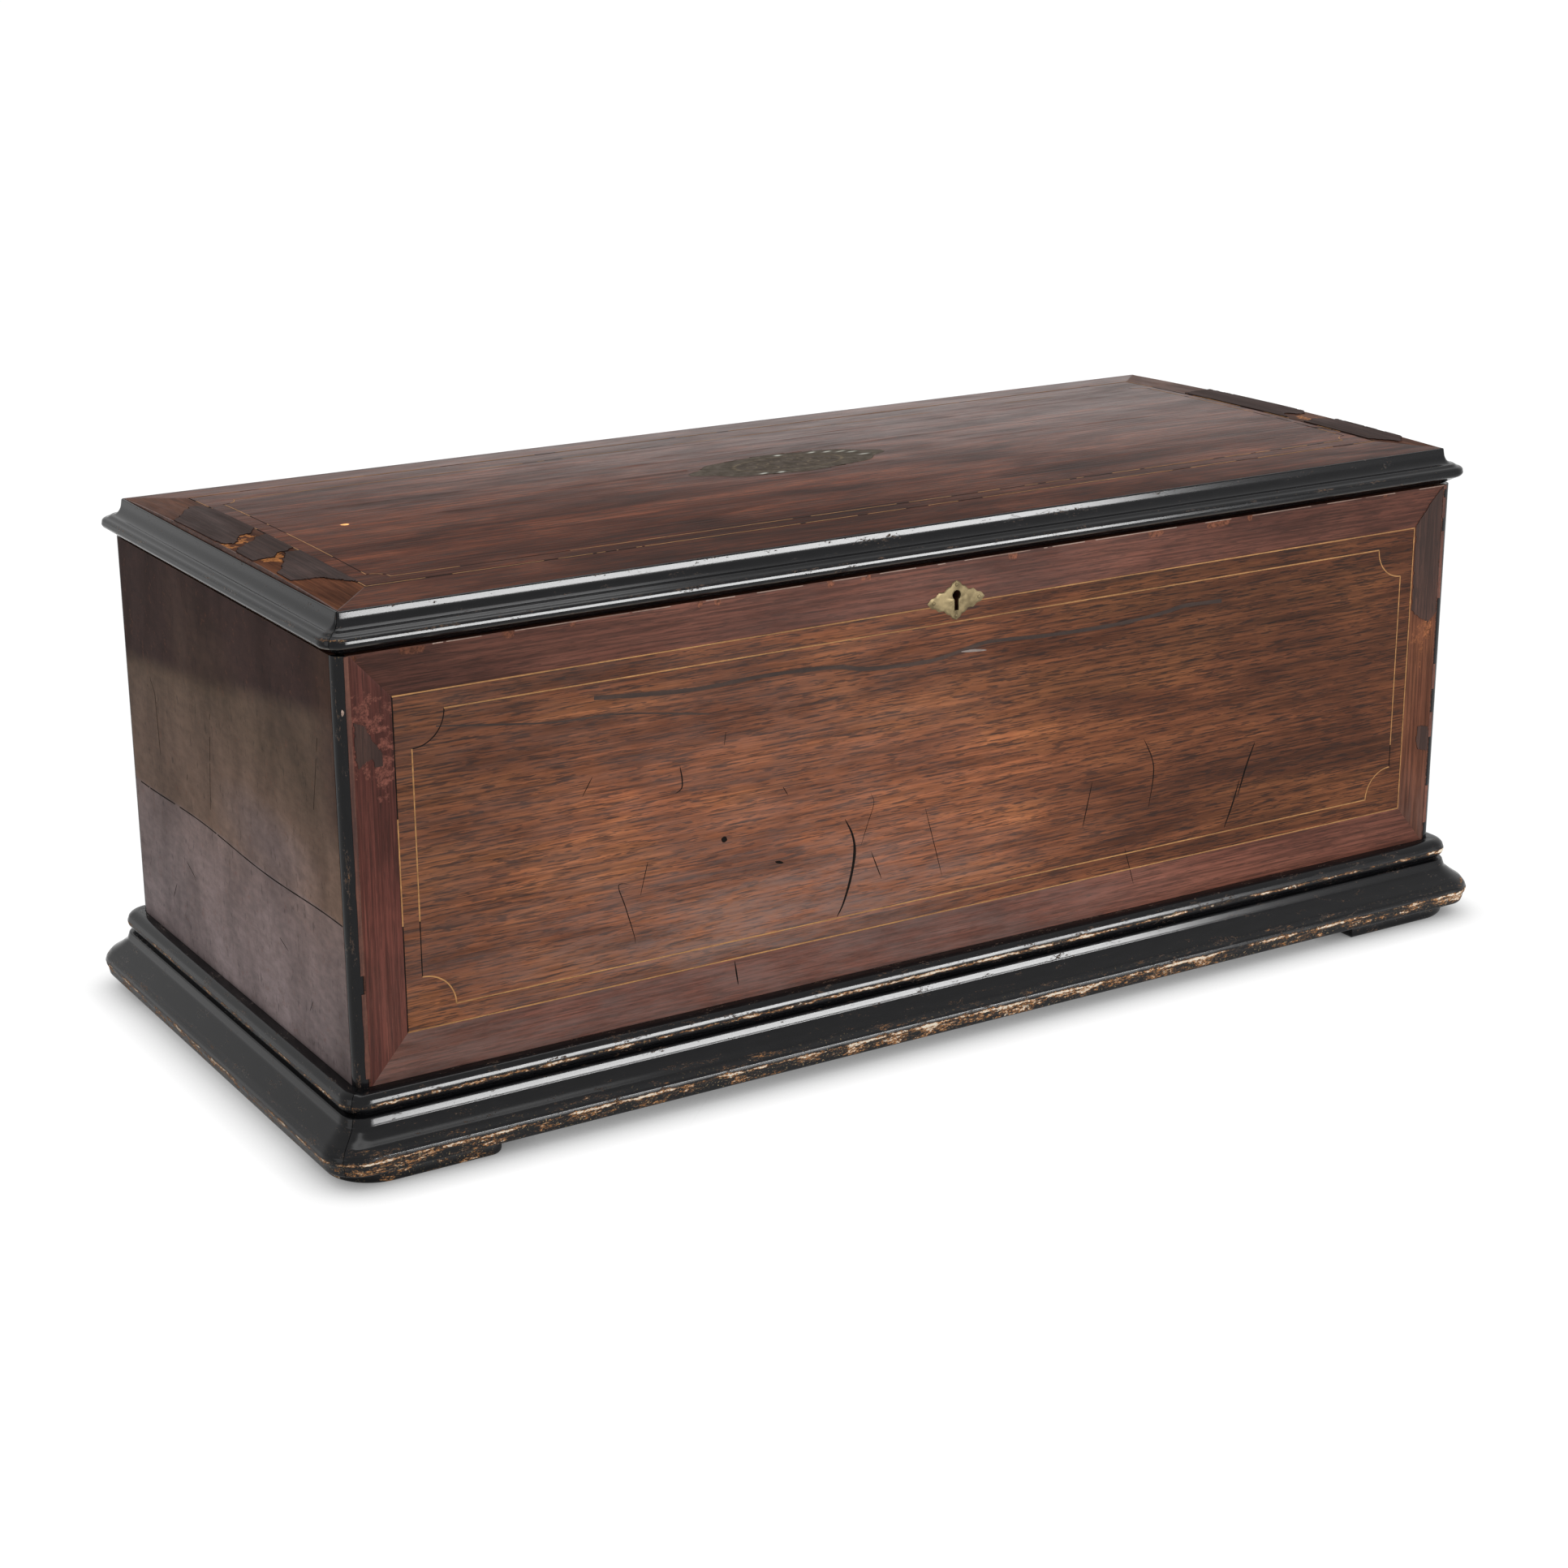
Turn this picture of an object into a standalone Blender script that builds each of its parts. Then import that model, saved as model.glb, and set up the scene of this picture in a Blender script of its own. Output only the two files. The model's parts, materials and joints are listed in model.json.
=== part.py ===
"""Cylinder music box in a moulded wooden case, with its lever-wound movement.

The case stands on four low feet with its front towards -Y. The lid is
hinged at the back. Inside, a partition at each end closes off a compartment:
the winding lever on the left, the two control levers on the right. Between
them a glazed inner lid covers the bedplate with barrel, cylinder, comb and
governor. All sizes are in metres, +Z is up, and the origin lies on the floor
under the middle of the case.
"""

import math

import bmesh
import bpy
from mathutils import Matrix, Vector

MM = 0.001

# Clearances
GAP = 0.3 * MM
MITRE_GAP = 0.22 * MM
LID_GAP = 0.5 * MM
MOVEMENT_GAP = 4.0 * MM
LAP = 1 * MM
END_GAP = 1 * MM
PIVOT_END = 2 * MM

# Case
CASE_LENGTH = 700 * MM
CASE_DEPTH = 300 * MM
CASE_HEIGHT = 218 * MM
WALL = 12 * MM
CORNER_RADIUS = 6 * MM
CORNER_GROWTH = 0.6
BOTTOM_THICKNESS = 8 * MM
PARTITION_THICKNESS = 8 * MM
COMPARTMENT_WIDTH = 64 * MM
PARTITION_DROP = 19 * MM
LEDGE_WIDTH = 5 * MM
LEDGE_HEIGHT = 4 * MM

# Plinth moulding and feet
FOOT_HEIGHT = 8 * MM
FOOT_LENGTH = 86 * MM
FOOT_DEPTH = 46 * MM
FOOT_OVERHANG = 14 * MM
FOOT_ROUND = 26 * MM
FOOT_LEVELS = ((0.0, 1.4 * MM), (1.2 * MM, 0.3 * MM), (3.6 * MM, 0.0), (6.6 * MM, 0.5 * MM),
               (FOOT_HEIGHT, 1.9 * MM))
PLINTH_HEIGHT = 36.4 * MM
PLINTH_LEDGE = 22 * MM
PLINTH_NOSE = 22 * MM
PLINTH_LAP = 1.0 * MM
BEAD_OVERHANG = 9.4 * MM
BEAD_HEIGHT = 11.5 * MM
STEP_IN = 0.6 * MM
STEP_DOWN = 1.2 * MM
PLINTH_NOSE_RADIUS = 4.5 * MM
PLINTH_NOSE_SINK = 1 * MM
PLINTH_HEEL_IN = 1.8 * MM
PLINTH_HEEL_RISE = 1.0 * MM
PLINTH_HEEL_WIDTH = 1.2 * MM

# Lid
LID_THICKNESS = 19.9 * MM
LID_CROWN = 2.5 * MM
LID_RIM = 5.0 * MM
LID_NOSE = 7.0 * MM
LID_NOSE_RADIUS = 3.0 * MM
LID_EDGE_ROUND = 0.9 * MM
LID_EDGE_DROP = 0.2 * MM
LID_FILLET_IN = 1.3 * MM
LID_FILLET_DROP = 2.0 * MM
HOLLOW_END_IN = 2.0 * MM
HOLLOW_END_RISE = 4.4 * MM
QUIRK_IN = 0.6 * MM
QUIRK_RISE = 0.1 * MM
LID_LIP = 1.4 * MM
CARTOUCHE_LENGTH = 125 * MM
CARTOUCHE_DEPTH = 52 * MM
CARTOUCHE_Y = 17 * MM
CARTOUCHE_THICKNESS = 0.8 * MM
CARTOUCHE_PROUD = 0.15 * MM
TUNE_SHEET_LENGTH = 150 * MM
TUNE_SHEET_DEPTH = 105 * MM
TUNE_SHEET_THICKNESS = 0.6 * MM

# Butt hinges of the lid
HINGE_INSET = 120 * MM
HINGE_WIDTH = 50 * MM
LEAF_THICKNESS = 1.5 * MM
LEAF_REACH = 11 * MM
KNUCKLE_RADIUS = 2.8 * MM
KNUCKLE_OVERHANG = 4.0 * MM
HINGE_PIN_RADIUS = 1.2 * MM
LEAF_BACK_GAP = 0.5 * MM
LEAF_SUNK = 0.1 * MM

# Lock and escutcheon
ESCUTCHEON_LENGTH = 36.4 * MM
ESCUTCHEON_HEIGHT = 21.5 * MM
ESCUTCHEON_DROP = 21 * MM
ESCUTCHEON_THICKNESS = 1.2 * MM
ESCUTCHEON_PROUD = 0.3 * MM
KEYHOLE_RADIUS = 2.6 * MM
KEYHOLE_SLOT = 2.6 * MM
KEYHOLE_HEIGHT = 10.8 * MM
LOCK_WIDTH = 44 * MM
LOCK_HEIGHT = 40 * MM
LOCK_DEPTH = 8.7 * MM
BOLT_WIDTH = 14 * MM
BOLT_THICKNESS = 3.4 * MM
BOLT_HEIGHT = 21 * MM
BOLT_THROW = 6 * MM
KEEPER_WIDTH = 32 * MM
KEEPER_DEPTH = 12 * MM
KEEPER_THICKNESS = 1.5 * MM
LOCK_TOP_GAP = 0.6 * MM
KEEPER_SLOT_MARGIN = 1.0 * MM

# Glazed inner lid
GLASS_FRAME_WIDTH = 16 * MM
GLASS_FRAME_THICKNESS = 12 * MM
GLASS_FRONT_MARGIN = 12 * MM
GLASS_BACK_MARGIN = 4 * MM
GLASS_THICKNESS = 2.7 * MM
GLASS_REBATE = 4 * MM
GLASS_PIN_RADIUS = 2 * MM
GLASS_PIN_LENGTH = 4.5 * MM
GLASS_PIVOT_INSET = 8 * MM
GLASS_SIDE_GAP = 0.5 * MM

# Bedplate
BED_LEG_HEIGHT = 13 * MM
BED_LEG_RADIUS = 9 * MM
BED_THICKNESS = 7 * MM
BED_FRONT = -118 * MM
BED_BACK = 84 * MM
COCK_THICKNESS = 6 * MM
COCK_SPREAD = 14 * MM
COCK_TAPER = 4 * MM
COCK_RISE = 12 * MM
LEG_INSET = 6 * MM
AXIS_RISE = 46.5 * MM
PIVOT_RADIUS = 3 * MM
ARBOR_RADIUS = 5 * MM

# Gear teeth: every wheel below is cut to one module
MODULE = 2 * MM
GREAT_WHEEL_TEETH = 40
CYLINDER_PINION_TEETH = 12
CYLINDER_WHEEL_TEETH = 30
GOVERNOR_PINION_TEETH = 8
GREAT_WHEEL_WIDTH = 7 * MM
CYLINDER_WHEEL_WIDTH = 5 * MM

# Cylinder and comb
CYLINDER_Y = -20 * MM
CYLINDER_RADIUS = 26 * MM
CYLINDER_INSET = 113.7 * MM
CYLINDER_SHELL = 2.5 * MM
CYLINDER_CAP = 4 * MM
CYLINDER_SHIFT = 3 * MM
COMB_TEETH = 72
COMB_MARGIN = 9 * MM
COMB_THICKNESS = 2.6 * MM
COMB_TIP_GAP = 1.0 * MM
COMB_SLOT = 0.9 * MM
COMB_TREBLE_TOOTH = 28 * MM
COMB_BASS_TOOTH = 44 * MM
COMB_BACK = 66 * MM
COMB_BASE_DEPTH = 20 * MM

# Barrel, ratchets and winding lever
BARREL_LENGTH = 46 * MM
BARREL_RADIUS = 32 * MM
BARREL_WALL = 2 * MM
SPRING_TURNS = 6
SPRING_THICKNESS = 0.8 * MM
RATCHET_RADIUS = 16 * MM
RATCHET_DEPTH = 2.5 * MM
RATCHET_WIDTH = 5 * MM
RATCHET_TEETH = 20
PAWL_PIVOT = 27 * MM
PAWL_ANGLE = 35
PAWL_TIP_RADIUS = 1.5 * MM
PAWL_EYE_RADIUS = 4.5 * MM
PAWL_PIN_RADIUS = 2 * MM
LEVER_THICKNESS = 6 * MM
LEVER_SIDE_GAP = 3 * MM
LEVER_HUB_RADIUS = 13 * MM
LEVER_LENGTH = 115 * MM
LEVER_END_RADIUS = 5 * MM
LEVER_REST_ANGLE = 60
GRIP_RADIUS = 6 * MM
GRIP_LENGTH = 28 * MM
COLLAR_LIP = 3 * MM
COLLAR_WIDTH = 7 * MM
PAWL_SIDE_GAP = 0.4 * MM

# Governor
WORM_WHEEL_TEETH = 36
WORM_MODULE = 1 * MM
WORM_WHEEL_WIDTH = 3 * MM
WORM_THREAD_RADIUS = 3.6 * MM
WORM_CORE_RADIUS = 2.4 * MM
WORM_SHAFT_RADIUS = 1.5 * MM
WORM_TURNS = 5
GOVERNOR_ARBOR_RADIUS = 2.5 * MM
GOVERNOR_POST = 4 * MM
FLY_RADIUS = 12 * MM
FLY_HEIGHT = 16 * MM
FLY_THICKNESS = 1 * MM
FLY_CLEARANCE = 3 * MM
WORM_NECK = 0.5 * MM
GOVERNOR_BASE = 6 * MM
GOVERNOR_POST_HALF = 10 * MM
GOVERNOR_ARM_HALF = 5 * MM
FLY_STEP = 2 * MM

# Control levers
CONTROL_PIVOT_HEIGHT = 97 * MM
CONTROL_REACH_UP = 72 * MM
CONTROL_REACH_DOWN = 35 * MM
CONTROL_THICKNESS = 3 * MM
CONTROL_PIN_RADIUS = 2.5 * MM
CONTROL_KNOB_RADIUS = 6 * MM
CONTROL_KNOB_LENGTH = 14 * MM
CONTROL_FOOT_RADIUS = 5 * MM
CONTROL_HEAD_RADIUS = 4 * MM
START_LEVER_Y = -80 * MM
CHANGE_LEVER_Y = 20 * MM

# Levels and places worked out from the sizes above
PLINTH_BOTTOM = FOOT_HEIGHT + GAP
CASE_BOTTOM = PLINTH_BOTTOM + PLINTH_HEIGHT + GAP
CASE_TOP = CASE_BOTTOM + CASE_HEIGHT
LID_BOTTOM = CASE_TOP + LID_GAP
LID_TOP = LID_BOTTOM + LID_THICKNESS
FLOOR = CASE_BOTTOM + BOTTOM_THICKNESS
HALF_LENGTH = CASE_LENGTH / 2
HALF_DEPTH = CASE_DEPTH / 2
INNER_X = HALF_LENGTH - WALL
INNER_Y = HALF_DEPTH - WALL
PARTITION_X = INNER_X - COMPARTMENT_WIDTH
MOVEMENT_X = PARTITION_X - PARTITION_THICKNESS
PARTITION_TOP = CASE_TOP - PARTITION_DROP
BED_TOP = FLOOR + GAP + BED_LEG_HEIGHT + BED_THICKNESS
AXIS_Z = BED_TOP + AXIS_RISE
HINGE_Y = HALF_DEPTH + KNUCKLE_OVERHANG
HINGE_Z = CASE_TOP + LID_GAP / 2
KEYHOLE_Z = CASE_TOP - ESCUTCHEON_DROP
BORE = ARBOR_RADIUS + GAP
BARREL_Y = CYLINDER_Y + MODULE * (GREAT_WHEEL_TEETH + CYLINDER_PINION_TEETH) / 2
GOVERNOR_Y = CYLINDER_Y + MODULE * (CYLINDER_WHEEL_TEETH + GOVERNOR_PINION_TEETH) / 2
WORM_WHEEL_RADIUS = WORM_MODULE * WORM_WHEEL_TEETH / 2
WORM_PITCH_RADIUS = WORM_THREAD_RADIUS - 0.2 * MM
WORM_Y = GOVERNOR_Y + WORM_WHEEL_RADIUS + WORM_PITCH_RADIUS

# Stations along the movement, from left to right
BRIDGE_X = -MOVEMENT_X + MOVEMENT_GAP
BARREL_RATCHET_X = BRIDGE_X + COCK_THICKNESS + MOVEMENT_GAP
DRUM_X = BARREL_RATCHET_X + RATCHET_WIDTH + MOVEMENT_GAP
GREAT_WHEEL_X = DRUM_X + BARREL_LENGTH + GAP
LEFT_BEARING_X = GREAT_WHEEL_X + GREAT_WHEEL_WIDTH + MOVEMENT_GAP
CYLINDER_X = LEFT_BEARING_X + COCK_THICKNESS + 1.5 * MOVEMENT_GAP
CYLINDER_END_X = MOVEMENT_X - CYLINDER_INSET
CYLINDER_WHEEL_X = CYLINDER_END_X + CYLINDER_SHIFT + MOVEMENT_GAP
RIGHT_BEARING_X = CYLINDER_WHEEL_X + CYLINDER_WHEEL_WIDTH + MOVEMENT_GAP
GOVERNOR_POST_X = RIGHT_BEARING_X
FLY_X = GOVERNOR_POST_X + GOVERNOR_POST + 1.5 * MOVEMENT_GAP + FLY_RADIUS
GOVERNOR_OUTER_X = FLY_X + FLY_RADIUS + MOVEMENT_GAP / 2
LEVER_RATCHET_X = -PARTITION_X - MOVEMENT_GAP - RATCHET_WIDTH
LEVER_X = LEVER_RATCHET_X - LEVER_SIDE_GAP - LEVER_THICKNESS

# Finishes: base colour, roughness, metallic
ROSEWOOD = ("rosewood", (0.155, 0.050, 0.026), 0.35, 0.0)
EBONISED = ("ebonised_wood", (0.012, 0.012, 0.013), 0.28, 0.0)
PINE = ("pine", (0.42, 0.27, 0.14), 0.7, 0.0)
BRASS = ("brass", (0.60, 0.46, 0.22), 0.32, 1.0)
STEEL = ("steel", (0.46, 0.46, 0.48), 0.30, 1.0)
BLUED_STEEL = ("blued_steel", (0.09, 0.11, 0.17), 0.30, 1.0)
IRON = ("painted_iron", (0.05, 0.05, 0.055), 0.55, 0.3)
GLASS = ("glass", (0.85, 0.90, 0.90), 0.05, 0.0)
PAPER = ("paper", (0.72, 0.64, 0.48), 0.85, 0.0)

AXIS_FRAMES = {
    "X": Matrix(((0, 0, 1), (1, 0, 0), (0, 1, 0))),
    "Y": Matrix(((1, 0, 0), (0, 0, -1), (0, 1, 0))),
    "Z": Matrix.Identity(3),
}


def start_scene():
    """Empty the scene and make one collection for the parts and one for the cutters."""
    for obj in list(bpy.data.objects):
        bpy.data.objects.remove(obj, do_unlink=True)
    groups = []
    for name in ("music_box", "cutters"):
        group = bpy.data.collections.new(name)
        bpy.context.scene.collection.children.link(group)
        groups.append(group)
    return groups


PARTS, CUTTERS = start_scene()


def finish_material(finish):
    """Return the Principled material of a finish, made once."""
    name, colour, roughness, metallic = finish
    made = bpy.data.materials.get(name)
    if made:
        return made
    made = bpy.data.materials.new(name)
    made.use_nodes = True
    shader = made.node_tree.nodes["Principled BSDF"]
    shader.inputs["Base Color"].default_value = (*colour, 1)
    shader.inputs["Roughness"].default_value = roughness
    shader.inputs["Metallic"].default_value = metallic
    made.diffuse_color = (*colour, 1)
    return made


def place(name, mesh, finish=None, at=(0, 0, 0), axis="Z"):
    """Link a mesh as a named object, its local Z turned to the given world axis."""
    obj = bpy.data.objects.new(name, mesh)
    obj.matrix_world = Matrix.Translation(Vector(at)) @ AXIS_FRAMES[axis].to_4x4()
    if finish:
        mesh.materials.append(finish_material(finish))
    PARTS.objects.link(obj)
    return obj


def as_mesh(source):
    """Turn a curve or an unsettled mesh object into one closed mesh facing out."""
    PARTS.objects.link(source)
    evaluated = source.evaluated_get(bpy.context.evaluated_depsgraph_get())
    mesh = bpy.data.meshes.new_from_object(evaluated)
    bpy.data.objects.remove(source, do_unlink=True)
    return settle(mesh)


def settle(mesh):
    """Weld a mesh's doubles and point its faces outward."""
    shape = bmesh.new()
    shape.from_mesh(mesh)
    bmesh.ops.remove_doubles(shape, verts=shape.verts, dist=1e-6)
    bmesh.ops.dissolve_degenerate(shape, edges=shape.edges, dist=1e-7)
    bmesh.ops.recalc_face_normals(shape, faces=shape.faces)
    shape.to_mesh(mesh)
    shape.free()
    return mesh


def box(name, low, high, finish=None):
    """A box between two corners."""
    size = [b - a for a, b in zip(low, high)]
    centre = [(a + b) / 2 for a, b in zip(low, high)]
    shape = bmesh.new()
    bmesh.ops.create_cube(shape, size=1.0)
    bmesh.ops.scale(shape, vec=size, verts=shape.verts)
    mesh = bpy.data.meshes.new(name)
    shape.to_mesh(mesh)
    shape.free()
    return place(name, mesh, finish, centre)


def spot(axis, along, across):
    """A world point from its place along an axis and the two places across it."""
    local = Vector((across[0], across[1], 0))
    point = AXIS_FRAMES[axis] @ local
    point["XYZ".index(axis)] = along
    return point


def rod(name, axis, across, radius, low, high, finish=None, sides=20):
    """A round bar along an axis, from low to high, centred at the two places across."""
    shape = bmesh.new()
    bmesh.ops.create_cone(
        shape, cap_ends=True, segments=sides, radius1=radius, radius2=radius, depth=high - low)
    mesh = bpy.data.meshes.new(name)
    shape.to_mesh(mesh)
    shape.free()
    return place(name, mesh, finish, spot(axis, (low + high) / 2, across), axis)


def plate(name, outlines, axis, low, high, finish=None):
    """A flat piece: closed outlines across an axis, filled and as thick as low to high."""
    curve = bpy.data.curves.new(name, "CURVE")
    curve.dimensions = "2D"
    curve.fill_mode = "BOTH"
    curve.extrude = (high - low) / 2
    for outline in outlines:
        spline = curve.splines.new("POLY")
        spline.points.add(len(outline) - 1)
        for point, (u, v) in zip(spline.points, outline):
            point.co = (u, v, 0, 1)
        spline.use_cyclic_u = True
    mesh = as_mesh(bpy.data.objects.new(name, curve))
    return place(name, mesh, finish, spot(axis, (low + high) / 2, (0, 0)), axis)


def turned(name, axis, across, outline, finish=None, steps=24, closed=True):
    """A turned piece: an outline of (radius, place along the axis) swept round it."""
    count = len(outline)
    edges = [(i, i + 1) for i in range(count - 1)]
    if closed:
        edges.append((count - 1, 0))
    mesh = bpy.data.meshes.new(name)
    mesh.from_pydata([(radius, 0, along) for radius, along in outline], edges, [])
    source = bpy.data.objects.new(name, mesh)
    screw = source.modifiers.new("turn", "SCREW")
    screw.axis = "Z"
    screw.steps = steps
    screw.render_steps = steps
    screw.use_merge_vertices = True
    screw.merge_threshold = 1e-5
    return place(name, as_mesh(source), finish, spot(axis, 0, across), axis)


def loft(name, sections, finish=None):
    """A closed body through rings of equally many world points, with flat ends."""
    shape = bmesh.new()
    rings = [[shape.verts.new(point) for point in ring] for ring in sections]
    count = len(rings[0])
    for before, after in zip(rings, rings[1:]):
        for i in range(count):
            j = (i + 1) % count
            shape.faces.new((before[i], before[j], after[j], after[i]))
    shape.faces.new(rings[0])
    shape.faces.new(rings[-1])
    mesh = bpy.data.meshes.new(name)
    shape.to_mesh(mesh)
    shape.free()
    return place(name, settle(mesh), finish)


def combine(target, tools, operation):
    """Cut the tools from the target, or join them to it, and hide them as cutters."""
    for tool in tools:
        PARTS.objects.unlink(tool)
        CUTTERS.objects.link(tool)
        tool.hide_render = True
        tool.display_type = "WIRE"
        modifier = target.modifiers.new(tool.name, "BOOLEAN")
        modifier.operation = operation
        modifier.object = tool
    return target


def cut(target, *tools):
    """Cut each tool out of the target."""
    return combine(target, tools, "DIFFERENCE")


def join(target, *tools):
    """Make each tool one solid with the target."""
    return combine(target, tools, "UNION")


def pivot(name, at, *pieces):
    """Parent pieces to an empty on their joint's axis, leaving them where they are."""
    empty = bpy.data.objects.new(name, None)
    empty.location = at
    PARTS.objects.link(empty)
    for piece in pieces:
        piece.parent = empty
        piece.matrix_parent_inverse = Matrix.Translation(-Vector(at))
    return empty


def arc(centre, radius, start, end, steps):
    """Points round a centre from one angle to another, in degrees."""
    points = []
    for i in range(steps + 1):
        angle = math.radians(start + (end - start) * i / steps)
        points.append((centre[0] + radius * math.cos(angle), centre[1] + radius * math.sin(angle)))
    return points


def circle(centre, radius, sides=20):
    """A closed round outline."""
    return arc(centre, radius, 0, 360 - 360 / sides, sides - 1)


def polar(centre, radius, degrees):
    """The point at a distance and angle from a centre."""
    angle = math.radians(degrees)
    return (centre[0] + radius * math.cos(angle), centre[1] + radius * math.sin(angle))


def link_outline(first, first_radius, second, second_radius, steps=6):
    """The taut outline round two circles, as of a lever with two round ends."""
    run = math.dist(first, second)
    heading = math.degrees(math.atan2(second[1] - first[1], second[0] - first[0]))
    lean = math.degrees(math.acos((first_radius - second_radius) / run))
    points = arc(first, first_radius, heading + lean, heading + 360 - lean, 2 * steps)
    points += arc(second, second_radius, heading - lean, heading + lean, steps)
    return points


def gear_outline(centre, teeth, module, phase=0.0):
    """A wheel's outline with narrow straight-sided teeth; phase is a tooth's angle in degrees."""
    pitch = 360 / teeth
    tip = module * (teeth / 2 + 0.75)
    root = module * (teeth / 2 - 1.15)
    points = []
    for i in range(teeth):
        middle = phase + pitch * i
        for radius, share in ((root, -0.26), (tip, -0.10), (tip, 0.10), (root, 0.26)):
            points.append(polar(centre, radius, middle + pitch * share))
    return points


def ratchet_outline(centre, phase=0.0):
    """A saw-toothed ratchet's outline, each tooth steep on one side."""
    points = []
    for i in range(RATCHET_TEETH):
        angle = phase + 360 * i / RATCHET_TEETH
        points.append(polar(centre, RATCHET_RADIUS - RATCHET_DEPTH, angle))
        points.append(polar(centre, RATCHET_RADIUS, angle + 1))
    return points


def corner_radius(overhang):
    """How far a mitre's corner is worn round at an overhang; sharp where it meets the lid panel."""
    inside = CORNER_RADIUS * (1 + overhang / LID_RIM)
    return max(0.0, min(inside, CORNER_RADIUS + CORNER_GROWTH * overhang))


def moulding(name, side, profile, finish, arc_steps=3):
    """A mitred length of moulding along one side of the case.

    The profile is a ring of (overhang, height). Each end stops at the mitre
    plane, where the outline turns round a worn corner.
    """
    along_x = side in ("front", "back")
    outward = -1 if side in ("front", "left") else 1
    half = HALF_LENGTH if along_x else HALF_DEPTH
    depth = HALF_DEPTH if along_x else HALF_LENGTH
    sections = []
    for end in (-1, 1):
        angles = [45 * i / arc_steps for i in range(arc_steps + 1)]
        for angle in reversed(angles) if end < 0 else angles:
            turn = math.radians(angle)
            ring = []
            for overhang, height in profile:
                radius = corner_radius(overhang)
                run = half + overhang - radius + radius * math.sin(turn) - MITRE_GAP
                out = depth + overhang - radius + radius * math.cos(turn)
                place_along, place_out = end * run, outward * out
                if along_x:
                    ring.append((place_along, place_out, height))
                else:
                    ring.append((place_out, place_along, height))
            sections.append(ring)
    return loft(name, sections, finish)


def plinth_profile():
    """Bead, small step, ogee and rounded nose, then the ledge that carries the case."""
    top = CASE_BOTTOM + PLINTH_LAP
    bead = (BEAD_OVERHANG - BEAD_HEIGHT / 2, top - BEAD_HEIGHT / 2)
    points = [(GAP, top)]
    points += arc(bead, BEAD_HEIGHT / 2, 90, -60, 5)
    step = (points[-1][0] - STEP_IN, points[-1][1] - STEP_DOWN)
    nose_radius = PLINTH_NOSE_RADIUS
    nose = (PLINTH_NOSE - nose_radius, PLINTH_BOTTOM + 2 * nose_radius - PLINTH_NOSE_SINK)
    points.append(step)
    rise = step[1] - nose[1] - nose_radius * 0.6
    run = nose[0] + nose_radius * 0.8 - step[0]
    for share, drop in ((0.18, 0.16), (0.36, 0.28), (0.53, 0.40), (0.69, 0.60), (0.86, 0.80)):
        points.append((step[0] + run * share, step[1] - rise * drop))
    points += arc(nose, nose_radius, 37, -40, 4)
    heel = PLINTH_NOSE - PLINTH_HEEL_IN
    points.append((heel, PLINTH_BOTTOM + PLINTH_HEEL_RISE))
    points.append((heel - PLINTH_HEEL_WIDTH, PLINTH_BOTTOM))
    points.append((-PLINTH_LEDGE, PLINTH_BOTTOM))
    points.append((-PLINTH_LEDGE, PLINTH_BOTTOM + PLINTH_HEIGHT))
    points.append((GAP, PLINTH_BOTTOM + PLINTH_HEIGHT))
    return points


def lid_profile():
    """Top fillet, hollow, thumb nose and the slope back to the lid's underside."""
    nose_radius = LID_NOSE_RADIUS
    nose = (LID_NOSE - nose_radius, LID_BOTTOM + LID_THICKNESS * 0.35)
    hollow_end = (nose[0] - HOLLOW_END_IN, nose[1] + HOLLOW_END_RISE)
    points = [(-LID_RIM, LID_TOP), (-LID_RIM + LID_EDGE_ROUND, LID_TOP - LID_EDGE_DROP)]
    start = (-LID_RIM + LID_FILLET_IN, LID_TOP - LID_FILLET_DROP)
    points.append(start)
    width = hollow_end[0] - start[0]
    height = start[1] - hollow_end[1]
    for i in range(1, 5):
        angle = math.radians(90 * i / 4)
        points.append((start[0] + width * (1 - math.cos(angle)), start[1] - height * math.sin(angle)))
    points.append((nose[0] - QUIRK_IN, nose[1] + nose_radius + QUIRK_RISE))
    points += arc(nose, nose_radius, 75, -70, 5)
    points.append((0, LID_BOTTOM + LID_LIP))
    points.append((-LID_RIM / 2, LID_BOTTOM))
    points.append((-LID_RIM, LID_BOTTOM))
    return points


def quarters(outline):
    """Repeat a quarter outline, from the right tip to the top tip, in the other three."""
    upper = outline + [(-u, v) for u, v in reversed(outline[:-1])]
    return upper + [(-u, -v) for u, v in upper[1:-1]]


def escutcheon_outline(margin=0.0):
    """A lozenge with scalloped sides, centred on the keyhole plate."""
    half_u, half_v = ESCUTCHEON_LENGTH / 2, ESCUTCHEON_HEIGHT / 2
    quarter = ((1.0, 0.0), (0.87, 0.24), (0.72, 0.30), (0.60, 0.48), (0.42, 0.47),
               (0.31, 0.66), (0.20, 0.72), (0.15, 0.86), (0.0, 1.0))
    points = [(u * half_u, v * half_v) for u, v in quarter]
    grown = []
    for u, v in quarters(points):
        reach = math.hypot(u, v)
        grown.append((u * (1 + margin / reach), v * (1 + margin / reach) + KEYHOLE_Z))
    return grown


def keyhole_outline(margin=0.0):
    """A round hole with a slot running down from it."""
    top = KEYHOLE_Z + KEYHOLE_HEIGHT / 2
    eye = (0, top - KEYHOLE_RADIUS)
    half_slot = KEYHOLE_SLOT / 2 + margin
    radius = KEYHOLE_RADIUS + margin
    dip = math.degrees(math.acos(half_slot / radius))
    points = arc(eye, radius, -dip, 180 + dip, 10)
    foot = KEYHOLE_Z - KEYHOLE_HEIGHT / 2 - margin
    points += [(-half_slot, foot), (half_slot, foot)]
    return points


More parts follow.
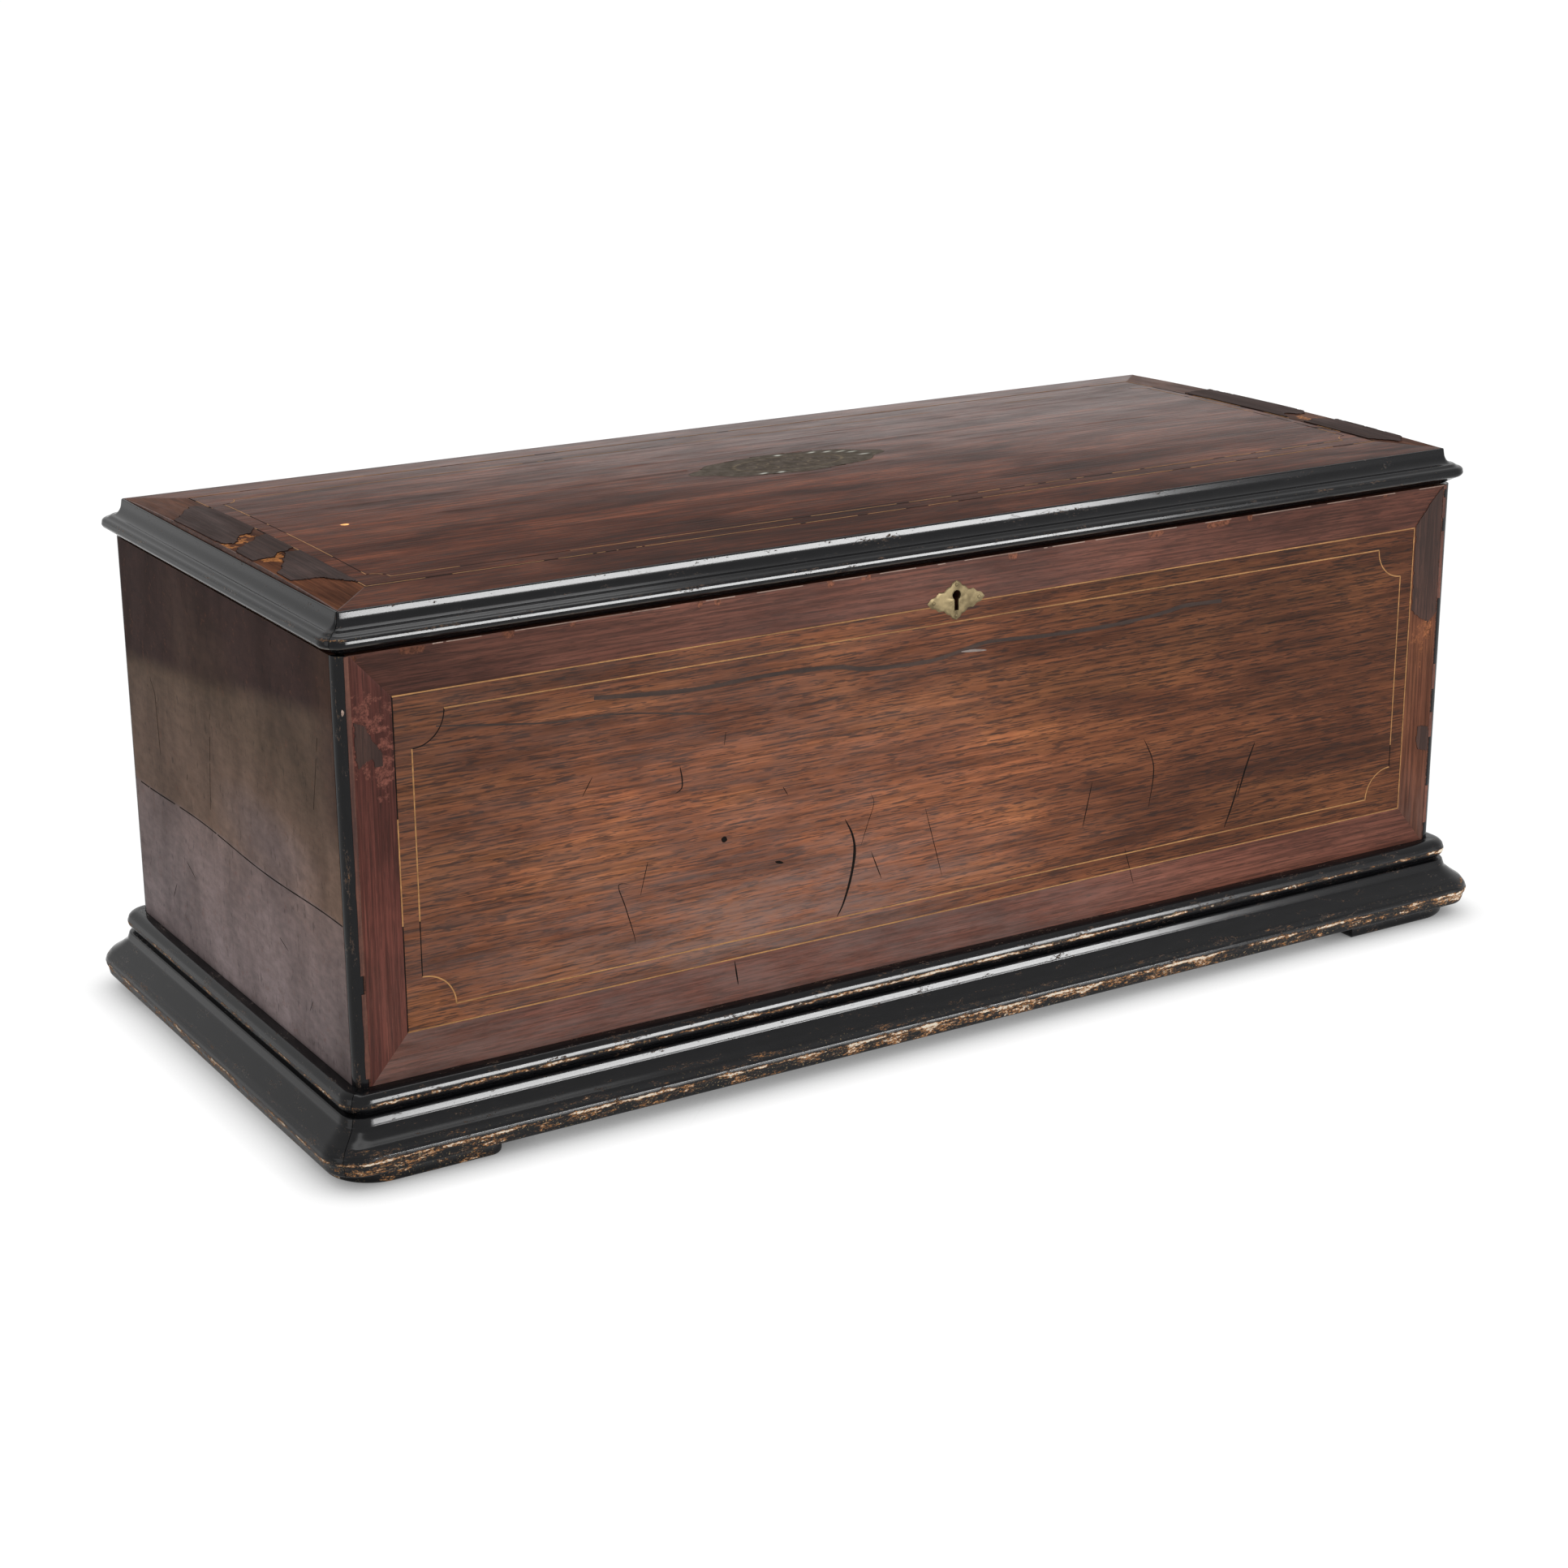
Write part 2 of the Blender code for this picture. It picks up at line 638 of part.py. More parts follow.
def cartouche_outline(margin=0.0):
    """An oval with shallow lobes, longer than deep."""
    half_u = CARTOUCHE_LENGTH / 2 + margin
    half_v = CARTOUCHE_DEPTH / 2 + margin
    points = []
    for i in range(40):
        angle = 2 * math.pi * i / 40
        reach = 0.96 + 0.04 * math.cos(8 * angle)
        points.append((half_u * reach * math.cos(angle), CARTOUCHE_Y + half_v * reach * math.sin(angle)))
    return points


def build_case_walls():
    """Front, back and end panels with a quarter-round strip up each corner."""
    outer_x = HALF_LENGTH - CORNER_RADIUS - GAP
    inner_x = INNER_X - GAP
    step_y = HALF_DEPTH - CORNER_RADIUS
    for name, side in (("front_panel", -1), ("back_panel", 1)):
        low_y, high_y = sorted((side * HALF_DEPTH, side * INNER_Y))
        panel = box(name, (-outer_x, low_y, CASE_BOTTOM), (outer_x, high_y, CASE_TOP), ROSEWOOD)
        near, far = sorted((side * step_y, side * (INNER_Y - LAP)))
        for end in (-1, 1):
            low_x, high_x = sorted((end * inner_x, end * HALF_LENGTH))
            cut(panel, box(name + "_rebate", (low_x, near, CASE_BOTTOM - LAP),
                           (high_x, far, CASE_TOP + LAP)))
    end_y = HALF_DEPTH - CORNER_RADIUS - GAP
    for name, side in (("left_end_panel", -1), ("right_end_panel", 1)):
        low_x, high_x = sorted((side * HALF_LENGTH, side * INNER_X))
        box(name, (low_x, -end_y, CASE_BOTTOM), (high_x, end_y, CASE_TOP), ROSEWOOD)
    for x_word, x_side in (("left", -1), ("right", 1)):
        for y_word, y_side in (("front", -1), ("back", 1)):
            heart = (x_side * (HALF_LENGTH - CORNER_RADIUS), y_side * (HALF_DEPTH - CORNER_RADIUS))
            start = math.degrees(math.atan2(y_side, x_side)) - 45
            outline = [heart] + arc(heart, CORNER_RADIUS, start, start + 90, 5)
            plate("corner_strip_" + y_word + "_" + x_word, [outline], "Z",
                  CASE_BOTTOM, CASE_TOP, EBONISED)


def build_case_inside():
    """Bottom board and the two partitions, each with a ledge for the glazed lid."""
    reach_x, reach_y = INNER_X - GAP, INNER_Y - GAP
    box("bottom_board", (-reach_x, -reach_y, CASE_BOTTOM), (reach_x, reach_y, FLOOR), PINE)
    ledge_top = PARTITION_TOP - GLASS_FRAME_THICKNESS - GAP
    for name, side in (("lever_partition", -1), ("control_partition", 1)):
        low_x, high_x = sorted((side * PARTITION_X, side * MOVEMENT_X))
        board = box(name, (low_x, -reach_y, FLOOR + GAP), (high_x, reach_y, PARTITION_TOP), PINE)
        near, far = sorted((side * (MOVEMENT_X - LEDGE_WIDTH), side * (MOVEMENT_X + LAP)))
        ledge = box(name + "_ledge", (near, -reach_y, ledge_top - LEDGE_HEIGHT),
                    (far, reach_y * 0.7, ledge_top))
        pin_low, pin_high = sorted((side * (MOVEMENT_X - LAP),
                                    side * (MOVEMENT_X + GLASS_PIN_LENGTH + GAP)))
        socket = rod(name + "_socket", "X", glass_pivot(), GLASS_PIN_RADIUS + GAP,
                     pin_low, pin_high, sides=12)
        join(board, ledge)
        cut(board, socket)
        if side < 0:
            cut(board, rod("arbor_way", "X", (BARREL_Y, AXIS_Z), ARBOR_RADIUS + COLLAR_LIP,
                           low_x - LAP, high_x + LAP))
        else:
            for word, y in (("start", START_LEVER_Y), ("change", CHANGE_LEVER_Y)):
                cut(board, rod(word + "_socket", "X", (y, control_height()),
                               CONTROL_PIN_RADIUS + GAP, low_x - LAP, high_x + LAP, sides=12))


def foot_outline():
    """A block with its outer corner widely rounded, for the foot on the positive sides."""
    corner_x, corner_y = HALF_LENGTH + FOOT_OVERHANG, HALF_DEPTH + FOOT_OVERHANG
    outline = [(corner_x - FOOT_LENGTH, corner_y - FOOT_DEPTH), (corner_x, corner_y - FOOT_DEPTH)]
    outline += arc((corner_x - FOOT_ROUND, corner_y - FOOT_ROUND), FOOT_ROUND, 0, 90, 8)
    outline.append((corner_x - FOOT_LENGTH, corner_y))
    return outline


def shrunk(outline, amount):
    """An outline that turns anticlockwise, each side moved inwards by an amount."""
    moved = []
    for i, (x, y) in enumerate(outline):
        before, after = outline[i - 1], outline[(i + 1) % len(outline)]
        normals = []
        for (u0, v0), (u1, v1) in ((before, (x, y)), ((x, y), after)):
            length = math.hypot(u1 - u0, v1 - v0)
            normals.append(((v0 - v1) / length, (u1 - u0) / length))
        (a, b), (c, d) = normals
        scale = amount / (1 + a * c + b * d)
        moved.append((x + (a + c) * scale, y + (b + d) * scale))
    return moved


def build_plinth():
    """Four mitred plinth mouldings under the walls, and a round-edged foot block at each corner."""
    profile = plinth_profile()
    for side in ("front", "back", "left", "right"):
        moulding("base_moulding_" + side, side, profile, EBONISED)
    for x_word, x_side in (("left", -1), ("right", 1)):
        for y_word, y_side in (("front", -1), ("back", 1)):
            sections = [[(x_side * x, y_side * y, height) for x, y in shrunk(foot_outline(), inset)]
                        for height, inset in FOOT_LEVELS]
            loft("foot_" + y_word + "_" + x_word, sections, EBONISED)


def lid_height(y):
    """Height of the crowned lid at a place across its depth."""
    half = HALF_DEPTH - LID_RIM
    return LID_TOP + LID_CROWN * (1 - (y / half) ** 2)


def build_lid():
    """Crowned lid panel, its four mouldings, oval plate and tune sheet."""
    half_x = HALF_LENGTH - LID_RIM - GAP
    half_y = HALF_DEPTH - LID_RIM - GAP
    outline = [(-half_y, LID_BOTTOM), (half_y, LID_BOTTOM)]
    steps = 12
    for i in range(steps + 1):
        y = half_y - 2 * half_y * i / steps
        outline.append((y, lid_height(y)))
    panel = plate("lid_panel", [outline], "X", -half_x, half_x, ROSEWOOD)
    profile = lid_profile()
    frame = [moulding("lid_moulding_" + side, side, profile, EBONISED)
             for side in ("front", "back", "left", "right")]
    top = lid_height(CARTOUCHE_Y) + CARTOUCHE_PROUD
    under = top - CARTOUCHE_THICKNESS
    cartouche = plate("lid_cartouche", [cartouche_outline()], "Z", under, top, BRASS)
    cut(panel, plate("cartouche_pocket", [cartouche_outline(GAP)], "Z",
                     under - GAP, top + CARTOUCHE_THICKNESS + LAP))
    sheet = box("tune_sheet",
                (-TUNE_SHEET_LENGTH / 2, -TUNE_SHEET_DEPTH / 2, LID_BOTTOM - GAP - TUNE_SHEET_THICKNESS),
                (TUNE_SHEET_LENGTH / 2, TUNE_SHEET_DEPTH / 2, LID_BOTTOM - GAP), PAPER)
    return panel, frame, [cartouche, sheet]


def hinge_leaf(name, centre_x, knuckles, low_z):
    """A hinge leaf with its knuckles: a flat plate, a tab to each knuckle, and a bore."""
    half = HINGE_WIDTH / 2
    high_z = low_z + LEAF_THICKNESS
    edge = HINGE_Y - KNUCKLE_RADIUS - LEAF_BACK_GAP
    root = HALF_DEPTH - LEAF_REACH
    leaf = box(name, (centre_x - half, root, low_z), (centre_x + half, edge, high_z), BRASS)
    bore_radius = HINGE_PIN_RADIUS + GAP
    for i, (start, end) in enumerate(knuckles):
        low_x, high_x = centre_x + start, centre_x + end
        label = name + "_" + str(i)
        tab = box(label + "_tab", (low_x, edge - LAP, low_z),
                  (high_x, HINGE_Y - bore_radius - LEAF_SUNK, high_z))
        knuckle = rod(label + "_knuckle", "X", (HINGE_Y, HINGE_Z), KNUCKLE_RADIUS, low_x, high_x, sides=16)
        join(leaf, tab, knuckle)
    cut(leaf, rod(name + "_bore", "X", (HINGE_Y, HINGE_Z), bore_radius,
                  centre_x - half - LAP, centre_x + half + LAP, sides=12))
    return leaf


def build_hinges(panel, back_moulding, back_panel):
    """Two butt hinges let into the back wall's top edge and the lid's underside."""
    lid_side = []
    third = HINGE_WIDTH / 3
    half = HINGE_WIDTH / 2
    inner = [(-third / 2 + GAP, third / 2 - GAP)]
    outer = [(-half, -third / 2), (third / 2, half)]
    case_low = CASE_TOP - LEAF_SUNK - LEAF_THICKNESS
    lid_low = LID_BOTTOM + LEAF_SUNK
    for word, side in (("left", -1), ("right", 1)):
        x = side * (HALF_LENGTH - HINGE_INSET)
        hinge_leaf("hinge_case_leaf_" + word, x, outer, case_low)
        leaf = hinge_leaf("hinge_lid_leaf_" + word, x, inner, lid_low)
        pin = rod("hinge_pin_" + word, "X", (HINGE_Y, HINGE_Z), HINGE_PIN_RADIUS,
                  x - half, x + half, STEEL, sides=12)
        root = HALF_DEPTH - LEAF_REACH - GAP
        cut(back_panel, box("case_leaf_recess_" + word, (x - half - GAP, root, case_low - GAP),
                            (x + half + GAP, HALF_DEPTH + LAP, CASE_TOP + LAP)))
        for target, label in ((panel, "panel"), (back_moulding, "moulding")):
            cut(target, box("lid_leaf_recess_" + label + "_" + word,
                            (x - half - GAP, root, LID_BOTTOM - LAP),
                            (x + half + GAP, HINGE_Y + KNUCKLE_RADIUS, lid_low + LEAF_THICKNESS + GAP)))
        lid_side += [leaf, pin]
    return lid_side


def build_lock(panel, front_panel):
    """Keyhole plate, box lock with a rising bolt, and the keeper let into the lid."""
    face = -HALF_DEPTH - ESCUTCHEON_PROUD
    back = face + ESCUTCHEON_THICKNESS
    plate("escutcheon", [escutcheon_outline(), keyhole_outline()], "Y", face, back, BRASS)
    cut(front_panel, plate("escutcheon_pocket", [escutcheon_outline(2 * GAP)], "Y",
                           face - LAP, back + GAP))
    cut(front_panel, plate("keyhole_way", [keyhole_outline(GAP)], "Y",
                           face - LAP, -INNER_Y + LAP))
    lock_front = -INNER_Y + GAP
    lock_back = lock_front + LOCK_DEPTH
    lock_top = CASE_TOP - LOCK_TOP_GAP
    lock = box("lock_body", (-LOCK_WIDTH / 2, lock_front, lock_top - LOCK_HEIGHT),
               (LOCK_WIDTH / 2, lock_back, lock_top), BRASS)
    bolt_front = (lock_front + lock_back - BOLT_THICKNESS) / 2
    bolt_back = bolt_front + BOLT_THICKNESS
    bolt_bottom = lock_top - BOLT_HEIGHT
    bolt = box("lock_bolt", (-BOLT_WIDTH / 2, bolt_front, bolt_bottom),
               (BOLT_WIDTH / 2, bolt_back, lock_top), STEEL)
    cut(lock, box("bolt_channel", (-BOLT_WIDTH / 2 - GAP, bolt_front - GAP, bolt_bottom - GAP),
                  (BOLT_WIDTH / 2 + GAP, bolt_back + GAP, lock_top + LAP)))
    cut(lock, plate("lock_keyhole", [keyhole_outline(GAP)], "Y",
                    lock_front - LAP, bolt_front))
    slot_margin = KEEPER_SLOT_MARGIN
    keeper_front = (bolt_front + bolt_back - KEEPER_DEPTH) / 2
    keeper_back = keeper_front + KEEPER_DEPTH
    keeper_top = LID_BOTTOM + KEEPER_THICKNESS
    keeper = box("lock_keeper", (-KEEPER_WIDTH / 2, keeper_front, LID_BOTTOM),
                 (KEEPER_WIDTH / 2, keeper_back, keeper_top), BRASS)
    slot_low = (-BOLT_WIDTH / 2 - slot_margin, bolt_front - slot_margin, LID_BOTTOM - LAP)
    slot_high = (BOLT_WIDTH / 2 + slot_margin, bolt_back + slot_margin,
                 lock_top + BOLT_THROW + 2 * slot_margin)
    cut(keeper, box("keeper_slot", slot_low, slot_high))
    cut(panel, box("keeper_recess", (-KEEPER_WIDTH / 2 - GAP, keeper_front - GAP, LID_BOTTOM - LAP),
                   (KEEPER_WIDTH / 2 + GAP, keeper_back + GAP, keeper_top + GAP)))
    cut(panel, box("bolt_pocket", slot_low, slot_high))
    pivot("lock_bolt_axis", (0, (bolt_front + bolt_back) / 2, lock_top), bolt)
    return keeper


def glass_pivot():
    """Where the glazed lid turns: its place across the depth and its height."""
    back = INNER_Y - GLASS_BACK_MARGIN
    return (back - GLASS_PIVOT_INSET, PARTITION_TOP - GLASS_FRAME_THICKNESS / 2)


def build_glass_lid():
    """Glazed inner lid between the partitions, on two pivot pins near its back edge."""
    half_x = MOVEMENT_X - GLASS_SIDE_GAP
    front, back = -INNER_Y + GLASS_FRONT_MARGIN, INNER_Y - GLASS_BACK_MARGIN
    bottom = PARTITION_TOP - GLASS_FRAME_THICKNESS
    frame = box("glass_lid_frame", (-half_x, front, bottom), (half_x, back, PARTITION_TOP), ROSEWOOD)
    width = GLASS_FRAME_WIDTH
    cut(frame, box("glass_light", (-half_x + width, front + width, bottom - LAP),
                   (half_x - width, back - width, PARTITION_TOP + LAP)))
    lap = width - GLASS_REBATE
    shelf = PARTITION_TOP - GLASS_THICKNESS - 2 * GAP
    cut(frame, box("glass_rebate", (-half_x + lap, front + lap, shelf - GAP),
                   (half_x - lap, back - lap, PARTITION_TOP + LAP)))
    pane = box("glass_pane", (-half_x + lap + GAP, front + lap + GAP, shelf),
               (half_x - lap - GAP, back - lap - GAP, shelf + GLASS_THICKNESS), GLASS)
    for word, side in (("left", -1), ("right", 1)):
        low, high = sorted((side * (half_x - GLASS_PIN_RADIUS), side * (half_x + GLASS_PIN_LENGTH)))
        join(frame, rod("glass_pin_" + word, "X", glass_pivot(), GLASS_PIN_RADIUS, low, high, sides=12))
    pivot("glass_lid_axis", (0, *glass_pivot()), frame, pane)


def build_bed():
    """Cast bedplate on four legs, with the cocks that carry the arbors."""
    half_x = MOVEMENT_X - MOVEMENT_GAP
    leg_top = FLOOR + GAP + BED_LEG_HEIGHT
    bed = box("bedplate", (-half_x, BED_FRONT, leg_top), (half_x, BED_BACK, BED_TOP), IRON)
    inset = BED_LEG_RADIUS + LEG_INSET
    for x in (-half_x + inset, half_x - inset):
        for y in (BED_FRONT + inset, BED_BACK - inset):
            join(bed, rod("leg", "Z", (x, y), BED_LEG_RADIUS, FLOOR + GAP, leg_top + LAP, sides=12))
    seat = BED_TOP + GAP
    crown = AXIS_Z + COCK_RISE
    spread, taper = COCK_SPREAD, COCK_TAPER
    left = [(CYLINDER_Y - spread, seat), (BARREL_Y + spread, seat),
            (BARREL_Y + spread - taper, crown), (CYLINDER_Y - spread + taper, crown)]
    holes = [circle((CYLINDER_Y, AXIS_Z), PIVOT_RADIUS + GAP, 16),
             circle((BARREL_Y, AXIS_Z), PIVOT_RADIUS + GAP, 16)]
    plate("cylinder_bearing_left", [left] + holes, "X",
          LEFT_BEARING_X, LEFT_BEARING_X + COCK_THICKNESS, BRASS)
    right = [(CYLINDER_Y - spread, seat), (CYLINDER_Y + spread, seat),
             (CYLINDER_Y + spread - taper, crown), (CYLINDER_Y - spread + taper, crown)]
    plate("cylinder_bearing_right", [right, holes[0]], "X",
          RIGHT_BEARING_X, RIGHT_BEARING_X + COCK_THICKNESS, BRASS)
    tall = AXIS_Z + PAWL_PIVOT + PAWL_EYE_RADIUS + PIVOT_END
    bridge_outline = [(BARREL_Y - spread - taper, seat), (BARREL_Y + spread + taper, seat),
                      (BARREL_Y + spread - taper, tall), (BARREL_Y - spread + taper, tall)]
    bridge = plate("barrel_bridge", [bridge_outline, circle((BARREL_Y, AXIS_Z), BORE, 16)], "X",
                   BRIDGE_X, BRIDGE_X + COCK_THICKNESS, BRASS)
    join(bridge, rod("click_stud", "X", (BARREL_Y, AXIS_Z + PAWL_PIVOT), PAWL_PIN_RADIUS,
                     BRIDGE_X + COCK_THICKNESS - LAP, BARREL_RATCHET_X + RATCHET_WIDTH, sides=12))


def build_comb():
    """Steel comb on its base block, its teeth longer towards the bass end."""
    start = CYLINDER_X + COMB_MARGIN
    end = CYLINDER_END_X - COMB_MARGIN
    tip = CYLINDER_Y - CYLINDER_RADIUS - COMB_TIP_GAP
    back = tip - COMB_BACK
    low = AXIS_Z - COMB_THICKNESS / 2
    step = (end - start) / COMB_TEETH
    outline = []
    for i in range(COMB_TEETH):
        share = i / (COMB_TEETH - 1)
        root = tip - COMB_BASS_TOOTH - (COMB_TREBLE_TOOTH - COMB_BASS_TOOTH) * share
        left = start + step * i + COMB_SLOT / 2
        right = left + step - COMB_SLOT
        outline += [(left, root), (left, tip), (right, tip), (right, root)]
    outline += [(end + COMB_SLOT, outline[-1][1]), (end + COMB_SLOT, back),
                (start - COMB_SLOT, back), (start - COMB_SLOT, outline[0][1])]
    plate("comb", [outline], "Z", low, low + COMB_THICKNESS, STEEL)
    box("comb_base", (start, back, BED_TOP + GAP), (end, back + COMB_BASE_DEPTH, low - GAP), BRASS)


def build_cylinder():
    """Pinned cylinder sliding on its arbor, with the pinion and the governor's driving wheel."""
    centre = (CYLINDER_Y, AXIS_Z)
    start, end = CYLINDER_X, CYLINDER_END_X
    inner = CYLINDER_RADIUS - CYLINDER_SHELL
    shell = [(CYLINDER_RADIUS, start), (CYLINDER_RADIUS, end), (BORE, end),
             (BORE, end - CYLINDER_CAP), (inner, end - CYLINDER_CAP),
             (inner, start + CYLINDER_CAP), (BORE, start + CYLINDER_CAP), (BORE, start)]
    cylinder = turned("cylinder", "X", centre, shell, BRASS, steps=36)
    left_end = GREAT_WHEEL_X - END_GAP
    shoulder = LEFT_BEARING_X + COCK_THICKNESS + END_GAP
    right_shoulder = RIGHT_BEARING_X - END_GAP
    right_end = RIGHT_BEARING_X + COCK_THICKNESS + PIVOT_END + END_GAP
    shaft = [(0, left_end), (PIVOT_RADIUS, left_end), (PIVOT_RADIUS, shoulder),
             (ARBOR_RADIUS, shoulder), (ARBOR_RADIUS, right_shoulder),
             (PIVOT_RADIUS, right_shoulder), (PIVOT_RADIUS, right_end), (0, right_end)]
    arbor = turned("cylinder_arbor", "X", centre, shaft, STEEL, steps=16, closed=False)
    join(arbor, plate("cylinder_pinion", [gear_outline(centre, CYLINDER_PINION_TEETH, MODULE, 0)], "X",
                      GREAT_WHEEL_X, GREAT_WHEEL_X + GREAT_WHEEL_WIDTH))
    wheel = plate("cylinder_wheel",
                  [gear_outline(centre, CYLINDER_WHEEL_TEETH, MODULE, 0), circle(centre, BORE)], "X",
                  CYLINDER_WHEEL_X, CYLINDER_WHEEL_X + CYLINDER_WHEEL_WIDTH, BRASS)
    pivot("cylinder_axis", (0, *centre), arbor, wheel, cylinder)


def spring_outline():
    """A spiral strip from just off the arbor to just inside the drum."""
    centre = (BARREL_Y, AXIS_Z)
    half = SPRING_THICKNESS / 2
    first = ARBOR_RADIUS + GAP + half
    last = BARREL_RADIUS - BARREL_WALL - 2 * GAP - half
    steps = 20 * SPRING_TURNS
    inner, outer = [], []
    for i in range(steps + 1):
        radius = first + (last - first) * i / steps
        angle = 360 * SPRING_TURNS * i / steps
        inner.append(polar(centre, radius - half, angle))
        outer.append(polar(centre, radius + half, angle))
    return outer + inner[::-1]


def build_barrel():
    """Spring drum closed by the great wheel, with its mainspring and winding arbor."""
    centre = (BARREL_Y, AXIS_Z)
    end = DRUM_X + BARREL_LENGTH
    inner = BARREL_RADIUS - BARREL_WALL
    wall = [(BARREL_RADIUS, DRUM_X), (BARREL_RADIUS, end), (inner, end),
            (inner, DRUM_X + BARREL_WALL), (BORE, DRUM_X + BARREL_WALL), (BORE, DRUM_X)]
    drum = turned("spring_barrel", "X", centre, wall, BRASS, steps=32)
    phase = 180 - 180 / GREAT_WHEEL_TEETH
    wheel = plate("great_wheel",
                  [gear_outline(centre, GREAT_WHEEL_TEETH, MODULE, phase), circle(centre, BORE)], "X",
                  GREAT_WHEEL_X, GREAT_WHEEL_X + GREAT_WHEEL_WIDTH, BRASS)
    spring = plate("mainspring", [spring_outline()], "X",
                   DRUM_X + BARREL_WALL + GAP, end - GAP, BLUED_STEEL)
    pivot("barrel_axis", (0, *centre), drum, wheel, spring)
    collar = LEVER_X - END_GAP
    left_end = collar - COLLAR_WIDTH
    shoulder = LEFT_BEARING_X - END_GAP
    right_end = LEFT_BEARING_X + COCK_THICKNESS + PIVOT_END
    shaft = [(0, left_end), (ARBOR_RADIUS + COLLAR_LIP, left_end), (ARBOR_RADIUS + COLLAR_LIP, collar),
             (ARBOR_RADIUS, collar), (ARBOR_RADIUS, shoulder), (PIVOT_RADIUS, shoulder),
             (PIVOT_RADIUS, right_end), (0, right_end)]
    arbor = turned("winding_arbor", "X", centre, shaft, STEEL, steps=16, closed=False)
    join(arbor, plate("barrel_ratchet", [ratchet_outline(centre)], "X",
                      BARREL_RATCHET_X, BARREL_RATCHET_X + RATCHET_WIDTH))
    ratchet = plate("ratchet_wheel", [ratchet_outline(centre), circle(centre, BORE)], "X",
                    LEVER_RATCHET_X, LEVER_RATCHET_X + RATCHET_WIDTH, STEEL)
    pivot("winding_arbor_axis", (0, *centre), arbor, ratchet)


def pawl(name, centre, heading, low, high):
    """A pawl on its pin, its nose resting just off the ratchet's teeth."""
    eye = polar(centre, PAWL_PIVOT, heading)
    nose = polar(centre, RATCHET_RADIUS + GAP + PAWL_TIP_RADIUS, heading + PAWL_ANGLE)
    outline = link_outline(eye, PAWL_EYE_RADIUS, nose, PAWL_TIP_RADIUS, 4)
    piece = plate(name, [outline, circle(eye, PAWL_PIN_RADIUS + GAP, 12)], "X", low, high, STEEL)
    pivot(name + "_axis", ((low + high) / 2, *eye), piece)


def build_winding_lever():
    """Winding lever with its grip and drive pawl, and the holding click on the bridge."""
    centre = (BARREL_Y, AXIS_Z)
    tip = polar(centre, LEVER_LENGTH, LEVER_REST_ANGLE)
    stud_at = polar(centre, PAWL_PIVOT, LEVER_REST_ANGLE)
    high = LEVER_X + LEVER_THICKNESS
    outline = link_outline(centre, LEVER_HUB_RADIUS, tip, LEVER_END_RADIUS)
    lever = plate("winding_lever", [outline, circle(centre, BORE, 16)], "X", LEVER_X, high, STEEL)
    join(lever, rod("grip", "X", tip, GRIP_RADIUS, high - GRIP_LENGTH, high),
         rod("pawl_stud", "X", stud_at, PAWL_PIN_RADIUS, high - LAP,
             LEVER_RATCHET_X + RATCHET_WIDTH, sides=12))
    pivot("winding_lever_axis", (LEVER_X, *centre), lever)
    margin = PAWL_SIDE_GAP
    pawl("drive_pawl", centre, LEVER_REST_ANGLE,
         LEVER_RATCHET_X + margin, LEVER_RATCHET_X + RATCHET_WIDTH - margin)
    pawl("click", centre, 90, BARREL_RATCHET_X + margin, BARREL_RATCHET_X + RATCHET_WIDTH - margin)


def worm_rings(low, high, shaft_low, shaft_high):
    """Rings of a shaft that carries a worm: a narrow ridge winds round its core."""
    sides = 12
    pitch = math.pi * WORM_MODULE
    heights = [shaft_low, low - WORM_NECK]
    count = WORM_TURNS * 6
    heights += [low + (high - low) * i / count for i in range(count + 1)]
    heights += [high + WORM_NECK, shaft_high]
    rings = []
    for height in heights:
        ring = []
        for k in range(sides):
            angle = 2 * math.pi * k / sides
            radius = WORM_SHAFT_RADIUS
            if low <= height <= high:
                lead = ((height - worm_phase()) / pitch - angle / (2 * math.pi)) % 1.0
                ridge = max(0.0, 1 - abs(lead - 0.5) * 4.5)
                radius = WORM_CORE_RADIUS + (WORM_THREAD_RADIUS - WORM_CORE_RADIUS) * ridge
            ring.append((FLY_X + radius * math.cos(angle), WORM_Y + radius * math.sin(angle), height))
        rings.append(ring)
    return rings


def worm_phase():
    """Height where the groove crosses +X, so that on the wheel's side it faces a tooth."""
    return AXIS_Z + 0.25 * math.pi * WORM_MODULE


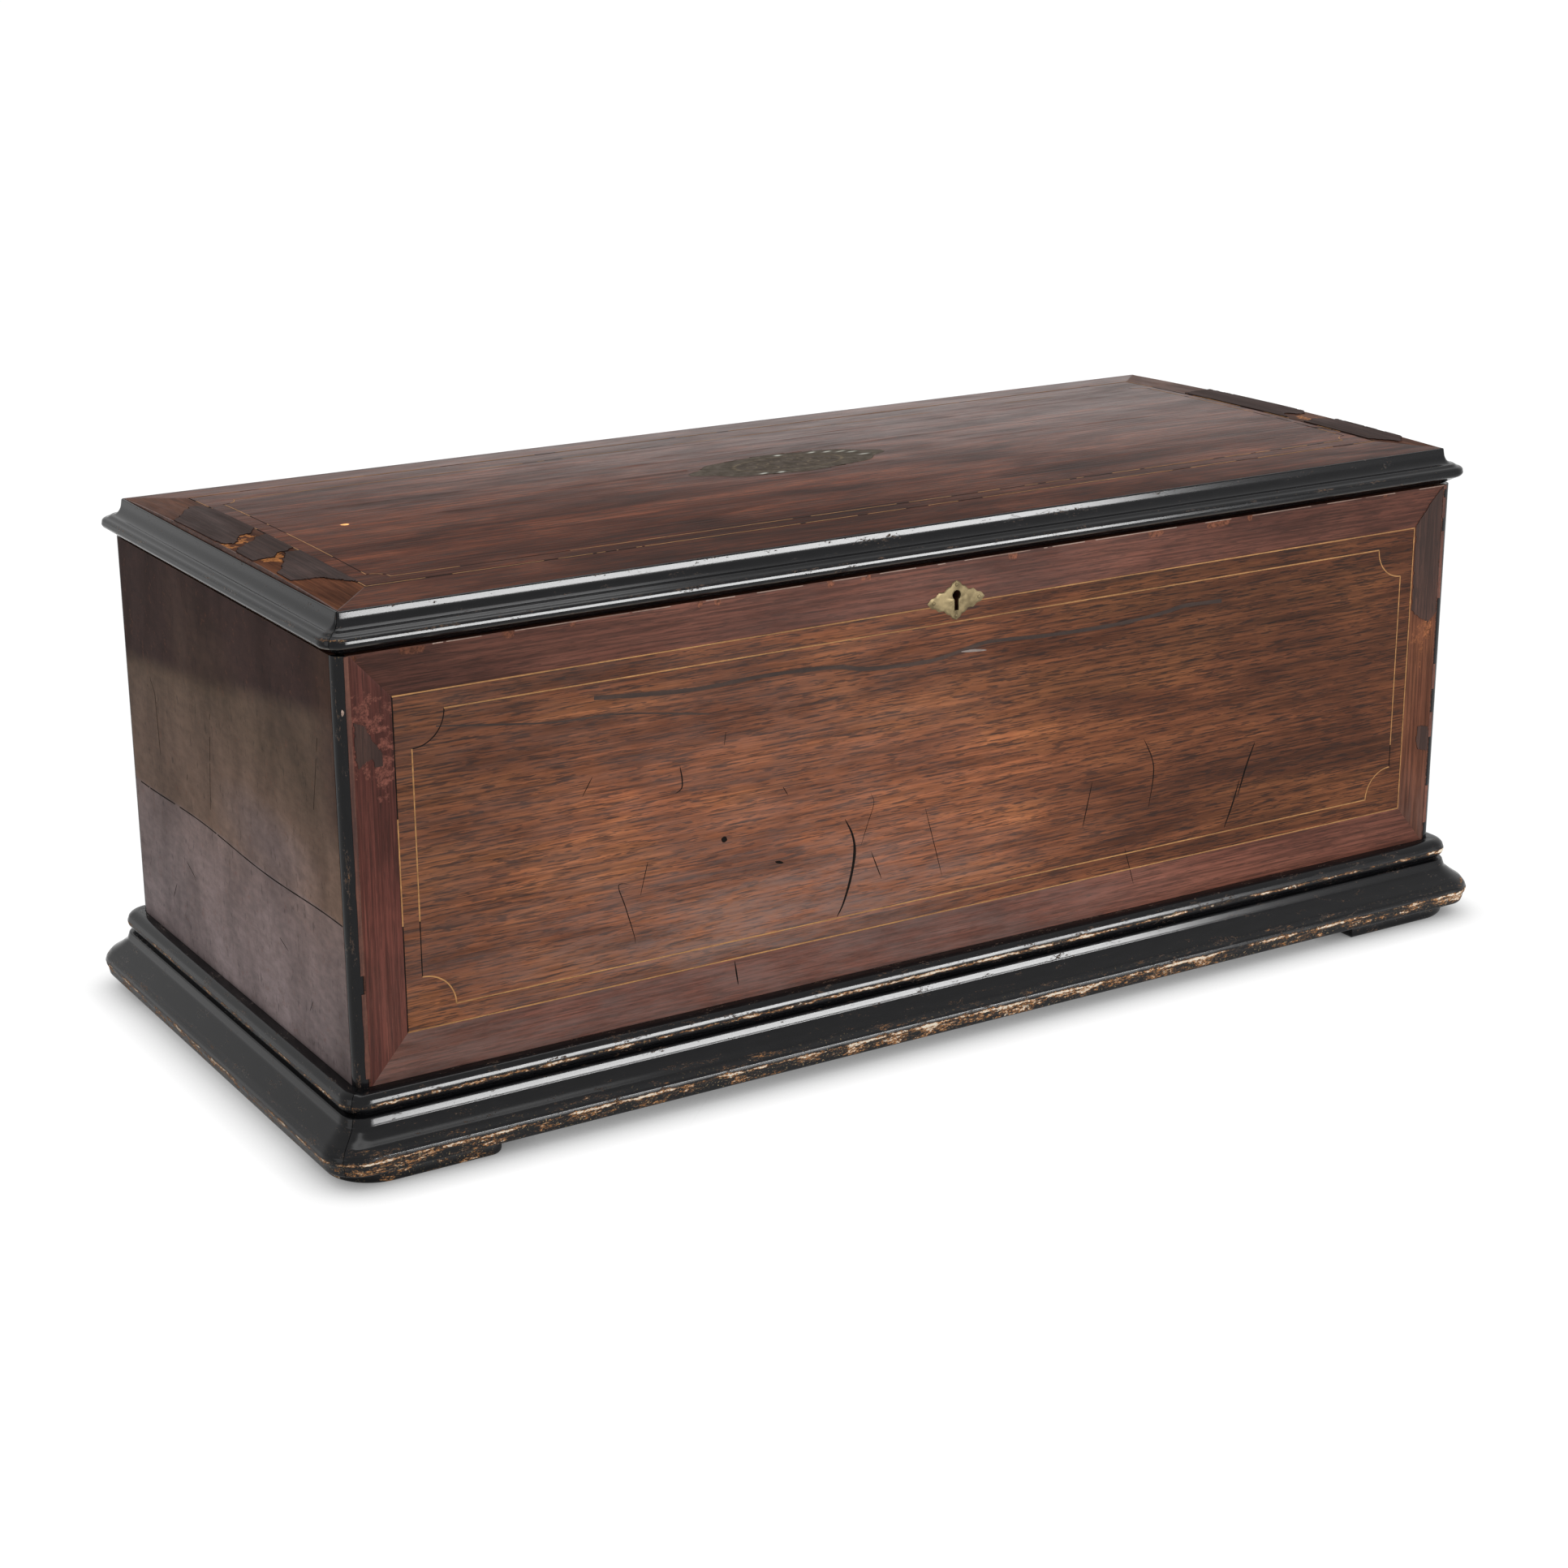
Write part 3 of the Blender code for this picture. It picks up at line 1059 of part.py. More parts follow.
def build_governor():
    """Governor: pinion and worm wheel on one arbor, the worm with its fly, and their cock."""
    centre = (GOVERNOR_Y, AXIS_Z)
    seat = BED_TOP + GAP
    base_top = seat + GOVERNOR_BASE
    outer_end = GOVERNOR_OUTER_X + GOVERNOR_POST
    post_half = GOVERNOR_POST_HALF
    post_top = AXIS_Z + COCK_RISE
    fly_low = AXIS_Z + WORM_WHEEL_RADIUS + FLY_CLEARANCE
    arm_low = fly_low + FLY_HEIGHT + FLY_CLEARANCE
    arm_high = arm_low + GOVERNOR_POST
    back = WORM_Y + FLY_RADIUS
    cock = box("governor_cock", (GOVERNOR_POST_X, GOVERNOR_Y - post_half, seat),
               (outer_end, back, base_top), BRASS)
    join(cock,
         box("inner_post", (GOVERNOR_POST_X, GOVERNOR_Y - post_half, base_top - LAP),
             (GOVERNOR_POST_X + GOVERNOR_POST, GOVERNOR_Y + post_half, post_top)),
         box("outer_post", (GOVERNOR_OUTER_X, GOVERNOR_Y - post_half, base_top - LAP),
             (outer_end, back, arm_high)),
         box("top_arm", (FLY_X - GOVERNOR_ARM_HALF, WORM_Y - GOVERNOR_ARM_HALF, arm_low),
             (GOVERNOR_OUTER_X + LAP, WORM_Y + GOVERNOR_ARM_HALF, arm_high)))
    hole = GOVERNOR_ARBOR_RADIUS + GAP
    cut(cock,
        rod("governor_arbor_way", "X", centre, hole, GOVERNOR_POST_X - LAP, outer_end + LAP, sides=12),
        rod("fly_way", "Z", (FLY_X, WORM_Y), WORM_SHAFT_RADIUS + GAP, seat + FLY_STEP, arm_high + LAP,
            sides=12))
    shaft = [(0, CYLINDER_WHEEL_X - PIVOT_END), (GOVERNOR_ARBOR_RADIUS, CYLINDER_WHEEL_X - PIVOT_END),
             (GOVERNOR_ARBOR_RADIUS, outer_end), (0, outer_end)]
    wheel = turned("governor_wheel", "X", centre, shaft, BRASS, steps=12, closed=False)
    pinion_phase = 180 - 180 / GOVERNOR_PINION_TEETH
    join(wheel,
         plate("governor_pinion", [gear_outline(centre, GOVERNOR_PINION_TEETH, MODULE, pinion_phase)], "X",
               CYLINDER_WHEEL_X, CYLINDER_WHEEL_X + CYLINDER_WHEEL_WIDTH),
         plate("worm_wheel", [gear_outline(centre, WORM_WHEEL_TEETH, WORM_MODULE, 0)], "X",
               FLY_X - WORM_WHEEL_WIDTH / 2, FLY_X + WORM_WHEEL_WIDTH / 2))
    pivot("governor_axis", (FLY_X, *centre), wheel)
    half_worm = WORM_TURNS * math.pi * WORM_MODULE / 2
    rings = worm_rings(AXIS_Z - half_worm, AXIS_Z + half_worm, seat + FLY_STEP + GAP, arm_high + END_GAP)
    fly = loft("fly_worm", rings, STEEL)
    join(fly, box("fly_blade", (FLY_X - FLY_RADIUS, WORM_Y - FLY_THICKNESS / 2, fly_low),
                  (FLY_X + FLY_RADIUS, WORM_Y + FLY_THICKNESS / 2, fly_low + FLY_HEIGHT)))
    pivot("fly_axis", (FLY_X, WORM_Y, AXIS_Z), fly)


def control_height():
    """Height of the control levers' pivots."""
    return FLOOR + CONTROL_PIVOT_HEIGHT


def build_control_levers():
    """Start and change levers, each on a pin through the right partition."""
    low = PARTITION_X + MOVEMENT_GAP
    high = low + CONTROL_THICKNESS
    for name, y in (("start_lever", START_LEVER_Y), ("change_lever", CHANGE_LEVER_Y)):
        centre = (y, control_height())
        foot = (y, centre[1] - CONTROL_REACH_DOWN)
        head = (y, centre[1] + CONTROL_REACH_UP)
        outline = link_outline(foot, CONTROL_FOOT_RADIUS, head, CONTROL_HEAD_RADIUS)
        lever = plate(name, [outline], "X", low, high, BRASS)
        join(lever,
             rod(name + "_pin", "X", centre, CONTROL_PIN_RADIUS, MOVEMENT_X + LAP, low + LAP, sides=12),
             rod(name + "_knob", "X", head, CONTROL_KNOB_RADIUS, low, high + CONTROL_KNOB_LENGTH, sides=16))
        pivot(name + "_axis", (low, *centre), lever)


def build_music_box():
    """Build every piece of the music box."""
    build_case_walls()
    build_case_inside()
    build_plinth()
    panel, frame, trim = build_lid()
    keeper = build_lock(panel, PARTS.objects["front_panel"])
    hinge_side = build_hinges(panel, frame[1], PARTS.objects["back_panel"])
    pivot("lid_axis", (0, HINGE_Y, HINGE_Z), panel, *frame, *trim, keeper, *hinge_side)
    build_glass_lid()
    build_bed()
    build_comb()
    build_cylinder()
    build_barrel()
    build_winding_lever()
    build_governor()
    build_control_levers()


build_music_box()
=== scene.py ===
"""Looks of a large cylinder music box in a rosewood case with ebonised mouldings.

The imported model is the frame. This script gives its nodes their finishes and adds what
shows on them: veneer sheets, strings, worn mouldings, fittings and movement details.
All sizes are in millimetres until a mesh is made. The front faces -Y and +Z is up.
"""

from __future__ import annotations

import json
import logging
import math
from dataclasses import dataclass
from enum import Enum
from typing import Callable, Dict, List, Optional, Sequence, Tuple

import bpy
import numpy as np
from mathutils import Matrix, Vector

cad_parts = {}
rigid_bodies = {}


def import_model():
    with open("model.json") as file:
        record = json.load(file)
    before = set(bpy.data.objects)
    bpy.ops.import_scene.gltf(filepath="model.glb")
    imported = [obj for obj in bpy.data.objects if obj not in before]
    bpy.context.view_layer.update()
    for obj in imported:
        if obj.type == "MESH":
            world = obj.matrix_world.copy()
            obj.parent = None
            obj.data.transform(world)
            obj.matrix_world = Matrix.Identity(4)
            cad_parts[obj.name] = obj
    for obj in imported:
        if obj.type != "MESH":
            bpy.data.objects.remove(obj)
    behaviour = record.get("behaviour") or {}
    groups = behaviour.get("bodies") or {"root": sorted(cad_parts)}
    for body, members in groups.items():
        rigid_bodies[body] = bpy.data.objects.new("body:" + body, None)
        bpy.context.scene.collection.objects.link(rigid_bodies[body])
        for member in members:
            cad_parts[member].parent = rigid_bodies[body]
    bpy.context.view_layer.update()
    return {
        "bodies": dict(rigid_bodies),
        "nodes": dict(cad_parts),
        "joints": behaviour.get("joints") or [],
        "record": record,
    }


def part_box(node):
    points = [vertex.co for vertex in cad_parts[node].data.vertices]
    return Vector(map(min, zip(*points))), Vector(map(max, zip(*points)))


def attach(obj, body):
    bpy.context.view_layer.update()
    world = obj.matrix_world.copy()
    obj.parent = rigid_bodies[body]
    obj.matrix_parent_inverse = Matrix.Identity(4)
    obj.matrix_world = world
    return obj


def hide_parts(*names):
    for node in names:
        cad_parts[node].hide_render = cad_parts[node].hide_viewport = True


LOG = logging.getLogger("music_box")
MM = 0.001

Colour = Tuple[float, float, float]
Pair = Tuple[float, float]
Triple = Tuple[float, float, float]

# Case and lid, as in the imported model
HALF_LENGTH = 350.0
HALF_DEPTH = 150.0
CASE_BOTTOM = 45.0
CASE_TOP = 263.0
CORNER_STRIP = 6.0
CORNER_GROWTH = 0.6
LID_BOTTOM = 263.5
LID_TOP = 283.4
LID_CROWN = 2.5
LID_RIM = 5.0
SUNK = 0.05
KEYHOLE_Z = 242.0
HINGE_X = 230.0
BED_TOP = 73.3

# Each corner's name and the signs of its x and y
CORNERS = [(f"{deep}_{wide}", x_side, y_side) for wide, x_side in (("left", -1), ("right", 1))
           for deep, y_side in (("front", -1), ("back", 1))]


class Side(Enum):
    """A side of the case."""

    FRONT = "front"
    BACK = "back"
    LEFT = "left"
    RIGHT = "right"

    @property
    def along_x(self) -> bool:
        """Whether a length of moulding on this side runs along X."""
        return self in (Side.FRONT, Side.BACK)

    @property
    def outward(self) -> int:
        """Sign of the outward direction on this side's own axis."""
        return -1 if self in (Side.FRONT, Side.LEFT) else 1


class Grain(Enum):
    """The axis along which a wood's grain runs."""

    ALONG_X = (1.0, 14.0, 14.0)
    ALONG_Y = (14.0, 1.0, 14.0)
    ALONG_Z = (14.0, 14.0, 1.0)


def hashed(i: np.ndarray, j: np.ndarray, seed: int) -> np.ndarray:
    """A fixed value from 0 to 1 for each pair of whole numbers, by integer mixing.

    Args:
        i: First whole numbers.
        j: Second whole numbers.
        seed: Picks another set of values.

    Returns:
        Values from 0 to 1.
    """
    word = 0xFFFFFFFF
    mixed = (i.astype(np.int64) * 374761393 + j.astype(np.int64) * 668265263 + seed * 974634777) & word
    mixed = ((mixed ^ (mixed >> 13)) * 1274126177) & word
    return ((mixed ^ (mixed >> 16)) & 0xFFFF) / 65535.0


def lattice(u: np.ndarray, v: np.ndarray, seed: int) -> np.ndarray:
    """Smooth noise: each whole-number corner has a hashed value, and a point blends its
    four corners with the weight 3t^2 - 2t^3 along each direction.

    Args:
        u: First coordinates, in cells.
        v: Second coordinates, in cells.
        seed: Picks another pattern.

    Returns:
        Values from 0 to 1.
    """
    i, j = np.floor(u), np.floor(v)
    s, t = u - i, v - j
    s, t = s * s * (3 - 2 * s), t * t * (3 - 2 * t)
    low = hashed(i, j, seed) * (1 - s) + hashed(i + 1, j, seed) * s
    high = hashed(i, j + 1, seed) * (1 - s) + hashed(i + 1, j + 1, seed) * s
    return low * (1 - t) + high * t


def fractal(u: np.ndarray, v: np.ndarray, seed: int, octaves: int = 4) -> np.ndarray:
    """Sum of lattice noises, each octave twice as fine and half as strong, scaled to 0 to 1.

    Args:
        u: First coordinates, in cells of the first octave.
        v: Second coordinates, in cells of the first octave.
        seed: Picks another pattern.
        octaves: How many noises are added.

    Returns:
        Values from 0 to 1.
    """
    total = np.zeros(np.broadcast(u, v).shape)
    for octave in range(octaves):
        scale = 2.0**octave
        total = total + lattice(u * scale, v * scale, seed + 17 * octave) / scale
    return total / (2 - 2 / 2.0**octaves)


def soft_step(low: float, high: float, value: np.ndarray) -> np.ndarray:
    """0 below low, 1 above high, and 3t^2 - 2t^3 between them."""
    t = np.clip((value - low) / (high - low), 0, 1)
    return t * t * (3 - 2 * t)


def bell(value: np.ndarray, centre: float, width: float) -> np.ndarray:
    """A bell curve: the exponential of minus the squared distance over the squared width."""
    return np.exp(-(((value - centre) / width) ** 2))


def glow(u: np.ndarray, v: np.ndarray, at_u: float, at_v: float, wide: float, high: float) -> np.ndarray:
    """A soft oval spot: the product of two bells."""
    return bell(u, at_u, wide) * bell(v, at_v, high)


def inside(u: np.ndarray, v: np.ndarray, corners: Sequence[Pair]) -> np.ndarray:
    """Even-odd test: a point is inside where a ray crosses the outline an odd number of times.

    Args:
        u: First coordinates of the points.
        v: Second coordinates of the points.
        corners: The outline's corners in order.

    Returns:
        True for each point inside the outline.
    """
    found = np.zeros(np.broadcast(u, v).shape, bool)
    for (u0, v0), (u1, v1) in zip(corners, list(corners[1:]) + [corners[0]]):
        if v0 == v1:
            continue
        crosses = (v0 > v) != (v1 > v)
        found ^= crosses & (u < (u1 - u0) * (v - v0) / (v1 - v0) + u0)
    return found


def arc(centre: Pair, radius: float, start: float, end: float, steps: int) -> np.ndarray:
    """Points round a centre from one angle to another, in degrees."""
    angle = np.radians(np.linspace(start, end, steps + 1))
    return np.stack([centre[0] + radius * np.cos(angle), centre[1] + radius * np.sin(angle)], 1)


def faceted(centre: Pair, radius: float, start: float, end: float, steps: int,
            flat: Tuple[int, int]) -> List[np.ndarray]:
    """An arc with one flat facet between two of its points.

    Args:
        centre: The arc's centre.
        radius: Its radius.
        start: Its first angle in degrees.
        end: Its last angle.
        steps: Its steps before it is flattened.
        flat: Numbers of the two points.

    Returns:
        The points, and the angle of each.
    """
    first, last = flat
    return [np.concatenate([rows[: first + 1], np.linspace(rows[first], rows[last], 5)[1:-1], rows[last:]])
            for rows in (arc(centre, radius, start, end, steps), np.linspace(start, end, steps + 1))]


def flowing(points: np.ndarray, steps: int) -> np.ndarray:
    """A smooth line through points: on each span the Catmull-Rom cubic, whose slope at a
    point is half the step between its two neighbours.

    Args:
        points: The points to pass through, one per row.
        steps: Pieces in each span.

    Returns:
        The points of the smooth line.
    """
    first, last = 2 * points[0] - points[1], 2 * points[-1] - points[-2]
    p = np.vstack([first, points, last])
    t = np.linspace(0, 1, steps, endpoint=False)[None, :, None]
    a, b, c, d = (p[k : len(p) - 3 + k, None, :] for k in range(4))
    square, cube = 2 * a - 5 * b + 4 * c - d, 3 * b - a - 3 * c + d
    line = 0.5 * (2 * b + (c - a) * t + square * t**2 + cube * t**3)
    return np.vstack([line.reshape(-1, points.shape[1]), points[-1:]])


def resampled(path: np.ndarray, step: float) -> np.ndarray:
    """Points at equal steps along a polyline, found by its running length."""
    run = np.concatenate([[0], np.cumsum(np.linalg.norm(np.diff(path, axis=0), axis=1))])
    at = np.linspace(0, run[-1], max(2, int(run[-1] / step) + 1))
    return np.stack([np.interp(at, run, path[:, k]) for k in range(path.shape[1])], 1)


@dataclass
class Skin:
    """Vertices and polygons of a surface, in millimetres, with values for its vertices."""

    points: np.ndarray
    polygons: List[np.ndarray]
    values: Dict[str, np.ndarray]

    def volume(self) -> float:
        """Signed volume: a sixth of the sum of triple products over fans of each polygon."""
        total = 0.0
        for polygons in self.polygons:
            first = self.points[polygons[:, 0]]
            for k in range(1, polygons.shape[1] - 1):
                cross = np.cross(self.points[polygons[:, k]], self.points[polygons[:, k + 1]])
                total += float((first * cross).sum())
        return total / 6


def woven(rows: int, columns: int, wrap_rows: bool = False, wrap_columns: bool = False) -> np.ndarray:
    """Quads of a grid of vertices numbered row by row; a wrapped direction closes on itself."""
    i = np.arange(rows if wrap_rows else rows - 1)[:, None]
    j = np.arange(columns if wrap_columns else columns - 1)[None, :]
    after_i, after_j = (i + 1) % rows, (j + 1) % columns
    quads = np.stack(np.broadcast_arrays(i * columns + j, after_i * columns + j,
                                         after_i * columns + after_j, i * columns + after_j), -1)
    return quads.reshape(-1, 4)


def sheet(front: np.ndarray, back: np.ndarray, kept: Optional[np.ndarray] = None,
          values: Optional[Dict[str, np.ndarray]] = None) -> Skin:
    """A sheet with thickness: a front grid, a back grid, and an edge wherever a kept cell
    has no kept neighbour.

    Args:
        front: Front points, as rows by columns by three.
        back: Back points in the same layout.
        kept: Which cells are there, or None for all.
        values: Values on the front grid, repeated on the back.

    Returns:
        The closed skin.
    """
    rows, columns = front.shape[:2]
    count = rows * columns
    kept = np.ones((rows - 1, columns - 1), bool) if kept is None else kept
    corner = np.arange(count).reshape(rows, columns)
    a, b, c, d = corner[:-1, :-1], corner[1:, :-1], corner[1:, 1:], corner[:-1, 1:]
    around = np.pad(kept, 1)
    polygons = [np.stack([a, b, c, d], -1)[kept], np.stack([a, d, c, b], -1)[kept] + count]
    for near, far, beside in ((b, c, around[2:, 1:-1]), (d, a, around[:-2, 1:-1]),
                              (c, d, around[1:-1, 2:]), (a, b, around[1:-1, :-2])):
        edge = kept & ~beside
        polygons.append(np.stack([far[edge], near[edge], near[edge] + count, far[edge] + count], -1))
    points = np.vstack([front.reshape(-1, 3), back.reshape(-1, 3)])
    used = np.unique(np.concatenate([polygon.ravel() for polygon in polygons]))
    renumber = np.zeros(2 * count, int)
    renumber[used] = np.arange(len(used))
    kept_values = {key: np.tile(grid.reshape(-1), 2)[used] for key, grid in (values or {}).items()}
    return Skin(points[used], [renumber[polygon] for polygon in polygons], kept_values)


def carried(points: np.ndarray, values: Optional[Dict[str, np.ndarray]] = None) -> Skin:
    """A solid from sections, each a closed ring of points, with a polygon over each end.

    Args:
        points: Sections by ring points by three.
        values: Values on the same grid.

    Returns:
        The closed skin.
    """
    sections, ring = points.shape[:2]
    ends = np.arange(ring)[None, :]
    polygons = [woven(sections, ring, wrap_columns=True), ends, ends[:, ::-1] + (sections - 1) * ring]
    return Skin(points.reshape(-1, 3), polygons,
                {key: grid.reshape(-1) for key, grid in (values or {}).items()})


def turned(profile: Sequence[Pair], centre: Triple, axis: int, sides: int) -> Skin:
    """A solid of revolution: a closed ring of (run, radius) carried round an axis.

    Args:
        profile: The ring's points.
        centre: A point on the axis, from which run counts.
        axis: 0, 1 or 2 for X, Y or Z.
        sides: Steps round the axis.

    Returns:
        The closed skin.
    """
    ring = np.array(profile, float)
    angle = np.linspace(0, 2 * np.pi, sides, endpoint=False)[:, None]
    points = np.zeros((sides, len(ring), 3))
    points[..., axis] = ring[:, 0] + centre[axis]
    points[..., (axis + 1) % 3] = ring[:, 1] * np.cos(angle) + centre[(axis + 1) % 3]
    points[..., (axis + 2) % 3] = ring[:, 1] * np.sin(angle) + centre[(axis + 2) % 3]
    return Skin(points.reshape(-1, 3), [woven(sides, len(ring), True, True)], {})


def make(name: str, skin: Skin, finish: bpy.types.Material, body: str,
         crease: float = 38.0) -> bpy.types.Object:
    """Makes a piece of a skin, turned outwards, and lets it ride on a body.

    Args:
        name: The piece's name.
        skin: Its closed surface in millimetres.
        finish: Its material.
        body: The body it moves with.
        crease: Angle in degrees above which an edge stays sharp.

    Returns:
        The new object.
    """
    polygons = [p[:, ::-1] for p in skin.polygons] if skin.volume() < 0 else skin.polygons
    loops = np.concatenate([p.reshape(-1) for p in polygons])
    sizes = np.concatenate([np.full(len(p), p.shape[1]) for p in polygons])
    mesh = bpy.data.meshes.new(name)
    mesh.vertices.add(len(skin.points))
    mesh.vertices.foreach_set("co", (skin.points * MM).astype(np.float32).ravel())
    mesh.loops.add(len(loops))
    mesh.loops.foreach_set("vertex_index", loops.astype(np.int32))
    mesh.polygons.add(len(sizes))
    mesh.polygons.foreach_set("loop_start", np.concatenate([[0], np.cumsum(sizes)[:-1]]).astype(np.int32))
    mesh.update(calc_edges=True)
    for key, values in skin.values.items():
        mesh.attributes.new(key, "FLOAT", "POINT").data.foreach_set("value", values.astype(np.float32))
    mesh.polygons.foreach_set("use_smooth", np.ones(len(sizes), bool))
    mesh.set_sharp_from_angle(angle=math.radians(crease))
    mesh.materials.append(finish)
    piece = bpy.data.objects.new(name, mesh)
    bpy.context.scene.collection.objects.link(piece)
    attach(piece, body)
    LOG.info("%s: %d vertices on %s", name, len(skin.points), body)
    return piece


class Wiring:
    """A node tree being wired: short calls add nodes and join them."""

    def __init__(self, tree: bpy.types.NodeTree) -> None:
        """Starts with an empty tree."""
        self.tree = tree
        tree.nodes.clear()

    def node(self, kind: str, **options: object) -> bpy.types.Node:
        """Adds a node and sets its options."""
        made = self.tree.nodes.new("ShaderNode" + kind)
        for key, value in options.items():
            setattr(made, key, value)
        return made

    def feed(self, node: bpy.types.Node, **inputs: object) -> None:
        """Joins sockets to a node's inputs, or sets them where the value is plain. An input is named
        by its name with underscores for spaces, or by its number after an i."""
        for name, value in inputs.items():
            key = int(name[1:]) if name[1:].isdigit() else name.replace("_", " ")
            if isinstance(value, bpy.types.NodeSocket):
                self.tree.links.new(value, node.inputs[key])
            elif isinstance(value, tuple) and len(value) == 3 and node.inputs[key].type == "RGBA":
                node.inputs[key].default_value = (*value, 1.0)
            else:
                node.inputs[key].default_value = value

    def sums(self, operation: str, first: object, second: object,
             clamp: bool = False) -> bpy.types.NodeSocket:
        """One arithmetic step."""
        made = self.node("Math", operation=operation, use_clamp=clamp)
        self.feed(made, i0=first, i1=second)
        return made.outputs[0]

    def blend(self, share: object, first: object, second: object) -> bpy.types.NodeSocket:
        """Mixes two colours by a share."""
        made = self.node("Mix", data_type="RGBA")
        self.feed(made, i0=share, i6=first, i7=second)
        return made.outputs[2]

    def sight(self) -> bpy.types.NodeSocket:
        """1 for what the camera sees, straight or through gloss or glass, and 0 for light on matt things."""
        rays = self.node("LightPath").outputs
        seen = self.sums("MAXIMUM", rays["Is Camera Ray"], rays["Is Glossy Ray"])
        return self.sums("MAXIMUM", seen, rays["Is Transmission Ray"])


class Recipe(Wiring):
    """A material being mixed."""

    def __init__(self, name: str) -> None:
        """Starts a material whose only node is its shader."""
        self.material = bpy.data.materials.new(name)
        self.material.use_nodes = True
        super().__init__(self.material.node_tree)
        self.shader = self.node("BsdfPrincipled")
        self.feed(self.node("OutputMaterial"), i0=self.shader.outputs[0])

    def spot(self, stretch: Triple = (1, 1, 1), shift: Triple = (0, 0, 0)) -> bpy.types.NodeSocket:
        """Object coordinates, stretched and shifted."""
        mapping = self.node("Mapping")
        self.feed(mapping, Vector=self.node("TexCoord").outputs["Object"], Scale=stretch, Location=shift)
        return mapping.outputs[0]

    def noise(self, vector: bpy.types.NodeSocket, scale: float, detail: float = 4.0,
              rough: float = 0.55, twist: float = 0.0) -> bpy.types.NodeSocket:
        """Fractal noise from 0 to 1 at a scale per metre."""
        made = self.node("TexNoise")
        self.feed(made, Vector=vector, Scale=scale, Detail=detail, Roughness=rough, Distortion=twist)
        return made.outputs["Fac"]

    def value(self, name: str) -> bpy.types.NodeSocket:
        """The piece's own vertex values of that name."""
        return self.node("Attribute", attribute_name=name).outputs["Fac"]

    def level(self, source: bpy.types.NodeSocket, low: float, high: float,
              to_low: float = 0.0, to_high: float = 1.0) -> bpy.types.NodeSocket:
        """Maps low to to_low and high to to_high with a soft step."""
        made = self.node("MapRange", interpolation_type="SMOOTHSTEP")
        self.feed(made, Value=source, From_Min=low, From_Max=high, To_Min=to_low, To_Max=to_high)
        return made.outputs[0]

    def ramp(self, source: bpy.types.NodeSocket, *stops: Tuple[float, Colour]) -> bpy.types.NodeSocket:
        """A colour for each value, blended between stops."""
        made = self.node("ValToRGB")
        elements = made.color_ramp.elements
        while len(elements) < len(stops):
            elements.new(0.5)
        for element, (position, colour) in zip(elements, stops):
            element.position = position
            element.color = (*colour, 1.0)
        self.feed(made, Fac=source)
        return made.outputs["Color"]

    def gain(self, colour: object, factor: bpy.types.NodeSocket) -> bpy.types.NodeSocket:
        """A colour made lighter or darker by a factor."""
        made = self.node("VectorMath", operation="SCALE")
        self.feed(made, i0=colour, Scale=factor)
        return made.outputs[0]

    def relief(self, height: bpy.types.NodeSocket, depth: float, strength: float = 1.0,
               **below: bpy.types.NodeSocket) -> bpy.types.NodeSocket:
        """A bump normal; depth in millimetres. Another may lie below it, as Normal."""
        made = self.node("Bump")
        self.feed(made, Strength=strength, Distance=depth * MM, Height=height, **below)
        return made.outputs[0]

    def finished(self, **inputs: object) -> bpy.types.Material:
        """Sets the shader's inputs and returns the material."""
        self.feed(self.shader, **inputs)
        return self.material


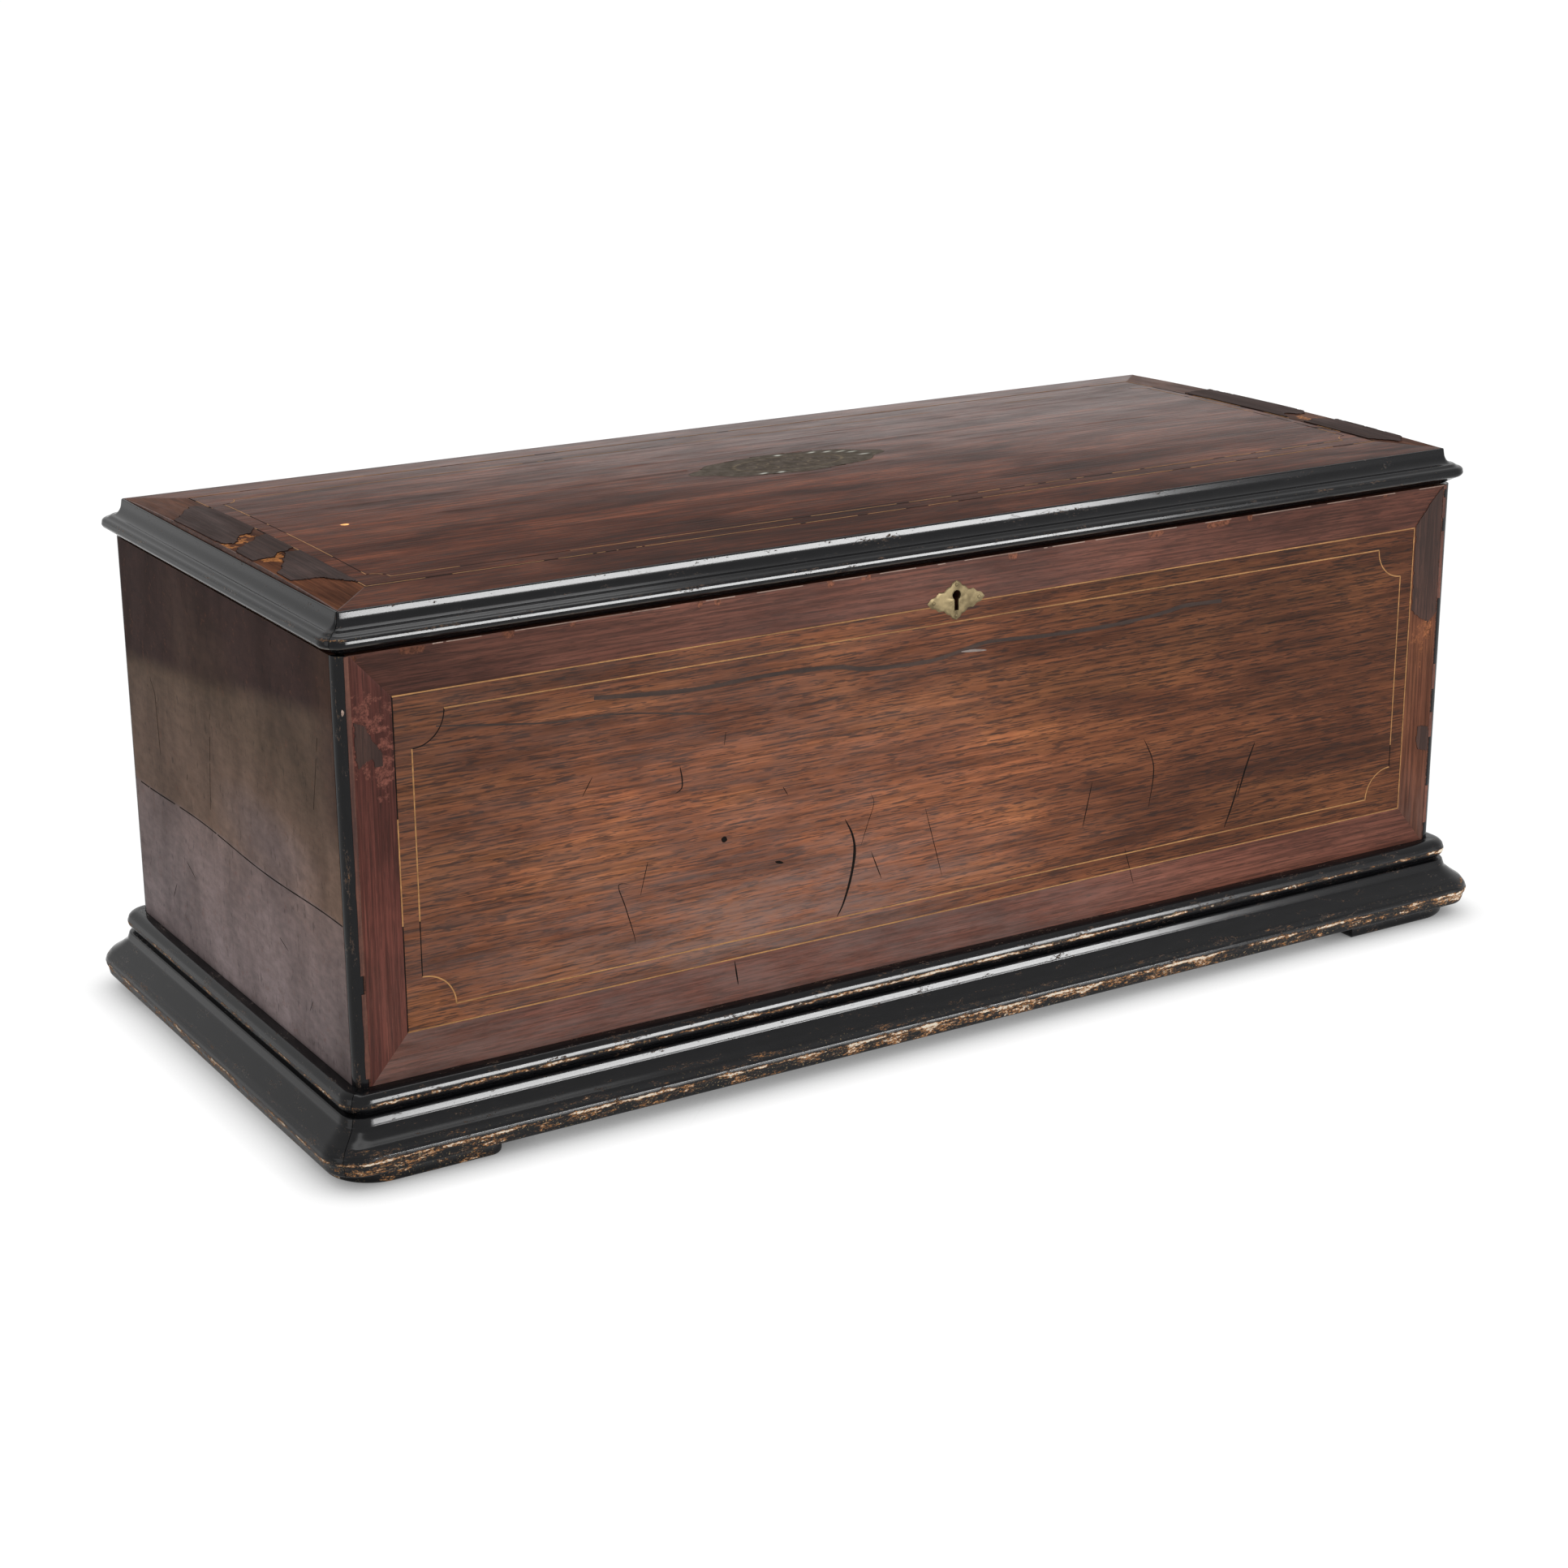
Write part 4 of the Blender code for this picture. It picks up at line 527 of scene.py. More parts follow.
@dataclass(frozen=True)
class Rosewood:
    """Figured veneer: drawn-out streaks and fine hair lines of wood under short dark pores."""

    name: str
    grain: Grain
    dark: Colour
    middle: Colour
    light: Colour
    bare: Colour = (0.17, 0.060, 0.032)
    pore: Colour = (0.026, 0.013, 0.010)
    # The colour towards which a painted sheen pales the wood: a reflection of the bright surroundings painted
    # into its colour.
    painted_sheen: Colour = (0.20, 0.150, 0.138)
    rough: float = 0.44
    gloss: float = 0.09
    figure: float = 9.0
    hair: float = 14.0
    streaks: float = 0.75
    pores: float = 0.7
    relief: float = 1.0
    worn: bool = True

    def drawn(self, across: float) -> Triple:
        """The stretch of a texture that is finer across the grain than along it."""
        return tuple(1.0 if s == 1.0 else across for s in self.grain.value)

    def build(self) -> bpy.types.Material:
        """Mixes the material; where it is worn, the piece carries the values tone, bare and dull, and a share
        of painted sheen that pales the wood towards the sheen colour.
        """
        mix = Recipe(self.name)
        figure = mix.noise(mix.spot(self.drawn(4.0)), self.figure, 5.0, 0.58, 0.7)
        colour = mix.ramp(figure, (0.34, self.dark), (0.50, self.middle), (0.66, self.light))
        bands = mix.noise(mix.spot(self.drawn(30.0), (0.3, 0.1, 0.2)), self.figure, 6.0, 0.66, 0.3)
        colour = mix.gain(colour, mix.level(bands, 0.34, 0.66, 1 - 0.40 * self.streaks, 1.13))
        hair = mix.noise(mix.spot(self.drawn(48.0), (0.8, 0.2, 0.6)), self.hair, 4.0, 0.66, 0.2)
        colour = mix.gain(colour, mix.level(hair, 0.38, 0.62, 0.66, 1.24))
        long_pores = mix.noise(mix.spot(self.drawn(18.0), (0.7, 0.4, 0.5)), 46.0, 2.0, 0.5, 0.1)
        short_pores = mix.noise(mix.spot(self.drawn(13.0), (0.1, 0.9, 0.3)), 105.0, 2.0, 0.5, 0.1)
        colour = mix.blend(mix.level(long_pores, 0.37, 0.44, self.pores, 0.0), colour, self.pore)
        colour = mix.blend(mix.level(short_pores, 0.37, 0.44, self.pores, 0.0), colour, self.pore)
        rough = mix.level(figure, 0.3, 0.7, self.rough + 0.06, self.rough - 0.05)
        if self.worn:
            grit = mix.noise(mix.spot(), 420.0, 4.0, 0.8)
            ground = mix.gain(self.bare, mix.level(grit, 0.32, 0.68, 0.35, 1.8))
            edge = mix.level(mix.noise(mix.spot(), 130.0, 5.0, 0.7), 0.2, 0.8, -0.3, 0.3)
            bared = mix.level(mix.sums("ADD", mix.value("bare"), edge), 0.42, 0.58)
            colour = mix.blend(bared, colour, ground)
            # A painted sheen: the piece's share, broken by clouds, pales the wood towards the sheen colour as
            # if it reflected the bright surroundings.
            cloud = mix.noise(mix.spot(self.drawn(5.0), (0.5, 0.7, 0.2)), 30.0, 5.0, 0.7)
            painted_sheen_share = mix.sums("MULTIPLY", mix.value("painted_sheen"), mix.level(cloud, 0.3, 0.7, 0.35, 1.6), True)
            colour = mix.blend(painted_sheen_share, mix.gain(colour, mix.value("tone")), self.painted_sheen)
            rough = mix.sums("ADD", rough, mix.value("dull"))
        grain = mix.relief(long_pores, 0.05 * self.relief, 0.6)
        ripple = mix.relief(hair, 0.12 * self.relief, 0.5, Normal=grain)
        return mix.finished(Base_Color=colour, Roughness=rough, Normal=ripple, Specular_IOR_Level=self.gloss)


@dataclass(frozen=True)
class Ebonised:
    """Black lacquer over softwood: clean black, and where it is worn sharp flecks that go brown, then orange
    or cream, the cream partly a painted glint on the rough edges; a painted highlight line runs where the
    piece's value line is high."""

    name: str
    grain: Grain
    black: Colour = (0.0062, 0.0062, 0.0070)
    under: Colour = (0.080, 0.050, 0.034)
    wood: Colour = (0.40, 0.180, 0.062)
    pale: Colour = (0.72, 0.64, 0.52)
    rough: float = 0.14
    gloss: float = 0.18

    def build(self) -> bpy.types.Material:
        """Mixes the material from the piece's values worn and line, the share of a painted highlight line.

        Returns:
            The material.
        """
        mix = Recipe(self.name)
        drawn = tuple(1.0 if s == 1.0 else 4.0 for s in self.grain.value)
        coarse = mix.noise(mix.spot(drawn), 55.0, 4.0, 0.62)
        fine = mix.noise(mix.spot(tuple(s ** 0.6 for s in drawn), (0.2, 0.6, 0.4)), 430.0, 5.0, 0.78)
        chips = mix.noise(mix.spot((1, 1, 1), (0.9, 0.3, 0.1)), 260.0, 3.0, 0.6)
        specks = mix.noise(mix.spot((1, 1, 1), (0.4, 0.8, 0.6)), 900.0, 1.0, 0.5)
        worn = mix.value("worn")
        ragged = mix.sums("ADD", worn, mix.level(coarse, 0.34, 0.66, -0.34, 0.34))
        crumbs = mix.sums("ADD", ragged, mix.level(fine, 0.34, 0.66, -0.30, 0.30))
        colour = mix.gain(self.black, mix.level(coarse, 0.3, 0.7, 0.85, 1.2))
        colour = mix.blend(mix.level(crumbs, 0.52, 0.60), colour, self.under)
        # Cream flecks are bare wood, partly a painted glint of light on the rough worn edges.
        cream = mix.sums("MAXIMUM", mix.level(crumbs, 0.94, 1.02), mix.level(chips, 0.60, 0.66))
        fleck = mix.blend(cream, self.wood, self.pale)
        colour = mix.blend(mix.level(crumbs, 0.76, 0.82), colour, fleck)
        dust = mix.sums("MULTIPLY", mix.level(specks, 0.66, 0.72), mix.level(worn, 0.10, 0.5, 0.0, 0.8))
        colour = mix.blend(dust, colour, (0.30, 0.22, 0.12))
        # Painted highlight: a pale grey line where the value line is high, a reflection painted on the
        # moulding.
        colour = mix.blend(mix.value("line"), colour, (0.34, 0.33, 0.29))
        broken = mix.level(crumbs, 0.50, 0.80)
        rough = mix.sums("ADD", mix.level(broken, 0.0, 1.0, self.rough, self.rough + 0.35),
                         mix.level(worn, 0.10, 0.30, 0.0, 0.30))
        return mix.finished(Base_Color=colour, Roughness=rough, Normal=mix.relief(broken, 0.35, 0.6),
                            Specular_IOR_Level=self.gloss)


@dataclass(frozen=True)
class PlainWood:
    """A wood without figure, for boards and thin lines: one colour that drifts along the grain."""

    name: str
    grain: Grain
    colour: Colour
    deep: Colour
    rough: float = 0.6
    gloss: float = 0.25

    def build(self) -> bpy.types.Material:
        """Mixes the material."""
        mix = Recipe(self.name)
        rings = mix.noise(mix.spot(self.grain.value), 16.0, 5.0, 0.6, 0.3)
        colour = mix.ramp(rings, (0.32, self.deep), (0.62, self.colour))
        specks = mix.noise(mix.spot(), 420.0, 3.0, 0.6)
        colour = mix.gain(colour, mix.level(specks, 0.3, 0.7, 0.85, 1.12))
        rough = mix.level(rings, 0.3, 0.7, self.rough + 0.08, self.rough)
        return mix.finished(Base_Color=colour, Roughness=rough, Normal=mix.relief(rings, 0.08, 0.4),
                            Specular_IOR_Level=self.gloss)


@dataclass(frozen=True)
class Metal:
    """Polished or brushed metal that has dulled: clouds of tarnish, fine scratches, small spots."""

    name: str
    colour: Colour
    tarnish: Colour
    rough: float = 0.28
    metal: float = 1.0
    brushed: Triple = (1.0, 1.0, 1.0)
    clouds: float = 38.0

    def build(self) -> bpy.types.Material:
        """Mixes the material."""
        mix = Recipe(self.name)
        cloud = mix.noise(mix.spot(), self.clouds, 5.0, 0.6)
        lines = mix.noise(mix.spot(self.brushed, (0.3, 0.8, 0.1)), 700.0, 3.0, 0.6)
        spots = mix.noise(mix.spot((1, 1, 1), (0.5, 0.2, 0.7)), 240.0, 3.0, 0.5)
        colour = mix.ramp(cloud, (0.38, self.tarnish), (0.60, self.colour))
        colour = mix.gain(colour, mix.level(lines, 0.3, 0.7, 0.88, 1.06))
        colour = mix.blend(mix.level(spots, 0.66, 0.74, 0.0, 0.6), colour, self.tarnish)
        rough = mix.level(cloud, 0.35, 0.65, self.rough + 0.14, self.rough)
        rough = mix.sums("ADD", rough, mix.level(lines, 0.3, 0.7, -0.04, 0.06))
        return mix.finished(Base_Color=colour, Roughness=rough, Normal=mix.relief(lines, 0.02, 0.3),
                            Metallic=self.metal)


@dataclass
class Palette:
    """Every finish of the box, mixed once."""

    made: Dict[str, bpy.types.Material]

    @classmethod
    def mixed(cls) -> "Palette":
        """Mixes all finishes."""
        along_x, along_y, upright = Grain.ALONG_X, Grain.ALONG_Y, Grain.ALONG_Z
        band_woods = (0.095, 0.034, 0.023), (0.125, 0.045, 0.030), (0.150, 0.056, 0.037)
        stile_woods = (0.080, 0.024, 0.018), (0.105, 0.032, 0.024), (0.130, 0.042, 0.030)
        # The lid's sheen colour is for a painted reflection of the bright surroundings.
        lid = {"dark": (0.040, 0.012, 0.006), "middle": (0.092, 0.024, 0.010), "light": (0.165, 0.046, 0.018),
               "painted_sheen": (0.24, 0.195, 0.185), "gloss": 0.085}
        recipes = {
            "front_field": Rosewood("front_field_veneer", along_x, (0.122, 0.039, 0.017),
                                    (0.205, 0.068, 0.028), (0.285, 0.101, 0.038)),
            "front_rail": Rosewood("front_rail_veneer", along_x, *band_woods, streaks=0.35, pores=0.4),
            "front_stile": Rosewood("front_stile_veneer", upright, *stile_woods, streaks=0.3, pores=0.3,
                                    bare=(0.15, 0.052, 0.038)),
            "front_ground": Rosewood("front_ground", upright, (0.115, 0.042, 0.024), (0.160, 0.058, 0.032),
                                     (0.215, 0.080, 0.040), bare=(0.30, 0.11, 0.048), gloss=0.08, rough=0.6,
                                     streaks=0.2, pores=0.2),
            "lid_field": Rosewood("lid_field_veneer", along_x, **lid, rough=0.48, streaks=0.9, relief=8.0,
                                  hair=9.0, bare=(0.62, 0.30, 0.10)),
            "lid_rail": Rosewood("lid_rail_veneer", along_x, **lid, rough=0.50, relief=3.0, hair=7.0),
            "lid_ground": Rosewood("lid_ground", along_y, (0.046, 0.018, 0.010), (0.078, 0.029, 0.015),
                                   (0.118, 0.044, 0.020), bare=(0.30, 0.12, 0.040), gloss=0.05, rough=0.68,
                                   streaks=0.3, pores=0.2),
            "remnant": Rosewood("veneer_remnant", along_y, (0.026, 0.014, 0.011), (0.036, 0.020, 0.017),
                                (0.048, 0.027, 0.023), gloss=0.04, rough=0.58, streaks=0.4, pores=0.4,
                                worn=False),
            "dark_remnant": Rosewood("dark_remnant", upright, (0.034, 0.016, 0.012), (0.048, 0.022, 0.016),
                                     (0.064, 0.030, 0.022), gloss=0.14, streaks=0.4, worn=False),
            "panel": Rosewood("case_panel", along_x, (0.060, 0.024, 0.016), (0.095, 0.036, 0.022),
                              (0.130, 0.052, 0.030), worn=False),
            "panel_end": Rosewood("case_end_panel", along_y, (0.055, 0.026, 0.018), (0.082, 0.037, 0.024),
                                  (0.110, 0.050, 0.031), worn=False),
            "black_x": Ebonised("ebonised_along_x", along_x),
            "black_y": Ebonised("ebonised_along_y", along_y),
            "black_z": Ebonised("ebonised_upright", upright),
            "boxwood": PlainWood("boxwood_string", along_x, (0.42, 0.21, 0.072), (0.25, 0.12, 0.042)),
            "chalk": PlainWood("pale_chips", along_x, (0.36, 0.26, 0.21), (0.14, 0.075, 0.055)),
            "vein": PlainWood("dark_vein", along_x, (0.042, 0.021, 0.014), (0.022, 0.012, 0.009)),
            "scar": PlainWood("grey_scar", along_x, (0.24, 0.20, 0.18), (0.14, 0.11, 0.10)),
            "groove": PlainWood("dark_groove", along_x, (0.012, 0.009, 0.008), (0.007, 0.006, 0.005),
                                0.85, 0.05),
            "edging": PlainWood("worn_edging", upright, (0.15, 0.055, 0.034), (0.050, 0.020, 0.015)),
            "pine": PlainWood("pine_boards", along_x, (0.42, 0.27, 0.13), (0.30, 0.17, 0.075)),
            "pine_y": PlainWood("pine_partition", along_y, (0.36, 0.22, 0.11), (0.24, 0.14, 0.065)),
            "brass": Metal("brass", (0.66, 0.48, 0.20), (0.36, 0.24, 0.09)),
            "old_brass": Metal("dull_brass", (0.20, 0.155, 0.082), (0.095, 0.072, 0.037), 0.44, 0.85,
                               clouds=90.0),
            "steel": Metal("steel", (0.50, 0.50, 0.51), (0.30, 0.29, 0.28)),
            "comb_steel": Metal("comb_steel", (0.56, 0.56, 0.57), (0.38, 0.37, 0.36), 0.22,
                                brushed=(12.0, 1.0, 12.0)),
            "blued": Metal("blued_steel", (0.055, 0.085, 0.19), (0.030, 0.045, 0.11)),
            "iron": Metal("painted_iron", (0.040, 0.036, 0.034), (0.026, 0.024, 0.024), 0.42, 0.2),
        }
        made = {key: recipe.build() for key, recipe in recipes.items()}
        made.update(glass=cls.pane(), card=cls.card(), end=cls.end_with_painted_sheen(), medallion=cls.medallion())
        return cls(made)

    def __getitem__(self, key: str) -> bpy.types.Material:
        """The finish of that name."""
        return self.made[key]

    @staticmethod
    def pane() -> bpy.types.Material:
        """Clear old glass with a faint ripple."""
        mix = Recipe("old_glass")
        ripple = mix.noise(mix.spot((1.0, 2.5, 1.0)), 9.0, 2.0, 0.4)
        colour = mix.ramp(ripple, (0.3, (0.90, 0.95, 0.93)), (0.7, (0.96, 0.98, 0.97)))
        return mix.finished(Base_Color=colour, Roughness=0.03, Normal=mix.relief(ripple, 0.4, 0.3),
                            Transmission_Weight=1.0, IOR=1.45)

    @staticmethod
    def card() -> bpy.types.Material:
        """Aged card with printed rules: a double border and blank ruled lines."""
        mix = Recipe("tune_card")
        age = mix.noise(mix.spot(), 30.0, 5.0, 0.6)
        colour = mix.ramp(age, (0.3, (0.52, 0.42, 0.25)), (0.7, (0.72, 0.63, 0.45)))
        colour = mix.blend(mix.value("ink"), colour, (0.10, 0.045, 0.030))
        return mix.finished(Base_Color=colour, Roughness=mix.level(age, 0.3, 0.7, 0.75, 0.9),
                            Specular_IOR_Level=0.2)

    @staticmethod
    def end_with_painted_sheen() -> bpy.types.Material:
        """Veneer of the ends by its values: the fade runs from grey at the foot, partly a painted reflection
        of the white floor, over the wood's own faded olive to a dark brown on top, partly a painted
        reflection of darker surroundings; strip is the redder stretch towards the front."""
        mix = Recipe("end_veneer_with_painted_sheen")
        cloud = mix.noise(mix.spot((1, 1, 0.6)), 26.0, 5.0, 0.6, 0.4)
        brush = mix.noise(mix.spot((1, 1.4, 3.4), (0.4, 0.1, 0.8)), 60.0, 4.0, 0.65)
        flecks = mix.noise(mix.spot((1, 3, 1), (0.8, 0.2, 0.5)), 130.0, 3.0, 0.6)
        rust = mix.noise(mix.spot((1, 1, 1), (0.2, 0.6, 0.1)), 210.0, 4.0, 0.7)
        colour = mix.ramp(mix.value("fade_and_painted_sheen"), (0.0, (0.225, 0.178, 0.178)), (0.25, (0.172, 0.124, 0.116)),
                          (0.50, (0.141, 0.086, 0.060)), (0.75, (0.100, 0.060, 0.037)),
                          (1.0, (0.032, 0.0135, 0.0105)))
        colour = mix.blend(mix.value("strip"), colour, (0.056, 0.026, 0.016))
        colour = mix.gain(colour, mix.level(cloud, 0.32, 0.68, 0.78, 1.24))
        colour = mix.gain(colour, mix.level(brush, 0.3, 0.7, 0.84, 1.16))
        colour = mix.gain(colour, mix.level(flecks, 0.30, 0.40, 0.60, 1.0))
        colour = mix.blend(mix.level(rust, 0.58, 0.72, 0.0, 0.35), colour, (0.165, 0.062, 0.036))
        colour = mix.gain(colour, mix.value("tone"))
        rough = mix.sums("ADD", mix.level(cloud, 0.3, 0.7, 0.56, 0.50), mix.value("dull"))
        return mix.finished(Base_Color=colour, Roughness=rough, Normal=mix.relief(brush, 0.10, 0.35),
                            Specular_IOR_Level=0.05)

    @staticmethod
    def medallion() -> bpy.types.Material:
        """Inlaid plate: dark olive wood, a lighter worn border, dull brass and pearl, by its values."""
        mix = Recipe("lid_medallion")
        cloud = mix.noise(mix.spot(), 190.0, 5.0, 0.65)
        colour = mix.ramp(cloud, (0.3, (0.022, 0.014, 0.008)), (0.7, (0.050, 0.033, 0.019)))
        for key, low, high in (("border", (0.034, 0.024, 0.014), (0.078, 0.058, 0.036)),
                               ("brass", (0.052, 0.036, 0.018), (0.130, 0.092, 0.046)),
                               ("pearl", (0.34, 0.33, 0.27), (0.62, 0.62, 0.56))):
            colour = mix.blend(mix.value(key), colour, mix.ramp(cloud, (0.3, low), (0.7, high)))
        return mix.finished(Base_Color=colour, Metallic=mix.sums("MULTIPLY", mix.value("brass"), 0.3),
                            Roughness=mix.level(cloud, 0.3, 0.7, 0.62, 0.50),
                            Normal=mix.relief(cloud, 0.12, 0.5), Specular_IOR_Level=0.06)


@dataclass
class Studio:
    """Camera, white floor, world and lamps."""

    lens: float = 67.88
    sensor: float = 36.0
    azimuth: float = -31.4593
    elevation: float = 17.9202
    roll: float = -0.3668
    place: Triple = (-0.8614, -1.3843, 0.6272)
    fill: float = 0.33
    white: Colour = (1.0, 1.0, 1.0)
    floor_reach: float = 60.0
    floor_lit: Colour = (0.86, 0.86, 0.86)
    floor_seen: Colour = (0.09, 0.09, 0.09)
    floor_glow: float = 1.0
    shadow_reach: float = 0.022
    shadow_power: float = 0.75

    def build(self) -> None:
        """Builds the whole studio."""
        self.camera()
        self.world()
        self.floor()
        self.lamps()

    def camera(self) -> None:
        """Places the camera from its azimuth, elevation and roll."""
        data = bpy.data.cameras.new("view")
        data.lens = self.lens
        data.sensor_width = self.sensor
        data.clip_start, data.clip_end = 0.05, 200.0
        camera = bpy.data.objects.new("view", data)
        bpy.context.scene.collection.objects.link(camera)
        turn, lift, roll = (math.radians(a) for a in (self.azimuth, self.elevation, self.roll))
        back = Vector((math.sin(turn) * math.cos(lift), -math.cos(turn) * math.cos(lift), math.sin(lift)))
        level = Vector((math.cos(turn), math.sin(turn), 0))
        right = level * math.cos(roll) + back.cross(level) * math.sin(roll)
        frame = Matrix((right, back.cross(right), back)).transposed().to_4x4()
        camera.matrix_world = Matrix.Translation(self.place) @ frame
        bpy.context.scene.camera = camera

    def world(self) -> None:
        """White for the eye, for gloss and for glass; a softer fill for matt surfaces."""
        world = bpy.data.worlds.new("studio")
        world.use_nodes = True
        mix = Wiring(world.node_tree)
        lights = []
        for strength in (self.fill, 1.0):
            light = mix.node("Background")
            mix.feed(light, Color=self.white, Strength=strength)
            lights.append(light.outputs[0])
        choice = mix.node("MixShader")
        mix.feed(choice, i0=mix.sight(), i1=lights[0], i2=lights[1])
        mix.feed(mix.node("OutputWorld"), i0=choice.outputs[0])
        bpy.context.scene.world = world

    def floor(self) -> None:
        """A white floor: to the eye it glows, less where the object closes it in, so that only
        a thin shadow stays along the object's foot."""
        material = bpy.data.materials.new("white_floor")
        material.use_nodes = True
        mix = Wiring(material.node_tree)
        seen = mix.sight()
        closed = mix.node("AmbientOcclusion")
        mix.feed(closed, Distance=self.shadow_reach)
        strength = mix.sums("POWER", closed.outputs["AO"], self.shadow_power)
        strength = mix.sums("MULTIPLY", strength, self.floor_glow)
        shine, matt, both = (mix.node(kind) for kind in ("Emission", "BsdfDiffuse", "AddShader"))
        mix.feed(shine, Strength=mix.sums("MULTIPLY", strength, seen))
        mix.feed(matt, Color=mix.blend(seen, self.floor_lit, self.floor_seen))
        mix.feed(both, i0=matt.outputs[0], i1=shine.outputs[0])
        mix.feed(mix.node("OutputMaterial"), i0=both.outputs[0])
        mesh = bpy.data.meshes.new("floor")
        reach = self.floor_reach
        corners = [(-reach, -reach, 0), (reach, -reach, 0), (reach, reach, 0), (-reach, reach, 0)]
        mesh.from_pydata(corners, [], [(0, 1, 2, 3)])
        mesh.materials.append(material)
        floor = bpy.data.objects.new("floor", mesh)
        bpy.context.scene.collection.objects.link(floor)

    def lamps(self) -> None:
        """A key low at the front right that shines in the mouldings, a broad dim light above and
        a weak one for the left end."""
        for name, at, aim, length, width, radiance in (
                ("key_box", (1.30, -2.75, 0.47), (0.0, -0.15, 0.20), 1.3, 0.26, 54.0),
                ("top_light", (0.1, 0.15, 2.3), (0.0, 0.0, 0.28), 1.6, 1.2, 4.0),
                ("end_fill", (-2.6, -0.6, 1.0), (-0.35, 0.0, 0.15), 1.5, 1.2, 1.4)):
            data = bpy.data.lights.new(name, "AREA")
            data.shape = "RECTANGLE"
            data.size = length
            data.size_y = width
            data.energy = radiance * math.pi * length * width
            lamp = bpy.data.objects.new(name, data)
            bpy.context.scene.collection.objects.link(lamp)
            back = (Vector(at) - Vector(aim)).normalized()
            side = (Vector((1, 0, 0)) - back * back.x).normalized()
            frame = Matrix((side, back.cross(side), back)).transposed().to_4x4()
            lamp.matrix_world = Matrix.Translation(at) @ frame


def lid_height(y: np.ndarray) -> np.ndarray:
    """Height of the crowned lid: highest in the middle and falling with the square of y."""
    half = HALF_DEPTH - LID_RIM
    return LID_TOP + LID_CROWN * (1 - (y / half) ** 2)


@dataclass(frozen=True)
class Frayed:
    """How an island of veneer is frayed, and how it stands.

    Attributes:
        seed: Picks the noise.
        bends: How far noise bends its outline along each direction.
        cell: Cell size of that noise.
        lift: How far it stands above the veneer.
        swell: How much its height varies.
        wave: Cell size of that variation.
        within: Tells which places may carry it, by their first coordinate.
        grown: Share by which it is grown from its middle.
        margin: Reach of the grid beyond the outline.
        step: Cell size of the grid.
        sunk: How deep its underside lies.
    """

    seed: int
    bends: Pair
    cell: float
    lift: float
    swell: float
    wave: float
    within: Callable[[np.ndarray], np.ndarray]
    grown: float = 0.0
    margin: float = 1.0
    step: float = 0.6
    sunk: float = SUNK


